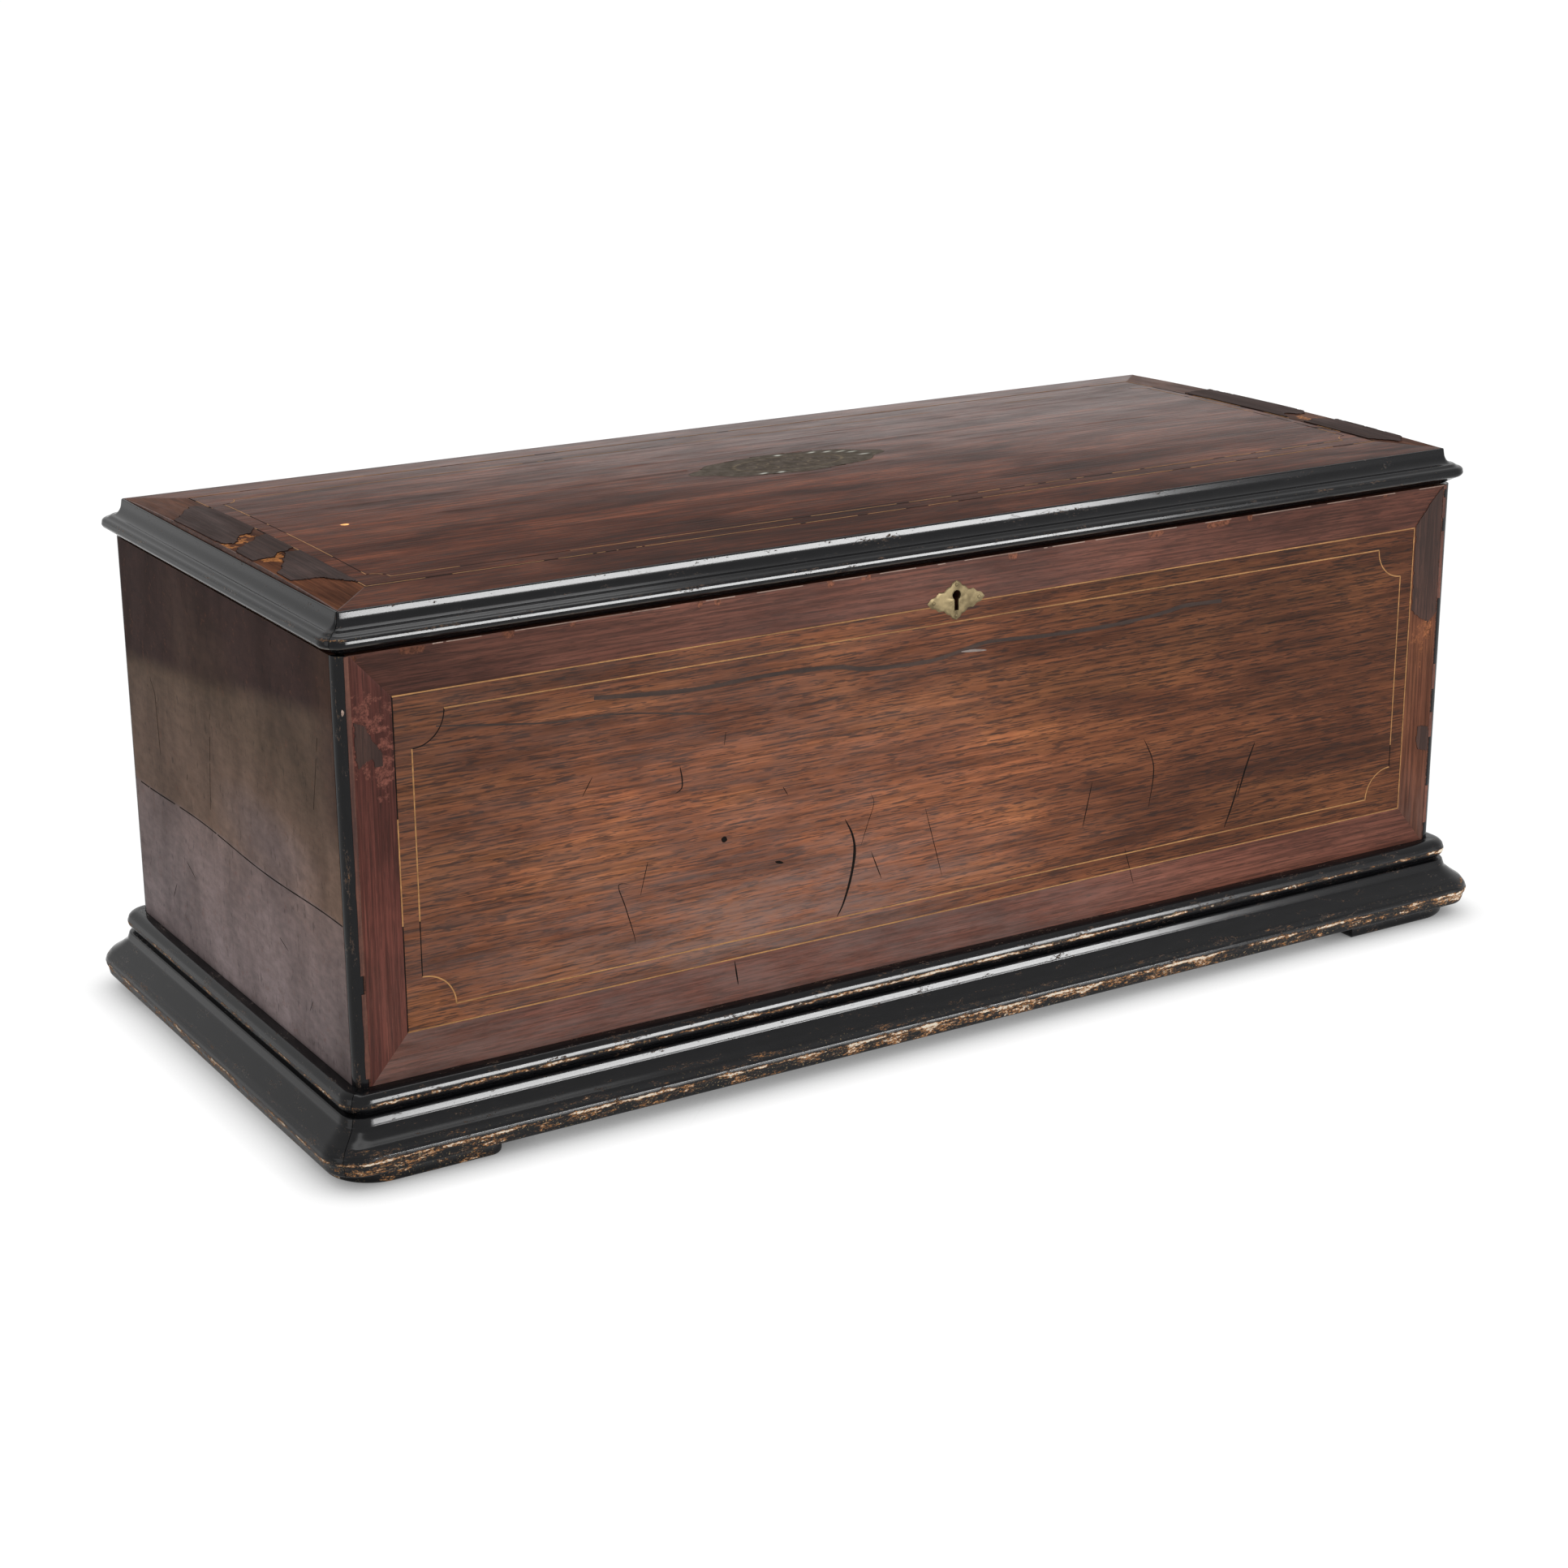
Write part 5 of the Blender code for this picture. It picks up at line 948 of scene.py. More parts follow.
@dataclass
class Veneering:
    """Makes veneer sheets, strings and remnants on the outside of the box."""

    palette: Palette
    body: str = "case"
    proud: float = 0.12
    line_step: float = 0.8

    def on(self, u: np.ndarray, v: np.ndarray, lift: np.ndarray) -> np.ndarray:
        """Points on the surface that carries the veneer, lifted outwards."""
        raise NotImplementedError

    @staticmethod
    def rectangle(low: Pair, high: Pair) -> List[Pair]:
        """The four corners of a rectangle between two of them."""
        return [low, (high[0], low[1]), high, (low[0], high[1])]

    @staticmethod
    def corners(quad: Sequence[Pair], step: float) -> Tuple[np.ndarray, np.ndarray, np.ndarray]:
        """A grid over a four-cornered sheet: each point blends the corners by (1-s)(1-t),
        s(1-t), st and (1-s)t.

        Args:
            quad: The four corners in order.
            step: Wanted cell size.

        Returns:
            First coordinates, second coordinates and distance to the nearest edge.
        """
        p = np.array(quad, float)
        long = int(max(np.linalg.norm(p[1] - p[0]), np.linalg.norm(p[2] - p[3])) / step) + 1
        wide = int(max(np.linalg.norm(p[3] - p[0]), np.linalg.norm(p[2] - p[1])) / step) + 1
        s = np.linspace(0, 1, long + 1)[:, None]
        t = np.linspace(0, 1, wide + 1)[None, :]
        grid = [(1 - s) * (1 - t) * p[0, k] + s * (1 - t) * p[1, k] + s * t * p[2, k] + (1 - s) * t * p[3, k]
                for k in (0, 1)]
        edge = np.minimum(np.minimum(s, 1 - s) * long, np.minimum(t, 1 - t) * wide) * step
        return grid[0], grid[1], edge

    def lay(self, name: str, place: Sequence[np.ndarray], lift: np.ndarray, finish: str,
            values: Optional[Dict[str, np.ndarray]] = None, kept: Optional[np.ndarray] = None,
            sunk: float = SUNK) -> None:
        """Makes a sheet of veneer from the lifted surface down to just inside the board.

        Args:
            name: The piece's name.
            place: The grid's two coordinates on the surface.
            lift: How proud it stands.
            finish: Name of its finish.
            values: The piece's values for its finish.
            kept: Which cells are there, or None for all.
            sunk: How deep its underside lies.
        """
        skin = sheet(self.on(*place, lift), self.on(*place, 0 * lift - sunk), kept, values)
        make(name, skin, self.palette[finish], self.body)

    def island(self, name: str, outline: Sequence[Pair], finish: str, frayed: Frayed) -> None:
        """Lays a piece of veneer whose outline is bent by noise.

        Args:
            name: The piece's name.
            outline: Its corners before they are bent.
            finish: Name of its finish.
            frayed: How its edge is bent and how it stands.
        """
        p = np.array(outline, float)
        (low_u, low_v), (high_u, high_v) = p.min(0) - frayed.margin, p.max(0) + frayed.margin
        u, v = np.meshgrid(np.arange(low_u, high_u, frayed.step), np.arange(low_v, high_v, frayed.step),
                           indexing="ij")
        middle = p.mean(0)
        shift_u, shift_v = (bend * (fractal(u / frayed.cell, v / frayed.cell, frayed.seed + k) - 0.5)
                            - frayed.grown * (at - middle[k])
                            for k, (bend, at) in enumerate(zip(frayed.bends, (u, v))))
        kept = (inside(u + shift_u, v + shift_v, outline) & frayed.within(u))[:-1, :-1]
        swell = fractal(u / frayed.wave, v / frayed.wave, frayed.seed + 2)
        lift = self.proud + frayed.lift + frayed.swell * swell
        self.lay(name, (u, v), lift, finish, None, kept, frayed.sunk)

    def ribbon(self, name: str, path: Sequence[Pair], width: float, finish: str, rise: float, seed: int,
               lost: float = 0.0, taper: bool = False) -> None:
        """A thin line laid along a path on a surface, broken where noise is low.

        Args:
            name: The piece's name.
            path: Its middle line.
            width: Its width.
            finish: Name of its finish.
            rise: How far it stands above the veneer.
            seed: Picks where it is broken.
            lost: Share of its length that is missing.
            taper: Whether it narrows to its ends.
        """
        line = resampled(np.array(path, float), self.line_step)
        run = np.gradient(line, axis=0)
        across = np.stack([-run[:, 1], run[:, 0]], 1) / np.maximum(np.linalg.norm(run, axis=1), 1e-9)[:, None]
        share = np.linspace(0, 1, len(line))
        narrowed = np.sqrt(np.clip(4 * share * (1 - share), 0.02, 1)) if taper else np.ones(len(line))
        reach = width / 2 * narrowed
        reach = reach * (0.85 + 0.3 * lattice(share * len(line) / 9.0, share * 0 + 3.0, seed))
        sides = np.array([-1.0, 0.0, 1.0])
        grid = line[:, None, :] + across[:, None, :] * (reach[:, None] * sides)[..., None]
        noise = fractal(np.arange(len(line) - 1) / 22.0, np.zeros(len(line) - 1), seed + 5, 3)
        kept = np.repeat((noise > np.quantile(noise, lost))[:, None], 2, 1) if lost > 0 else None
        lift = np.full(grid.shape[:2], self.proud + rise)
        self.lay(name, np.moveaxis(grid, 2, 0), lift, finish, None, kept)


@dataclass
class FrontVeneers(Veneering):
    """The front: a figured field, four mitred bands, two boxwood strings and old damage."""

    field_x: float = 322.0
    field_low: float = 69.5
    field_high: float = 240.0
    edge_x: float = 342.8
    string_x: float = 313.0
    string_low: float = 79.3
    string_high: float = 230.3
    string_corner: float = 17.5
    lock_way: Pair = (6.5, 7.5)

    def on(self, u: np.ndarray, v: np.ndarray, lift: np.ndarray) -> np.ndarray:
        """Points on the front wall: u is X and v is Z."""
        return np.stack(np.broadcast_arrays(u, -HALF_DEPTH - lift, v), -1)

    def build(self) -> None:
        """Lays all of the front's veneers."""
        self.field()
        self.bands()
        self.strings()
        self.scratches()
        self.remnants()

    def hole(self, x: np.ndarray, z: np.ndarray) -> np.ndarray:
        """Which cells are kept, leaving a way through to the lock under the keyhole plate."""
        near = (np.abs(x) < self.lock_way[0]) & (np.abs(z - KEYHOLE_Z) < self.lock_way[1])
        return ~(near[:-1, :-1] & near[1:, 1:])

    def field(self) -> None:
        """The figured field: lightest and warmest in the middle, where a pool of light is painted over the
        veneer's own tone, darker towards the top and ends.
        """
        x, z, edge = self.corners(
            self.rectangle((-self.field_x, self.field_low), (self.field_x, self.field_high)), 1.6)
        patch = fractal(x / 75.0, z / 22.0, 11, 4)
        # The broad bright spot round the middle is a painted pool of light; the noise patches and veins are
        # the veneer's own tone.
        tone = (0.78 + 0.62 * glow(x, z, -45, 118, 190, 62) + 0.50 * glow(x, z, -185, 180, 65, 34)
                - 0.16 * glow(x, z, -290, 215, 100, 50) - 0.24 * soft_step(0, 90, x) + 0.30 * (patch - 0.5)
                + 0.14 * glow(x, z, -20, 225, 110, 12) - 0.14 * glow(x, z, 200, 215, 120, 26))
        bend = 1.2 * (fractal(x / 18.0, x * 0, 7, 3) - 0.5)
        for line, strength in self.veins():
            at = np.array(line, float)
            near = bell(z - np.interp(x, at[:, 0], at[:, 1]) - bend, 0.0, 1.1)
            reach = soft_step(at[0, 0] - 15, at[0, 0] + 25, x) * soft_step(at[-1, 0] + 15, at[-1, 0] - 25, x)
            broken = soft_step(0.25, 0.6, fractal(x / 16.0, z / 5.0, 5, 3))
            tone = tone * (1 - strength * near * reach * broken)
        # Painted sheen: a reflection of the floor painted in, strongest low down left of the middle and faint
        # over the left half.
        painted_sheen = 0.01 + 0.06 * soft_step(80, -60, x) + 0.30 * glow(x, z, -120, 88, 150, 32)
        painted_sheen = painted_sheen + 0.08 * glow(x, z, -120, 150, 150, 60)
        lift = self.proud + 0.05 * (fractal(x / 60.0, z / 8.0, 3, 4) - 0.5) - 0.06 * bell(edge, 0.0, 0.9)
        values = {"tone": tone, "bare": np.zeros_like(tone), "dull": 0.08 * patch, "painted_sheen": painted_sheen}
        self.lay("front_field", (x, z), lift, "front_field", values, self.hole(x, z))

    @staticmethod
    def veins() -> List[Tuple[List[Pair], float]]:
        """Dark veins in the figure, as their middle lines and strengths."""
        return [([(-215, 222.5), (-188, 220), (-157, 218), (-117, 218.8), (-76, 217), (-55, 213),
                  (-19, 211.2), (2, 213.6), (22, 216.2), (63, 214), (106, 213.5), (139, 215.5),
                  (154, 217.4), (180, 216.6)], 0.85),
                ([(-300, 222), (-240, 214), (-200, 212), (-150, 204)], 0.5),
                ([(-130, 200), (-60, 199), (0, 203), (60, 205)], 0.45),
                ([(-260, 146), (-190, 142), (-140, 138), (-90, 134)], 0.3),
                ([(40, 190), (120, 196), (200, 198), (290, 200)], 0.5),
                ([(-40, 170), (60, 176), (160, 182)], 0.3)]

    def bands(self) -> None:
        """Four mitred bands round the field, chipped along the top edge and rubbed at the ends."""
        low, high = CASE_BOTTOM + 0.2, CASE_TOP - 0.1
        inner, outer = self.field_x + 0.1, self.edge_x
        base, head = self.field_low - 0.1, self.field_high + 0.1
        quads = {
            "bottom": ("front_rail", [(-outer, low), (outer, low), (inner, base), (-inner, base)]),
            "top": ("front_rail", [(-inner, head), (inner, head), (outer, high), (-outer, high)]),
            "left": ("front_stile", [(-outer, low), (-inner, base), (-inner, head), (-outer, high)]),
            "right": ("front_ground", [(inner, base), (outer, low), (outer, high), (inner, head)]),
        }
        for word, (finish, quad) in quads.items():
            x, z, edge = self.corners(quad, 1.5)
            patch = fractal(x / 30.0, z / 12.0, 23, 4)
            tone = 0.95 + 0.35 * (patch - 0.5)
            bare = np.zeros_like(tone)
            # The sheen share of each band is a painted sheen: a reflection of the bright floor and
            # surroundings painted on, most on the low left of the bottom band and the low part of the right
            # band.
            painted_sheen = np.zeros_like(tone)
            hole = None
            if word == "top":
                tone = tone * (1.0 - 0.42 * soft_step(-150, -320, x) - 0.30 * soft_step(60, 300, x))
                chips = soft_step(0.62, 0.8, fractal(x / 9.0, z * 0, 31, 3))
                bare = 1.1 * chips * soft_step(6.0, 1.0, CASE_TOP - z)
                painted_sheen = 0.10 * bell(x, -10.0, 150.0)
                hole = self.hole(x, z)
            if word == "bottom":
                tone = tone * (1.28 - 0.22 * soft_step(100, 300, x) - 0.42 * soft_step(-240, -320, x))
                painted_sheen = 0.24 * soft_step(200, 20, x)
            if word == "left":
                pink = soft_step(196, 205, z) * soft_step(262, 240, z + 0.5 * (x + 340))
                salmon = bell(x, -327.0, 5.0) * bell(z, 200.0, 16.0)
                grit = fractal(x / 3.0, z / 3.0, 37, 4) - 0.5
                bare = 0.10 + 0.36 * pink + 0.4 * salmon + 0.9 * grit * (pink + salmon)
                tone = tone * (0.98 - 0.20 * soft_step(165, 215, z))
                painted_sheen = 0.03 * soft_step(150, 80, z)
            if word == "right":
                bare = 0.15 + 0.45 * bell(z, 172.0, 14.0) * bell(x, 333.0, 9.0)
                tone = tone * (0.76 - 0.08 * soft_step(60, 175, z))
                painted_sheen = 0.12 * soft_step(110, 60, z)
            lift = self.proud + 0.05 * (patch - 0.5) - 0.07 * bell(edge, 0.0, 0.8)
            lift = lift - 0.15 * np.clip(bare - 0.6, 0, 1)
            values = {"tone": tone, "bare": bare, "dull": 0.15 * bare, "painted_sheen": painted_sheen}
            self.lay("front_band_" + word, (x, z), lift, finish, values, hole)

    def inner_path(self) -> List[Tuple[str, List[Pair]]]:
        """The inner string: four straight lines and a quarter circle turned inwards at each corner."""
        x, low, high, r = self.string_x, self.string_low, self.string_high, self.string_corner
        lines: List[Tuple[str, List[Pair]]] = [
            ("bottom", [(-x + r, low), (x - r, low)]), ("top", [(-x + r, high), (x - r, high)]),
            ("left", [(-x, low + r), (-x, high - r)]), ("right", [(x, low + r), (x, high - r)])]
        for word, cx, cz, start in (("low_left", -x, low, 0), ("low_right", x, low, 90),
                                    ("high_right", x, high, 180), ("high_left", -x, high, 270)):
            lines.append((word, [tuple(p) for p in arc((cx, cz), r, start, start + 90, 18)]))
        return lines

    def strings(self) -> None:
        """Boxwood strings over dark grooves; of some only part is left, from one share to another."""
        x, low, high = self.field_x, self.field_low, self.field_high
        lines = [("outer_bottom", [(-x, low), (x, low)]), ("outer_top", [(-x, high), (-15.0, high)]),
                 ("outer_top_right", [(15.0, high), (x, high)]),
                 ("outer_left", [(-x, low), (-x, high)]), ("outer_right", [(x, low), (x, high)])]
        lines += [("inner_" + word, path) for word, path in self.inner_path()]
        left = {"outer_left": (0.325, 0.648), "inner_left": (0.25, 1.0), "inner_right": (0.12, 1.0),
                "inner_high_left": (0.0, 0.0)}
        for count, (word, path) in enumerate(lines):
            self.ribbon("front_" + word + "_groove", path, 0.62, "groove", 0.03, 41 + count)
            start, end = left.get(word, (0.0, 1.0))
            line = resampled(np.array(path, float), self.line_step)
            kept = line[int(start * len(line)):int(end * len(line))]
            if len(kept) > 2:
                self.ribbon("front_" + word + "_string", kept, 0.66, "boxwood", 0.06, 51 + 7 * count)
        top = CASE_TOP - 0.4
        self.ribbon("front_top_chips", [(-300.0, top), (343.0, top)], 0.45, "chalk", 0.05, 99, 0.3)
        for count, ((line, _), width) in enumerate(zip(self.veins(), (2.1, 0.9))):
            smooth = flowing(np.array(line, float), 8)
            self.ribbon(f"front_vein_{count}", smooth, width, "vein", 0.02, 93 + count)
        path = [(3.6, 213.4), (12.0, 212.9), (20.1, 211.9)]
        self.ribbon("front_grey_scar", path, 1.3, "scar", 0.10, 98, 0.0, True)

    def scratches(self) -> None:
        """Scratches and splits in the field."""
        cuts: List[Tuple[List[Pair], float]] = [
            ([(-69, 133.5), (-64.4, 124), (-63, 114), (-65.5, 100), (-70, 87), (-74, 80)], 1.7),
            ([(-53, 145), (-51, 139), (-55, 128), (-59, 117)], 0.35), ([(-52.6, 112.4), (-46, 96)], 0.6),
            ([(-167.5, 179.4), (-166.3, 172), (-166.8, 167.5), (-170.2, 165.4)], 0.7),
            ([(-198, 122.5), (-204, 122.7), (-200.5, 111), (-196, 95.4), (-195, 89.7)], 0.55),
            ([(-187, 132), (-189.4, 123.5), (-191.6, 115)], 0.45), ([(-217, 182.5), (-223, 173)], 0.4),
            ([(-137, 68.3), (-135, 54.5)], 0.8), ([(-140.5, 193), (-141.6, 186)], 0.4),
            ([(-107, 158), (-104, 153)], 0.5), ([(128, 145), (134.5, 132), (135.7, 121.5), (133, 104)], 0.7),
            ([(208.6, 129.4), (203, 116), (197.6, 99.5)], 1.1),
            ([(198.4, 108.6), (194, 95), (188.5, 81.6)], 1.0),
            ([(93, 126), (87, 100)], 0.6), ([(117, 82.6), (124, 60)], 0.45), ([(-18.4, 131), (-7, 90)], 0.4),
            ([(-144, 136.4), (-140.6, 135.2)], 3.0), ([(-112, 118), (-107, 116.5)], 1.6)]
        for count, (path, width) in enumerate(cuts):
            smooth = flowing(np.array(path, float), 8)
            self.ribbon(f"front_scratch_{count}", smooth, width, "groove", 0.04, 70 + count, 0.0, True)

    def remnants(self) -> None:
        """Dark veneer left on the end bands, and the worn edging beside the corner strips."""
        shapes = {
            "front_remnant_left": [
                (-342.3, 229.6), (-337.3, 228.2), (-333.4, 220.0), (-330.1, 216.1), (-328.5, 212.4),
                (-329.2, 207.2), (-332.3, 207.2), (-333.9, 210.8), (-337.4, 209.7), (-340.2, 206.8),
                (-342.3, 211.3)],
            "front_remnant_right": [
                (323, 190), (326, 187.5), (331, 184.3), (336.6, 181.4), (342.4, 186.5), (342.4, 262),
                (334, 254), (322.9, 241)],
            "front_remnant_low": [(334, 118), (342.4, 117), (342.4, 102), (335, 104), (333, 110)]}
        frayed = Frayed(81, (1.4, 2.4), 3.0, 0.25, 0.05, 8.0, lambda x: np.abs(x) < self.edge_x, sunk=0.0)
        for name, outline in shapes.items():
            self.island(name, outline, "dark_remnant", frayed)
        for word, x, lost in (("left", -344.1, 0.06), ("right", 344.1, 0.5)):
            path = [(x, CASE_BOTTOM + 1.2), (x, CASE_TOP - 0.3)]
            self.ribbon("front_edging_" + word, path, 2.2, "edging", 0.12, 91, lost)
        path = [(-347.4, 234.3), (-347.0, 236.0), (-347.3, 237.6)]
        self.ribbon("front_chip_strip", path, 1.5, "chalk", -0.1, 95, 0.0, True)


@dataclass
class EndVeneers(Veneering):
    """One of the two ends, both faded and with a painted sheen; the left one also has a seam and a long
    crack.
    """

    side: Side = Side.LEFT
    half: float = 143.6

    def on(self, u: np.ndarray, v: np.ndarray, lift: np.ndarray) -> np.ndarray:
        """Points on the end wall: u is Y and v is Z."""
        return np.stack(np.broadcast_arrays(self.side.outward * (HALF_LENGTH + lift), u, v), -1)

    def build(self) -> None:
        """Lays the end's veneer."""
        y, z, edge = self.corners(
            self.rectangle((-self.half, CASE_BOTTOM + 0.2), (self.half, CASE_TOP - 0.1)), 1.8)
        cloud = fractal(y / 55.0, z / 55.0, 101, 4)
        # Above a sloping line near the top the end is painted darker, a painted reflection of darker
        # surroundings.
        bound = 213.3 - 0.129 * y + 7 * (cloud - 0.5)
        above = soft_step(-8, 8, z - bound)
        step = z - 127.0 - 1.2 * np.sin(y / 28.0)
        # The grey towards the foot is partly a painted reflection of the white floor.
        fade_and_painted_sheen = np.interp(z, (46.0, 112.0, 165.0, 205.0), (0.0, 0.25, 0.55, 0.75))
        fade_and_painted_sheen = fade_and_painted_sheen + 0.22 * soft_step(-0.5, 2.0, step) * soft_step(40, 0, step) + 0.25 * above
        fade_and_painted_sheen = np.where(step < 0, np.minimum(fade_and_painted_sheen, 0.28), fade_and_painted_sheen) + 0.16 * (cloud - 0.5)
        fade_and_painted_sheen = fade_and_painted_sheen - 0.26 * glow(y, z, -60, 140, 75, 24) * (step > 0)
        tone = 1 + 0.40 * glow(y, z, -25, 98, 85, 42) + 0.30 * glow(y, z, -90, 142, 60, 22)
        tone = tone - 0.12 * soft_step(60, 140, y) - 0.34 * glow(y, z, -140, 60, 30, 45)
        strip = 0.85 * soft_step(-106, -136, y + 8 * cloud) * soft_step(160, 185, z)
        lift = self.proud + 0.06 * (cloud - 0.5) - 0.07 * bell(edge, 0.0, 1.0)
        values = {"fade_and_painted_sheen": np.clip(fade_and_painted_sheen, 0, 1), "strip": strip, "tone": tone, "dull": 0.08 * above}
        self.lay("end_veneer_" + self.side.value, (y, z), lift, "end", values)

    def cracks(self) -> None:
        """The level crack across the left end, the upright seam and a few scratches."""
        y = np.linspace(-143, 143, 60)
        crack = np.stack([y, CASE_BOTTOM + 82 + 1.2 * np.sin(y / 28.0)], 1)
        self.ribbon("end_crack_level", crack, 0.7, "groove", 0.05, 111, 0.06)
        self.ribbon("end_seam", [(19.3, 193.7), (27.7, 139.3)], 0.4, "groove", 0.04, 112, 0.2)
        self.ribbon("end_seam_front", [(-124.5, 217.8), (-115.0, 179.3)], 0.4, "groove", 0.04, 113, 0.1)
        scratches = ([(-73.1, 254.8), (-71.2, 250.9)], [(70, 98), (58, 92)], [(59.4, 150.5), (60.1, 146.5)],
                     [(-60, 96), (-71, 92)], [(95, 70), (88, 80)], [(-100, 75), (-95, 68)],
                     [(107.9, 192.7), (101.6, 184.6), (99.6, 150.4)])
        for count, path in enumerate(scratches):
            self.ribbon(f"end_scratch_{count}", path, 0.5, "groove", 0.04, 120 + count, 0.0, True)


@dataclass
class LidVeneers(Veneering):
    """The lid's top: a ridged field, mitred bands, strings, and end bands with lost veneer."""

    body: str = "lid"
    left_x: float = -316.0
    right_x: float = 322.5
    front_y: float = -112.0
    back_y: float = 123.0
    half_x: float = 344.5
    half_y: float = 144.5

    def on(self, u: np.ndarray, v: np.ndarray, lift: np.ndarray) -> np.ndarray:
        """Points on the crowned lid: u is X and v is Y."""
        return np.stack(np.broadcast_arrays(u, v, lid_height(v) + lift), -1)

    def build(self) -> None:
        """Lays all of the lid's veneers."""
        self.field()
        self.bands()
        self.strings()
        self.remnants()

    def ridges(self, x: np.ndarray, y: np.ndarray) -> np.ndarray:
        """Lifted veneer along the grain: the sum of long narrow bells, each bent by noise."""
        total = np.zeros_like(x)
        for x0, x1, y0, slope, height, width in (
                (-150, -20, 28, 0.02, 0.55, 1.6), (-110, 60, 60, -0.01, 0.45, 1.4),
                (-230, -90, 8, 0.03, 0.40, 1.3), (30, 170, 44, 0.02, 0.45, 1.5),
                (60, 300, 84, 0.01, 0.35, 1.2), (-200, 0, 96, 0.0, 0.35, 1.2),
                (-60, 80, 75, 0.02, 0.40, 1.4), (80, 260, 20, -0.02, 0.30, 1.2),
                (-280, -120, 52, 0.01, 0.30, 1.2), (-40, 60, -12, 0.02, 0.35, 1.5),
                (120, 310, 104, 0.0, 0.28, 1.1)):
            bend = 3.0 * (fractal(x / 45.0, x * 0 + y0, 131, 3) - 0.5)
            along = soft_step(x0 - 12, x0 + 14, x) * soft_step(x1 + 12, x1 - 14, x)
            total = total + height * along * bell(y, y0 + bend + slope * (x - x0), width)
        return total

    def field(self) -> None:
        """The figured field with ridges where the veneer has lifted along the grain, and painted shade on the
        front slope of each ridge.
        """
        x, y, edge = self.corners(
            self.rectangle((self.left_x, self.front_y), (self.right_x, self.back_y)), 1.55)
        grain = fractal(x / 120.0, y / 5.0, 141, 4)
        ridge = self.ridges(x, y)
        tone = 1.05 + 0.7 * (grain - 0.5) - 0.30 * soft_step(-50, -112, y)
        # Painted shade: the wood is darkened on the front slope of each ridge, where the ridge rises just
        # behind.
        tone = tone * (1 - 0.5 * np.clip(self.ridges(x, y + 1.8) - ridge, 0, 1))
        yellow = bell(np.hypot((x + 274) / 5.0, (y - 9.5) / 2.8), 0.0, 0.8)
        lift = self.proud + 0.16 * (grain - 0.5) + ridge - 0.08 * bell(edge, 0.0, 0.9)
        u, v = x / 66.0, (y - 17.0) / 29.0
        lift = np.where(u**2 + v**2 < 1, np.minimum(lift, self.proud), lift)
        values = {"tone": tone + 1.2 * yellow, "bare": 0.9 * yellow, "painted_sheen": self.painted_sheen_share(x, y),
                  "dull": self.dulled(x, y) + 0.05 * grain}
        kept = ~((u**2 + v**2)[:-1, :-1] < 0.72)
        self.lay("lid_field", (x, y), lift, "lid_field", values, kept)

    @staticmethod
    def painted_sheen_share(x: np.ndarray, y: np.ndarray) -> np.ndarray:
        """Share of painted sheen, a reflection of the bright surroundings painted into the wood: none along
        the front, most towards the back right.
        """
        return 0.36 * soft_step(-60, 110, y) * (0.45 + 0.55 * soft_step(-300, 150, x))

    @staticmethod
    def dulled(x: np.ndarray, y: np.ndarray) -> np.ndarray:
        """Added roughness: most along the front, and below zero towards the back right."""
        return 0.15 - 0.29 * soft_step(-330, 250, x + 2.2 * y)

    def bands(self) -> None:
        """Four mitred bands; the end ones are mostly bare ground."""
        left, right = self.left_x - 0.1, self.right_x + 0.1
        front, back = self.front_y - 0.1, self.back_y + 0.1
        hx, hy = self.half_x, self.half_y
        quads = {
            "lid_band_front": ([(-hx, -hy), (hx, -hy), (right, front), (left, front)], "lid_rail"),
            "lid_band_back": ([(left, back), (right, back), (hx, hy), (-hx, hy)], "lid_rail"),
            "lid_band_left": ([(-hx, -hy), (left, front), (left, back), (-hx, hy)], "lid_ground"),
            "lid_band_right": ([(right, front), (hx, -hy), (hx, hy), (right, back)], "lid_ground"),
        }
        for name, (quad, finish) in quads.items():
            x, y, edge = self.corners(quad, 1.5)
            patch = fractal(x / 20.0, y / 20.0, 151, 4)
            tone = 0.95 + 0.5 * (patch - 0.5)
            bare = 0 * tone
            if finish == "lid_ground":
                spots = (-334, 4), (-324, 12), (-340, -2), (-328, -33), (-334, -42), (-320, 82), (333, -40)
                near = sum(np.exp(-(((x - u) / 7.0) ** 2) - ((y - v) / 9.0) ** 2) for u, v in spots)
                bare = near * soft_step(0.40, 0.66, fractal(x / 3.5, y / 3.5, 152, 4))
            if name == "lid_band_front":
                tone = tone * 0.82
            if name == "lid_band_left":
                tone = tone * (1.0 + 0.45 * bell(y, -90.0, 30.0))
            lift = self.proud - 0.08 * bell(edge, 0.0, 0.8) - (0.10 if finish == "lid_ground" else 0.0)
            values = {"tone": tone, "bare": bare, "dull": self.dulled(x, y), "painted_sheen": self.painted_sheen_share(x, y)}
            self.lay(name, (x, y), lift + 0.05 * (patch - 0.5), finish, values)

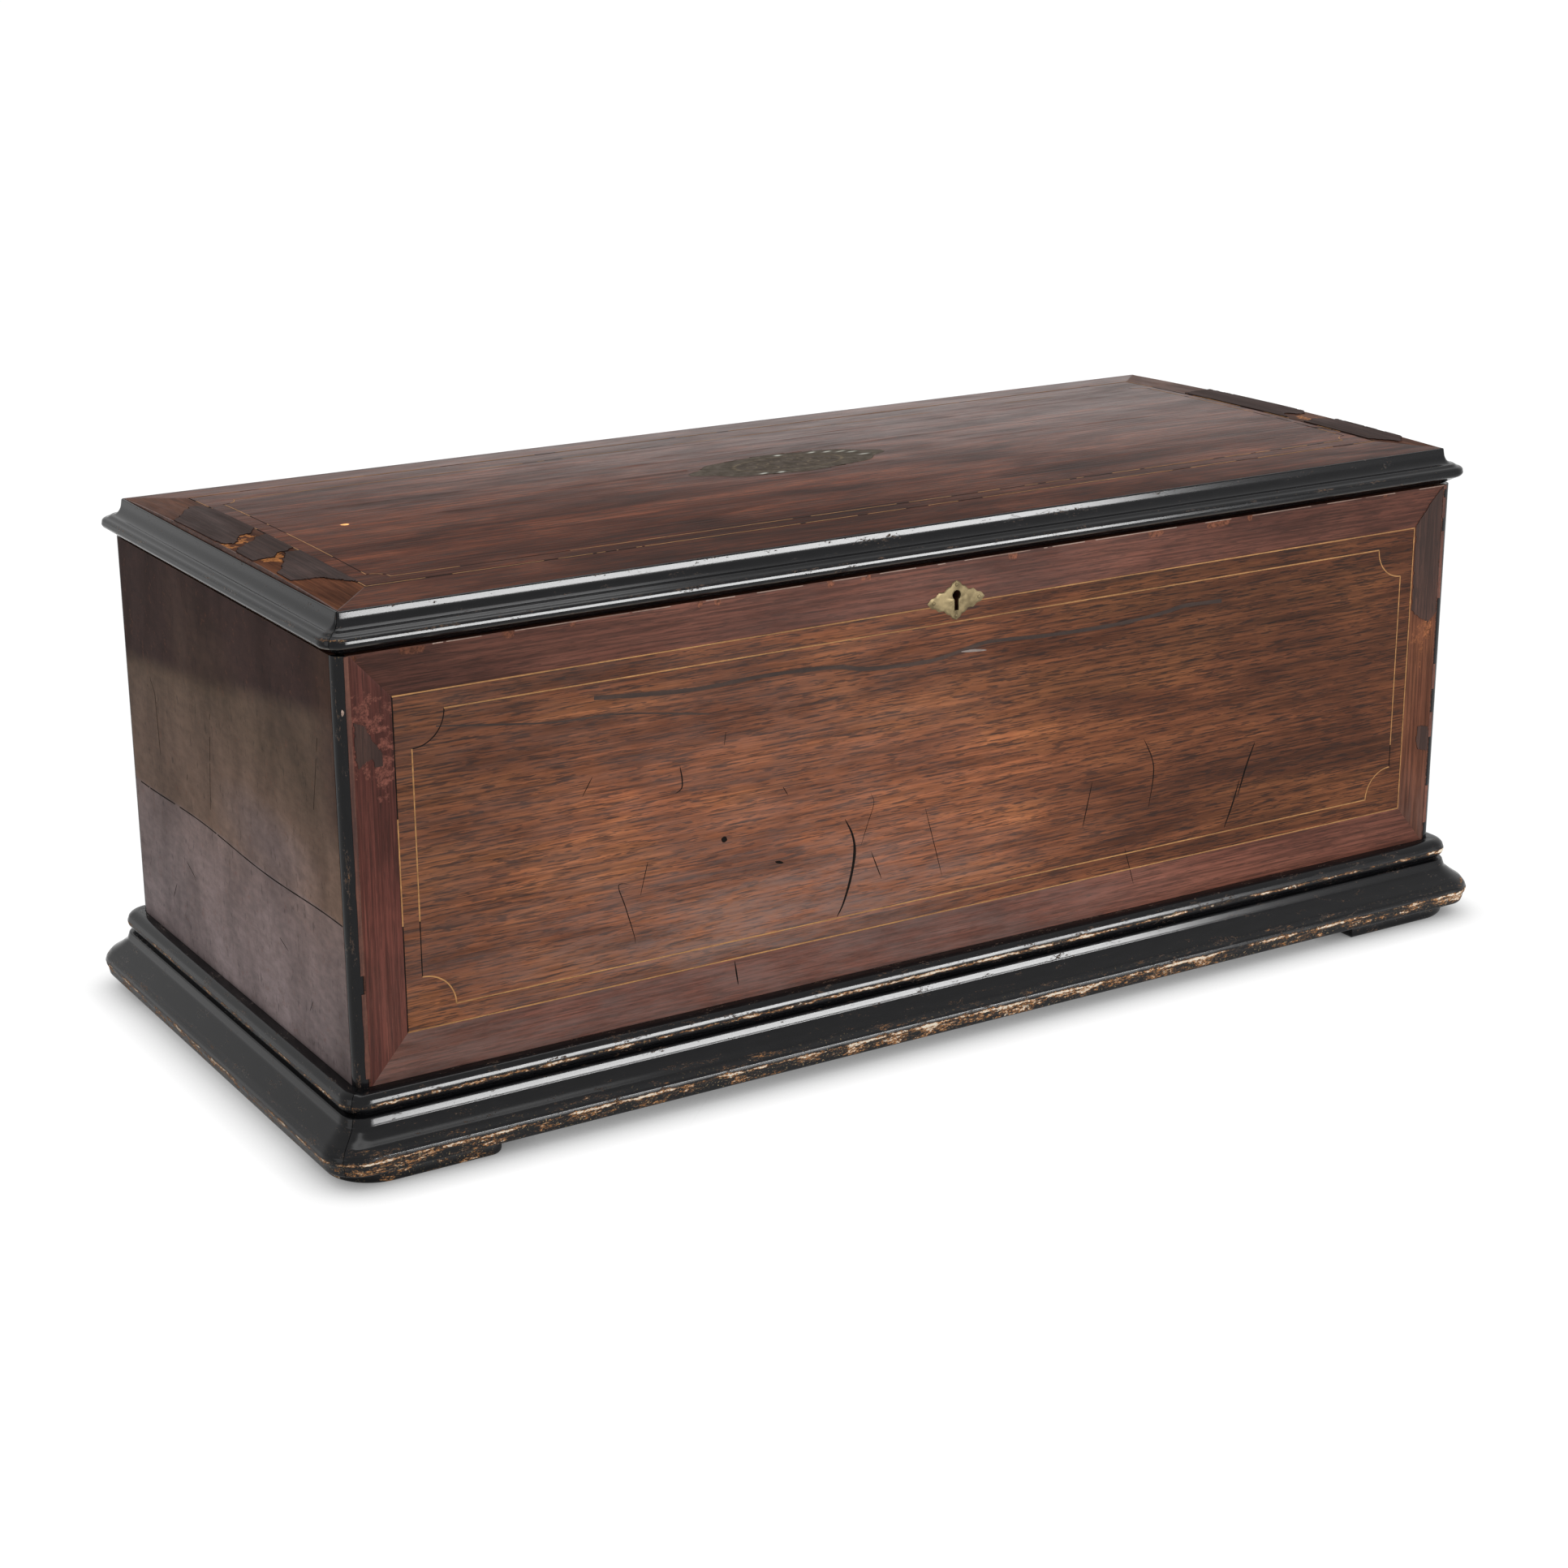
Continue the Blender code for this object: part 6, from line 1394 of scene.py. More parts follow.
    def strings(self) -> None:
        """Boxwood strings over dark grooves, with small inward corners on the inner one."""
        l, r, f, b = self.left_x, self.right_x, self.front_y, self.back_y
        il, ir, jf, jb, corner = -307.0, 317.0, -101.0, 103.0, 9.0
        lines: List[Tuple[str, List[Pair], float]] = [
            ("outer_front", [(l, f), (r, f)], 0.2), ("outer_back", [(l, b), (r, b)], 0.1),
            ("outer_left", [(l, f), (l, b)], 0.5), ("outer_right", [(r, f), (r, b)], 0.5),
            ("inner_front", [(il + corner, jf), (ir - corner, jf)], 0.3),
            ("inner_back", [(il + corner, jb), (ir - corner, jb)], 0.1),
            ("inner_left", [(il, jf + corner), (il, jb - corner)], 0.45),
            ("inner_right", [(ir, jf + corner), (ir, jb - corner)], 0.4)]
        for word, cx, cy, start in (("front_left", il, jf, 0), ("front_right", ir, jf, 90),
                                    ("back_right", ir, jb, 180), ("back_left", il, jb, 270)):
            path = [tuple(p) for p in arc((cx, cy), corner, start, start + 90, 12)]
            lines.append(("corner_" + word, path, 0.3))
        for count, (word, path, lost) in enumerate(lines):
            self.ribbon("lid_" + word + "_groove", path, 0.7, "groove", 0.03, 161 + count)
            self.ribbon("lid_" + word + "_string", path, 0.55, "boxwood", 0.07, 171 + 5 * count, lost)
        path = [(316, -60), (322, -75), (330, -84)]
        self.ribbon("lid_split_right", path, 0.6, "groove", 0.1, 201, 0.0, True)

    def remnants(self) -> None:
        """Islands of lifted veneer on the end bands, edged by the noise that bends their outlines."""
        shapes = {
            "lid_remnant_back": [
                (-316.6, 76), (-321.4, 95.1), (-330.9, 87.6), (-340.0, 70.6), (-344.4, 65.3), (-344.4, 16.9),
                (-342.0, 4.4), (-338.2, 0.6), (-330.2, 16.5), (-323.0, 18.0), (-316.6, 30.0)],
            "lid_remnant_middle": [
                (-344.4, -18.8), (-337.1, -9.8), (-321.3, 6.7), (-316.6, 10.0), (-316.6, -24.0),
                (-322.5, -29.0), (-327.5, -30.1), (-332.9, -36.6), (-344.4, -38.9)],
            "lid_remnant_front": [
                (-316.6, -34.0), (-322.5, -33.0), (-330.0, -46.0), (-335.0, -57.0), (-342.3, -69.3),
                (-342.7, -84.3), (-335.1, -86.0), (-328.0, -85.7), (-323.9, -92.6), (-316.9, -101.0)],
            "lid_remnant_right_a": [(323, 60), (344, 64), (344, -24), (336, -30), (330, -22), (323, -34)],
            "lid_remnant_right_b": [(323, -52), (334, -48), (344, -58), (344, -110), (334, -118),
                                    (323, -104)]}
        frayed = Frayed(211, (2.0, 5.0), 4.0, 0.40, 0.12, 14.0, self.on_end_band, grown=0.06, margin=2.0)
        for name, outline in shapes.items():
            self.island(name, outline, "remnant", frayed)

    def on_end_band(self, x: np.ndarray) -> np.ndarray:
        """Which places lie on an end band."""
        return (np.abs(x) < self.half_x) & ((x < self.left_x - 0.4) | (x > self.right_x + 0.4))


@dataclass
class Mouldings:
    """Ebonised lengths round the plinth and the lid, with mitred and worn corners."""

    palette: Palette
    mitre_gap: float = 0.22
    section_step: float = 1.7

    @staticmethod
    def corner_radius(overhang: np.ndarray) -> np.ndarray:
        """How far a corner is worn round: it grows with the overhang and is sharp at the lid panel."""
        grown = CORNER_STRIP * (1 + overhang / LID_RIM)
        return np.clip(np.minimum(grown, CORNER_STRIP + CORNER_GROWTH * overhang), 0, None)

    @staticmethod
    def plinth_ring() -> np.ndarray:
        """Rows of overhang, height, wear and painted highlight line: lap, bead, step, ogee, nose and ledge.
        """
        points, turn = faceted((3.65, 40.25), 5.75, 90, -60, 30, (12, 17))
        bead = np.column_stack([points, 0.13 + 0.84 * bell(turn, -7.0, 10.0), 0 * turn])
        ogee = flowing(np.array([(5.95, 34.05), (7.2, 34.0), (8.2, 33.85), (8.85, 33.4), (9.15, 32.7),
                                 (9.5, 31.59), (9.85, 30.48), (10.2, 29.37), (10.95, 28.35), (12.4, 27.1),
                                 (15.0, 25.0), (17.4, 23.3), (19.0, 22.0), (21.09, 19.01)]), 4)[:-1]
        slope = np.linspace(0, 1, len(ogee))
        ogee = np.column_stack([ogee, 0.05 + 0.26 * soft_step(0.85, 1.0, slope), 0 * slope])
        points, turn = faceted((17.5, 16.3), 4.5, 37, -40, 11, (1, 5))
        wear = 0.13 + 0.49 * soft_step(4, -12, turn) + 0.62 * bell(turn, -3.0, 12.0)
        nose = np.column_stack([points, wear, 0 * turn])
        heel = [(20.5, 11.2, 0.60, 0), (20.2, 9.4, 0.45, 0), (19.7, 8.6, 0.2, 0), (19.0, 8.3, 0, 0),
                (-22.0, 8.3, 0, 0), (-22.0, 44.7, 0, 0), (0.3, 44.7, 0, 0)]
        return np.vstack([[(0.3, 46.0, 0.20, 0)], bead, ogee, nose, heel])

    @staticmethod
    def lid_ring() -> np.ndarray:
        """Rows of overhang, height, wear and painted highlight line: top fillet, hollow, nose and the slope
        back.
        """
        edge = flowing(np.array([(-5.0, LID_TOP), (-4.65, 283.36), (-4.3, 283.18), (-4.08, 282.85),
                                 (-3.99, 282.4), (-3.80, 281.33), (-3.613, 280.27)]), 3)
        edge = np.column_stack([edge, np.full(len(edge), 0.10), 0 * edge[:, 0]])
        angle = np.radians(np.linspace(10, 90, 12))[1:]
        hollow = np.column_stack([-3.7 + 5.7 * (1 - np.cos(angle)), 281.4 - 6.53 * np.sin(angle),
                                  0 * angle, 0 * angle])
        points, turn = faceted((4.0, 270.47), 3.0, 75, -70, 29, (9, 17))
        # The fourth column paints a highlight line on the underside of the nose.
        nose = np.column_stack([points, 0.05 + 0.30 * bell(turn, 42.0, 12.0), 0.8 * bell(turn, -46.0, 9.0)])
        return np.vstack([edge, hollow, [(2.9, 274.35, 0, 0), (3.4, 273.75, 0, 0)], nose,
                          [(0.0, 264.9, 0, 0), (-2.5, LID_BOTTOM, 0, 0), (-5.0, LID_BOTTOM, 0, 0)]])

    @staticmethod
    def wear(side: Side, run: np.ndarray, on_lid: bool) -> np.ndarray:
        """How much the wear of a length is raised along its run: most at the rubbed corners.

        Args:
            side: Which side the length lies on.
            run: Places along it.
            on_lid: Whether it is a lid moulding.

        Returns:
            A factor for each place.
        """
        drift = fractal((run + 900) / 60.0, 0 * run, 17 + len(side.value), 3)
        if on_lid:
            level, corner, reach = (0.35, -352.0, 9.0) if side is Side.FRONT else (0.15, -150.0, 5.0)
            return level + 0.5 * drift + 0.9 * bell(run, corner, reach) * (side in (Side.FRONT, Side.LEFT))
        if side is Side.FRONT:
            return (0.52 + 0.46 * drift + 0.30 * bell(run, 10.0, 190.0)
                    + 0.75 * bell(run, 352.0, 13.0) - 0.15 * soft_step(150, 230, run))
        return 0.45 + 0.45 * drift

    def length(self, side: Side, on_lid: bool, seed: int) -> Skin:
        """One length: the ring carried along the side, and at each end round the worn corner to
        the mitre plane. Worn places are sunk by noise, most where the wear is high, and at the
        back of the lid the underside is let out round the hinge leaves.

        Args:
            side: Which side it lies on.
            on_lid: Whether it is a lid moulding.
            seed: Picks the wear.

        Returns:
            The closed skin with its values worn and line, the share of a painted highlight line.
        """
        ring = self.lid_ring() if on_lid else self.plinth_ring()
        chip = 0.2 if on_lid else 0.5
        half = HALF_LENGTH if side.along_x else HALF_DEPTH
        depth = HALF_DEPTH if side.along_x else HALF_LENGTH
        turn = np.radians(np.linspace(45, 0, 9))
        straight = np.linspace(-1, 1, int(2 * half / self.section_step))[1:-1]
        notched = on_lid and side is Side.BACK
        if notched:
            cuts = np.array([s * (HINGE_X + k) for s in (-1, 1) for k in (-25.35, -25.3, 25.3, 25.35)])
            straight = np.unique(np.concatenate([straight, cuts / half]))
        share = np.concatenate([np.full(9, -1.0), straight, np.full(9, 1.0)])[:, None]
        angle = np.concatenate([turn, np.zeros(len(straight)), turn[::-1]])[:, None]
        bend = np.sign(share) * np.sin(angle)
        around = np.concatenate([[0], np.cumsum(np.hypot(*np.diff(ring[:, :2], axis=0).T))])[None, :]
        tangent = np.roll(ring[:, :2], -1, 0) - np.roll(ring[:, :2], 1, 0)
        normal = np.stack([-tangent[:, 1], tangent[:, 0]], 1) / np.linalg.norm(tangent, axis=1)[:, None]
        run = share * half
        worn = np.clip(ring[None, :, 2] * self.wear(side, run, on_lid), 0, 1.15)
        rough = fractal((run + 900) / 7.0, around / 3.0, seed + 3, 4)
        sink = chip * soft_step(0.35, 0.9, worn) * soft_step(0.40, 0.75, rough)
        over = ring[None, :, 0] - normal[None, :, 0] * sink
        high = ring[None, :, 1] - normal[None, :, 1] * sink
        if notched:
            near = np.abs(np.abs(run) - HINGE_X) < 25.32
            high = np.where(near & (over < 6.85) & (high < 266.0), 265.7, high)
        radius = self.corner_radius(over)
        gap = np.sign(share) * self.mitre_gap * (np.abs(share) == 1)
        along = share * (half + over - radius) + bend * radius - gap
        out = side.outward * (depth + over - radius + radius * np.cos(angle))
        pair = (along, out) if side.along_x else (out, along)
        points = np.stack([pair[0], pair[1], np.broadcast_to(high, along.shape)], -1)
        broken = soft_step(0.30, 0.45, fractal(run / 25.0, 0 * run, 9, 3))
        # The painted highlight line is full on the left side and a quarter as strong elsewhere, broken by
        # noise.
        line = ring[None, :, 3] * (1.0 if side is Side.LEFT else 0.25) * broken
        values = {"worn": worn, "line": line}
        return carried(points, {key: np.broadcast_to(grid, along.shape) for key, grid in values.items()})

    def build(self) -> None:
        """Makes the eight lengths."""
        for count, side in enumerate(Side):
            finish = self.palette["black_x" if side.along_x else "black_y"]
            skin = self.length(side, False, 301 + count)
            piece = make("plinth_length_" + side.value, skin, finish, "case")
            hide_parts("base_moulding_" + side.value)
            skin = self.length(side, True, 321 + count)
            piece = make("lid_length_" + side.value, skin, finish, "lid")
            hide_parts("lid_moulding_" + side.value)

    def corner_strips(self) -> None:
        """Quarter-round strips up the four corners, rubbed along their middle."""
        z = np.linspace(CASE_BOTTOM, CASE_TOP, 130)[:, None]
        middle = np.concatenate([[0], bell(np.linspace(-45, 45, 13), 0.0, 26.0)])[None, :]
        worn = 0.16 * middle * (0.4 + 1.2 * fractal(z / 9.0, middle * 3, 341, 4))
        worn = worn + 0.15 * soft_step(CASE_TOP - 8, CASE_TOP, z)
        for name, x_side, y_side in CORNERS:
            heart = (x_side * (HALF_LENGTH - CORNER_STRIP), y_side * (HALF_DEPTH - CORNER_STRIP))
            start = math.degrees(math.atan2(y_side, x_side)) - 45
            ring = np.vstack([[heart], arc(heart, CORNER_STRIP, start, start + 90, 12)])
            points = np.stack(np.broadcast_arrays(ring[None, :, 0], ring[None, :, 1], z), -1)
            skin = carried(points, {"worn": worn, "line": 0 * worn})
            piece = make("quarter_round_" + name, skin, self.palette["black_z"], "case")
            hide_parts("corner_strip_" + name)

    def feet(self) -> None:
        """Foot blocks with a widely rounded outer corner and round edges; the front left one is
        rounded at its inner end too."""
        corner_x, corner_y, long, deep, radius = 364.0, 164.0, 86.0, 46.0, 26.0
        levels = np.array([(0.0, 1.4, 0.3), (0.5, 0.8, 0.4), (1.2, 0.3, 0.4), (2.4, 0.05, 0.35),
                           (3.6, 0.0, 0.35), (5.2, 0.12, 0.45), (6.6, 0.5, 0.8), (7.4, 1.05, 1.05),
                           (8.0, 1.9, 0.8)])
        for name, x_side, y_side in CORNERS:
            end, more = (7.0, 1.15) if name == "front_left" else (0.8, 0.45)
            outline = np.vstack([[(corner_x - long, corner_y - deep), (corner_x, corner_y - deep)],
                                 arc((corner_x - radius, corner_y - radius), radius, 0, 90, 22),
                                 arc((corner_x - long + end, corner_y - end), end, 90, 180, 8)])
            outline = resampled(np.vstack([outline, outline[:1]]), 1.7)[:-1]
            tangent = np.roll(outline, -1, 0) - np.roll(outline, 1, 0)
            normal = np.stack([tangent[:, 1], -tangent[:, 0]], 1) / np.linalg.norm(tangent, axis=1)[:, None]
            ring = outline[None, :, :] - normal[None, :, :] * levels[:, 1][:, None, None]
            x, y = outline[None, :, 0], outline[None, :, 1]
            noise = fractal(x / 14.0, y / 12.0 + levels[:, 0][:, None] / 6, 351, 4)
            worn = more * levels[:, 2][:, None] * (0.25 + 1.3 * noise) * soft_step(120, 135, y)
            points = np.stack(np.broadcast_arrays(x_side * ring[..., 0], y_side * ring[..., 1],
                                                  levels[:, 0][:, None]), -1)
            piece = make("foot_block_" + name, carried(points, {"worn": worn, "line": 0 * worn}),
                         self.palette["black_x"], "case")
            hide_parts("foot_" + name)


def grown_radius(outline: np.ndarray, angle: np.ndarray) -> np.ndarray:
    """Distance from the origin to a star-shaped outline at given angles, read off between its corners."""
    spread = resampled(np.vstack([outline, outline[:1]]), 0.05)
    at = np.arctan2(spread[:, 1], spread[:, 0])
    order = np.argsort(at)
    at, reach = at[order], np.hypot(spread[:, 0], spread[:, 1])[order]
    return np.interp(angle, np.concatenate([at - 2 * np.pi, at, at + 2 * np.pi]), np.tile(reach, 3))


@dataclass
class KeyPlate:
    """The keyhole plate: a scalloped brass lozenge, bevelled, with four domed pins."""

    palette: Palette
    half_long: float = 18.2
    half_high: float = 10.75
    eye: float = 2.6
    slot: float = 1.3
    hole_high: float = 5.4

    def outlines(self) -> Tuple[np.ndarray, np.ndarray]:
        """The keyhole's outline and the plate's, both round the plate's middle."""
        quarter = np.array(((1.0, 0.0), (0.87, 0.24), (0.72, 0.30), (0.60, 0.48), (0.42, 0.47),
                            (0.31, 0.66), (0.20, 0.72), (0.15, 0.86), (0.0, 1.0)))
        upper = np.vstack([quarter, quarter[-2::-1] * (-1, 1)])
        plate = np.vstack([upper, -upper[1:-1]]) * (self.half_long, self.half_high)
        dip = math.degrees(math.acos(self.slot / self.eye))
        eye = arc((0.0, self.hole_high - self.eye), self.eye, -dip, 180 + dip, 24)
        hole = np.vstack([eye, [(-self.slot, -self.hole_high), (self.slot, -self.hole_high)]])
        return hole, plate

    def build(self) -> None:
        """Makes the plate: rings blended from the keyhole out to the scalloped edge."""
        hole, plate = self.outlines()
        angle = np.linspace(-np.pi, np.pi, 181)[:-1]
        inner, outer = grown_radius(hole, angle), grown_radius(plate, angle)
        rows = np.array([(0.0, -0.5), (0.0, 0.62), (0.03, 0.78), (0.10, 0.80), (0.15, 0.66), (0.5, 0.62),
                         (0.86, 0.62), (0.90, 0.60), (0.97, 0.36), (1.0, 0.30), (1.0, -0.5)])
        share, lift = rows[:, 0][:, None], rows[:, 1][:, None]
        reach = inner[None, :] * (1 - share) + outer[None, :] * share
        ripple = 0.05 * (fractal(reach / 5.0, angle[None, :] * 2, 361, 3) - 0.5) * (lift > 0.5)
        points = np.stack([reach * np.cos(angle), -HALF_DEPTH - (lift + ripple) + 0 * reach,
                           KEYHOLE_Z + reach * np.sin(angle)], -1)
        skin = Skin(points.reshape(-1, 3), [woven(len(rows), 180, True, True)], {})
        piece = make("key_plate", skin, self.palette["old_brass"], "case", 28.0)
        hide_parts("escutcheon")
        for count, (x, z) in enumerate(((-14.4, 0.0), (14.4, 0.0), (0.0, 8.4), (0.0, -8.4))):
            self.pin(f"key_plate_pin_{count}", x, KEYHOLE_Z + z)

    def pin(self, name: str, x: float, z: float) -> None:
        """A small domed pin: half an ellipse turned round Y."""
        dome = [(-0.55 - 0.42 * math.sin(a), 1.15 * math.cos(a)) for a in np.radians((0, 25, 50, 72))]
        profile = [(0.0, 0.02), (0.0, 1.15)] + dome + [(-0.98, 0.02)]
        skin = turned(profile, (x, -HALF_DEPTH, z), 1, 14)
        make(name, skin, self.palette["old_brass"], "case", 60.0)


@dataclass
class Medallion:
    """The oval plate in the lid: a dark middle with brass scrolls in a worn border with pearl."""

    palette: Palette
    half_long: float = 62.5
    half_deep: float = 26.0
    middle_y: float = 17.0

    def build(self) -> None:
        """Makes the plate as a fine grid with its values for brass, border and pearl."""
        x, y = np.meshgrid(np.linspace(-64, 64, 300), np.linspace(-27.5, 27.5, 130), indexing="ij")
        angle = np.arctan2(y / self.half_deep, x / self.half_long)
        reach = np.hypot(x / self.half_long, y / self.half_deep)
        edge = 0.93 + 0.035 * np.cos(8 * angle) + 0.06 * bell(np.abs(np.cos(angle)), 1.0, 0.05)
        inner = np.hypot(x / 34.5, y / 16.5)
        scroll = np.zeros_like(x)
        for side in (-1, 1):
            for cx, cy, r, turns in ((15, 5, 6.5, 1.4), (15, -5, 6.5, 1.4), (25, 0, 5.0, 1.2),
                                     (5, 8, 4.2, 1.1), (5, -8, 4.2, 1.1)):
                u, v = side * x - cx, (y - cy) * (1 if cy >= 0 else -1)
                swirl = np.hypot(u, v)
                phase = np.arctan2(v, u) / (2 * np.pi) + swirl / r * turns
                curl = bell((phase % 1.0) - 0.5, 0.0, 0.13) * soft_step(r, r - 1.0, swirl)
                scroll = np.maximum(scroll, curl)
        ring = bell(inner, 1.0, 0.035)
        petals = soft_step(0.10, 0.35, np.cos(16 * angle) * np.sin((reach - 0.6) * 22))
        border = soft_step(1.02, 1.06, inner) * (0.35 + 0.45 * petals) + 0.6 * bell(reach, 0.90, 0.02)
        beads = (angle + np.pi) / (2 * np.pi) * 28
        cell = np.floor(beads)
        near = bell(beads % 1.0 - 0.5, 0.0, 0.16)
        picked = hashed(cell, cell * 0 + 3, 371) > 0.70
        pearl = near * bell(reach, 0.80, 0.045) * picked
        values = {"brass": np.clip(0.85 * scroll * (inner < 0.92) + ring, 0, 1),
                  "border": np.clip(border, 0, 1), "pearl": np.clip(1.6 * pearl, 0, 1)}
        lift = 0.16 + 0.05 * border + 0.04 * values["brass"] + 0.05 * (fractal(x / 3.0, y / 3.0, 372) - 0.5)
        place_y = y + self.middle_y
        top = np.stack([x, place_y, lid_height(place_y) + lift], -1)
        under = np.stack([x, place_y, lid_height(place_y) - 0.9], -1)
        kept = (reach < edge)[:-1, :-1]
        skin = sheet(top, under, kept, values)
        piece = make("lid_medallion", skin, self.palette["medallion"], "lid")
        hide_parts("lid_cartouche")


@dataclass
class Movement:
    """Details of the movement: cylinder with its pins, screws, and the card under the lid."""

    palette: Palette
    teeth: int = 72
    tunes: int = 6
    pins_per_track: int = 5

    def build(self) -> None:
        """Makes every detail of the movement."""
        self.cylinder()
        self.pins()
        self.screws()
        self.card()

    def cylinder(self) -> None:
        """The cylinder's drum: a long round shell with its end caps and rims."""
        low, high = (v * 1000 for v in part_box("cylinder"))
        centre = ((low.x + high.x) / 2, (low.y + high.y) / 2, (low.z + high.z) / 2)
        half = (high.x - low.x) / 2
        radius = (high.z - low.z) / 2
        bore = 5.35
        profile = [(-half, bore), (-half, radius - 1.2), (-half + 0.3, radius - 0.3), (-half + 1.0, radius),
                   (half - 1.0, radius), (half - 0.3, radius - 0.3), (half, radius - 1.2), (half, bore)]
        skin = turned(profile, centre, 0, 96)
        piece = make("pinned_cylinder", skin, self.palette["brass"], "cylinder")
        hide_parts("cylinder")

    def pins(self) -> None:
        """Steel pins: on each of the tracks a few four-sided pegs at hashed angles."""
        low, high = (v * 1000 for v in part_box("cylinder"))
        comb_low, comb_high = (v * 1000 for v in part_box("comb"))
        centre_y, centre_z, radius = (low.y + high.y) / 2, (low.z + high.z) / 2, (high.z - low.z) / 2
        pitch = (comb_high.x - comb_low.x) / self.teeth
        count = self.teeth * self.tunes * self.pins_per_track
        index = np.arange(count)
        track, rank = index // self.pins_per_track, index % self.pins_per_track
        tooth, tune = track // self.tunes, track % self.tunes
        x = comb_low.x + (tooth + 0.5) * pitch + (tune - 2.5) * 0.55
        angle = 2 * np.pi * (rank + hashed(track, rank, 381)) / self.pins_per_track
        swing, tall = 0.22, 0.75
        offsets = np.array([(-1, -1), (1, -1), (1, 1), (-1, 1)]) * swing
        rings = []
        for height, scale in ((-0.3, 1.0), (tall, 0.8)):
            reach = radius + height
            turn = angle[:, None] + offsets[None, :, 1] * scale / radius
            rings.append(np.stack([x[:, None] + offsets[None, :, 0] * scale, centre_y + reach * np.cos(turn),
                                   centre_z + reach * np.sin(turn)], -1))
        points = np.concatenate(rings, 1).reshape(-1, 3)
        corners = np.array([(0, 1, 5, 4), (1, 2, 6, 5), (2, 3, 7, 6), (3, 0, 4, 7), (4, 5, 6, 7),
                            (3, 2, 1, 0)])
        quads = (index[:, None, None] * 8 + corners[None]).reshape(-1, 4)
        make("cylinder_pins", Skin(points, [quads], {}), self.palette["steel"], "cylinder", 20.0)

    def screw(self, name: str, at: Triple, radius: float, body: str, finish: str = "blued") -> None:
        """A slotted screw head: a square grid pressed into a disc, domed, and sunk along the slot."""
        u = np.array([-1, -0.75, -0.5, -0.25, 0, 0.25, 0.5, 0.75, 1])[:, None]
        v = np.array([-1, -0.8, -0.5, -0.16, -0.12, 0.12, 0.16, 0.5, 0.8, 1])[None, :]
        x, y = u * np.sqrt(1 - v**2 / 2), v * np.sqrt(1 - u**2 / 2)
        dome = 0.55 * (1 - (x**2 + y**2) * 0.7) - 0.45 * (np.abs(v) < 0.13) + 0 * x
        top = np.stack([at[0] + radius * x, at[1] + radius * y, at[2] + radius * dome], -1)
        under = top.copy()
        under[..., 2] = at[2] - 0.4
        make(name, sheet(top, under), self.palette[finish], body, 30.0)

    def screws(self) -> None:
        """Screws along the comb and at the bedplate's corners."""
        low, high = (v * 1000 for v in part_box("comb"))
        for count, x in enumerate(np.linspace(low.x + 14, high.x - 14, 8)):
            self.screw(f"comb_screw_{count}", (x, low.y + 7.5, high.z), 3.6, "case")
        low, high = (v * 1000 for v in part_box("bedplate"))
        places = [(x, y) for y in (low.y + 9, high.y - 9) for x in (low.x + 9, high.x - 9)]
        for count, (x, y) in enumerate(places):
            self.screw(f"bed_screw_{count}", (x, y, BED_TOP), 4.2, "case", "steel")

    def card(self) -> None:
        """The tune card: a bare sheet with a ruled double border and blank lines."""
        low, high = (v * 1000 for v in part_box("tune_sheet"))
        x, y = np.meshgrid(np.linspace(low.x, high.x, 190), np.linspace(low.y, high.y, 133), indexing="ij")
        edge = np.minimum(np.minimum(x - low.x, high.x - x), np.minimum(y - low.y, high.y - y))
        ink = np.maximum(bell(edge, 5.0, 0.55), bell(edge, 7.4, 0.4))
        rules = bell((y + 400) % 8.0, 4.0, 0.35) * (edge > 11)
        values = {"ink": np.clip(np.maximum(ink, 0.6 * rules), 0, 1)}
        under = np.stack([x, y, low.z + 0 * x], -1)
        top = np.stack([x, y, high.z + 0 * x], -1)
        piece = make("ruled_card", sheet(under, top, None, values), self.palette["card"], "lid")
        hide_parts("tune_sheet")


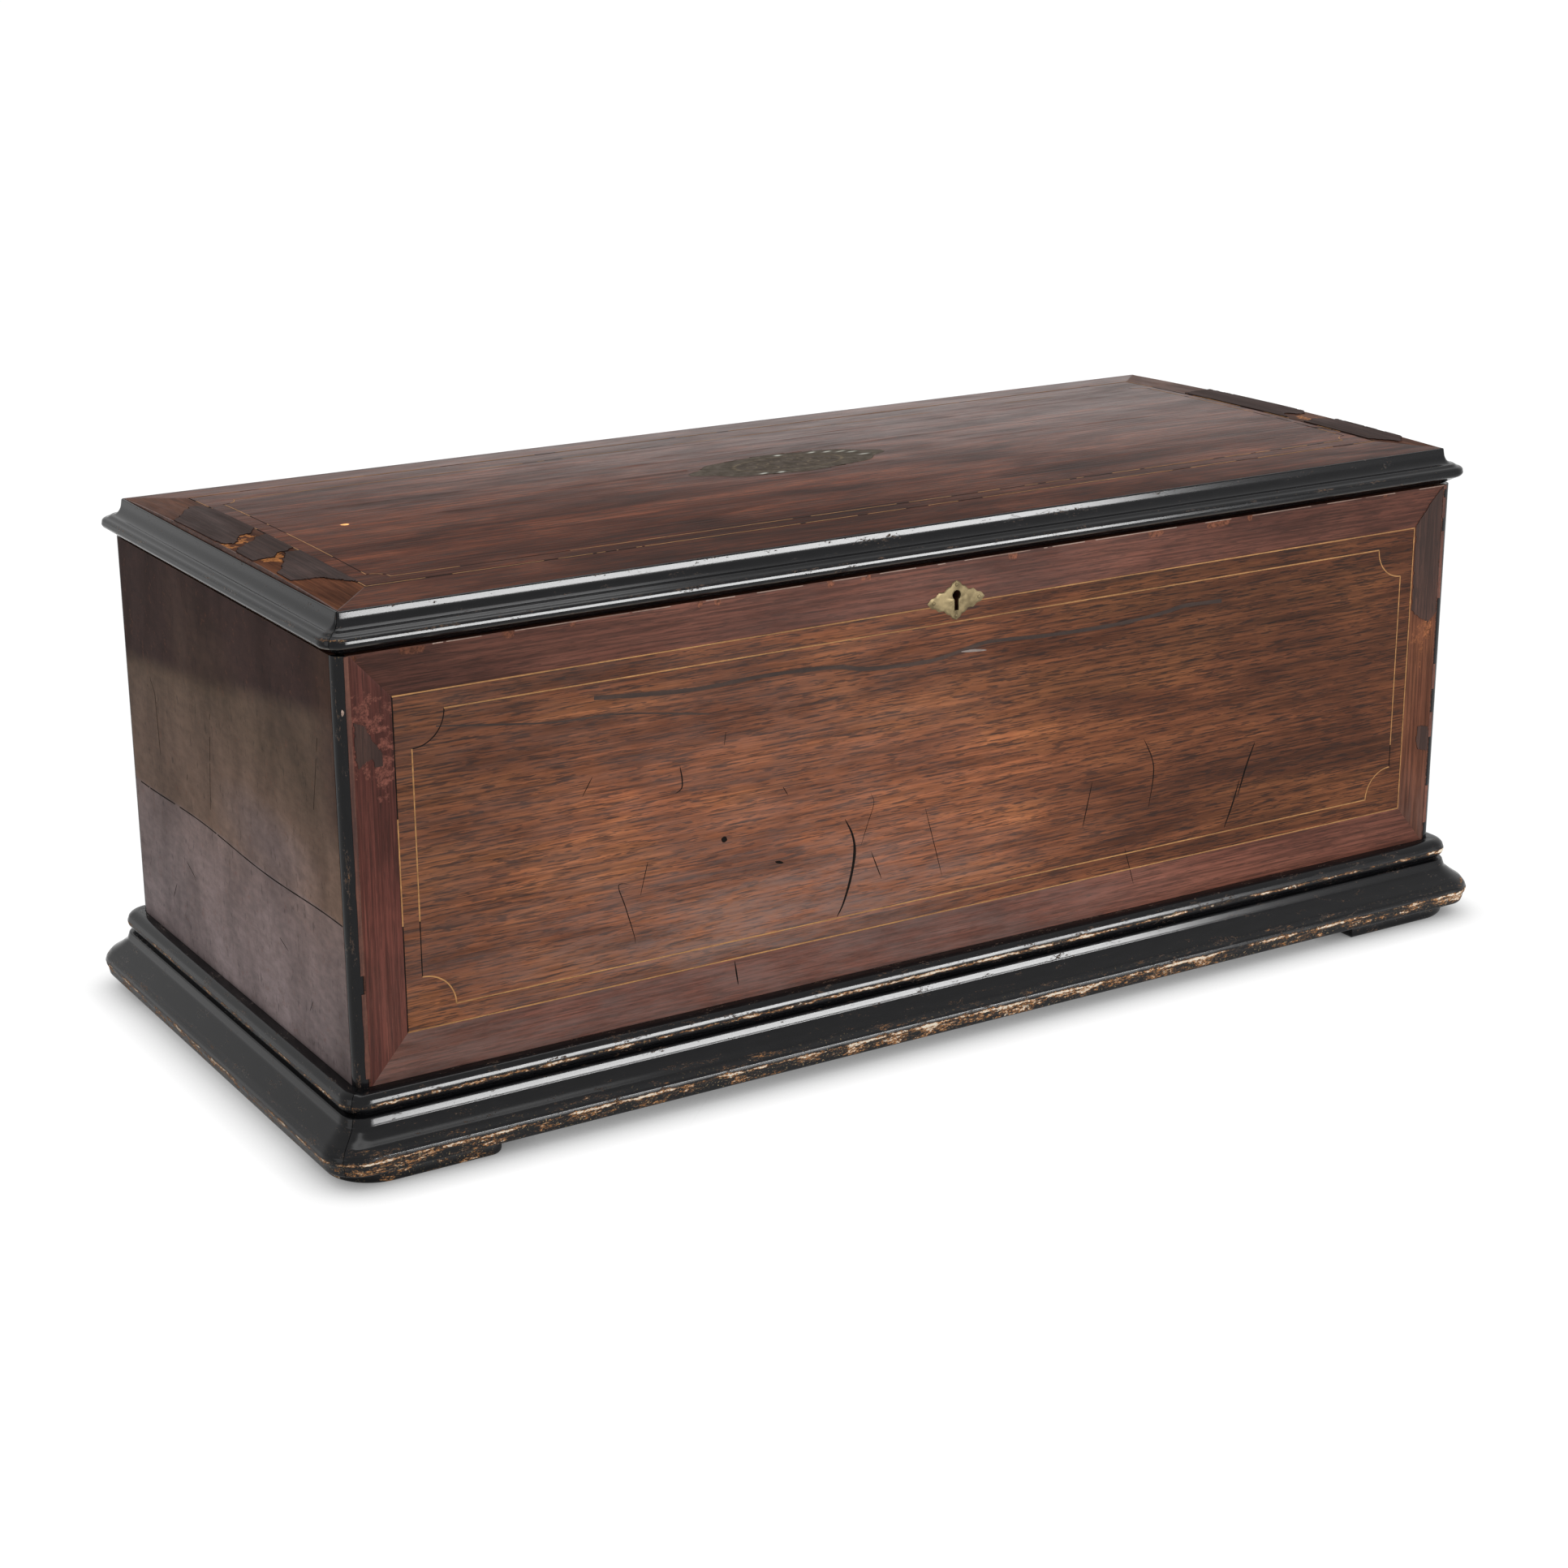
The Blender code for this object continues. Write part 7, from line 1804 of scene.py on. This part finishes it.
@dataclass
class Dresser:
    """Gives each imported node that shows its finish, and rounds its look with modifiers."""

    palette: Palette
    nodes: Dict[str, bpy.types.Object]

    @staticmethod
    def finishes() -> Dict[str, List[str]]:
        """Which nodes get which finish."""
        leaves = [f"hinge_{part}_leaf_{side}" for part in ("case", "lid") for side in ("left", "right")]
        names = {
            "panel": ["front_panel", "back_panel", "lid_panel", "glass_lid_frame"],
            "panel_end": ["left_end_panel", "right_end_panel"],
            "pine": ["bottom_board"],
            "pine_y": ["lever_partition", "control_partition"],
            "brass": leaves + ["lock_body", "lock_keeper", "cylinder_bearing_left", "cylinder_bearing_right",
                               "barrel_bridge", "comb_base", "cylinder", "cylinder_wheel", "spring_barrel",
                               "great_wheel", "governor_cock", "governor_wheel", "start_lever",
                               "change_lever", "escutcheon", "lid_cartouche"],
            "steel": ["hinge_pin_left", "hinge_pin_right", "lock_bolt", "cylinder_arbor", "winding_arbor",
                      "ratchet_wheel", "drive_pawl", "click", "winding_lever", "fly_worm"],
            "comb_steel": ["comb"],
            "blued": ["mainspring"],
            "iron": ["bedplate"],
            "glass": ["glass_pane"],
            "card": ["tune_sheet"],
            "black_x": [f"foot_{corner}" for corner, _, _ in CORNERS],
            "black_y": [],
            "black_z": [f"corner_strip_{corner}" for corner, _, _ in CORNERS],
        }
        for side in Side:
            names["black_x" if side.along_x else "black_y"] += [f"base_moulding_{side.value}",
                                                                f"lid_moulding_{side.value}"]
        return names

    def build(self) -> None:
        """Dresses every node."""
        for finish, names in self.finishes().items():
            for name in names:
                node = self.nodes[name]
                node.data.materials.clear()
                node.data.materials.append(self.palette[finish])
                if finish in ("brass", "steel", "comb_steel", "iron", "blued"):
                    self.eased(node)
                LOG.info("%s: %s", name, finish)

    @staticmethod
    def eased(node: bpy.types.Object) -> None:
        """Joins the node's triangles and shades its round faces smoothly up to a crease angle."""
        node.data.polygons.foreach_set("use_smooth", np.ones(len(node.data.polygons), bool))
        weld = node.modifiers.new("joined", "WELD")
        weld.merge_threshold = 0.00001
        split = node.modifiers.new("creases", "EDGE_SPLIT")
        split.split_angle = math.radians(32)


def main() -> None:
    """Builds the studio and every sub-assembly in order."""
    logging.basicConfig(level=logging.INFO, format="%(name)s %(message)s")
    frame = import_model()
    Studio().build()
    palette = Palette.mixed()
    Dresser(palette, frame["nodes"]).build()
    FrontVeneers(palette).build()
    left_end = EndVeneers(palette)
    left_end.build()
    EndVeneers(palette, side=Side.RIGHT).build()
    left_end.cracks()
    LidVeneers(palette).build()
    mouldings = Mouldings(palette)
    mouldings.build()
    mouldings.corner_strips()
    mouldings.feet()
    KeyPlate(palette).build()
    Medallion(palette).build()
    Movement(palette).build()
    bpy.context.scene.view_settings.view_transform = "Standard"


if __name__ == "__main__":
    main()
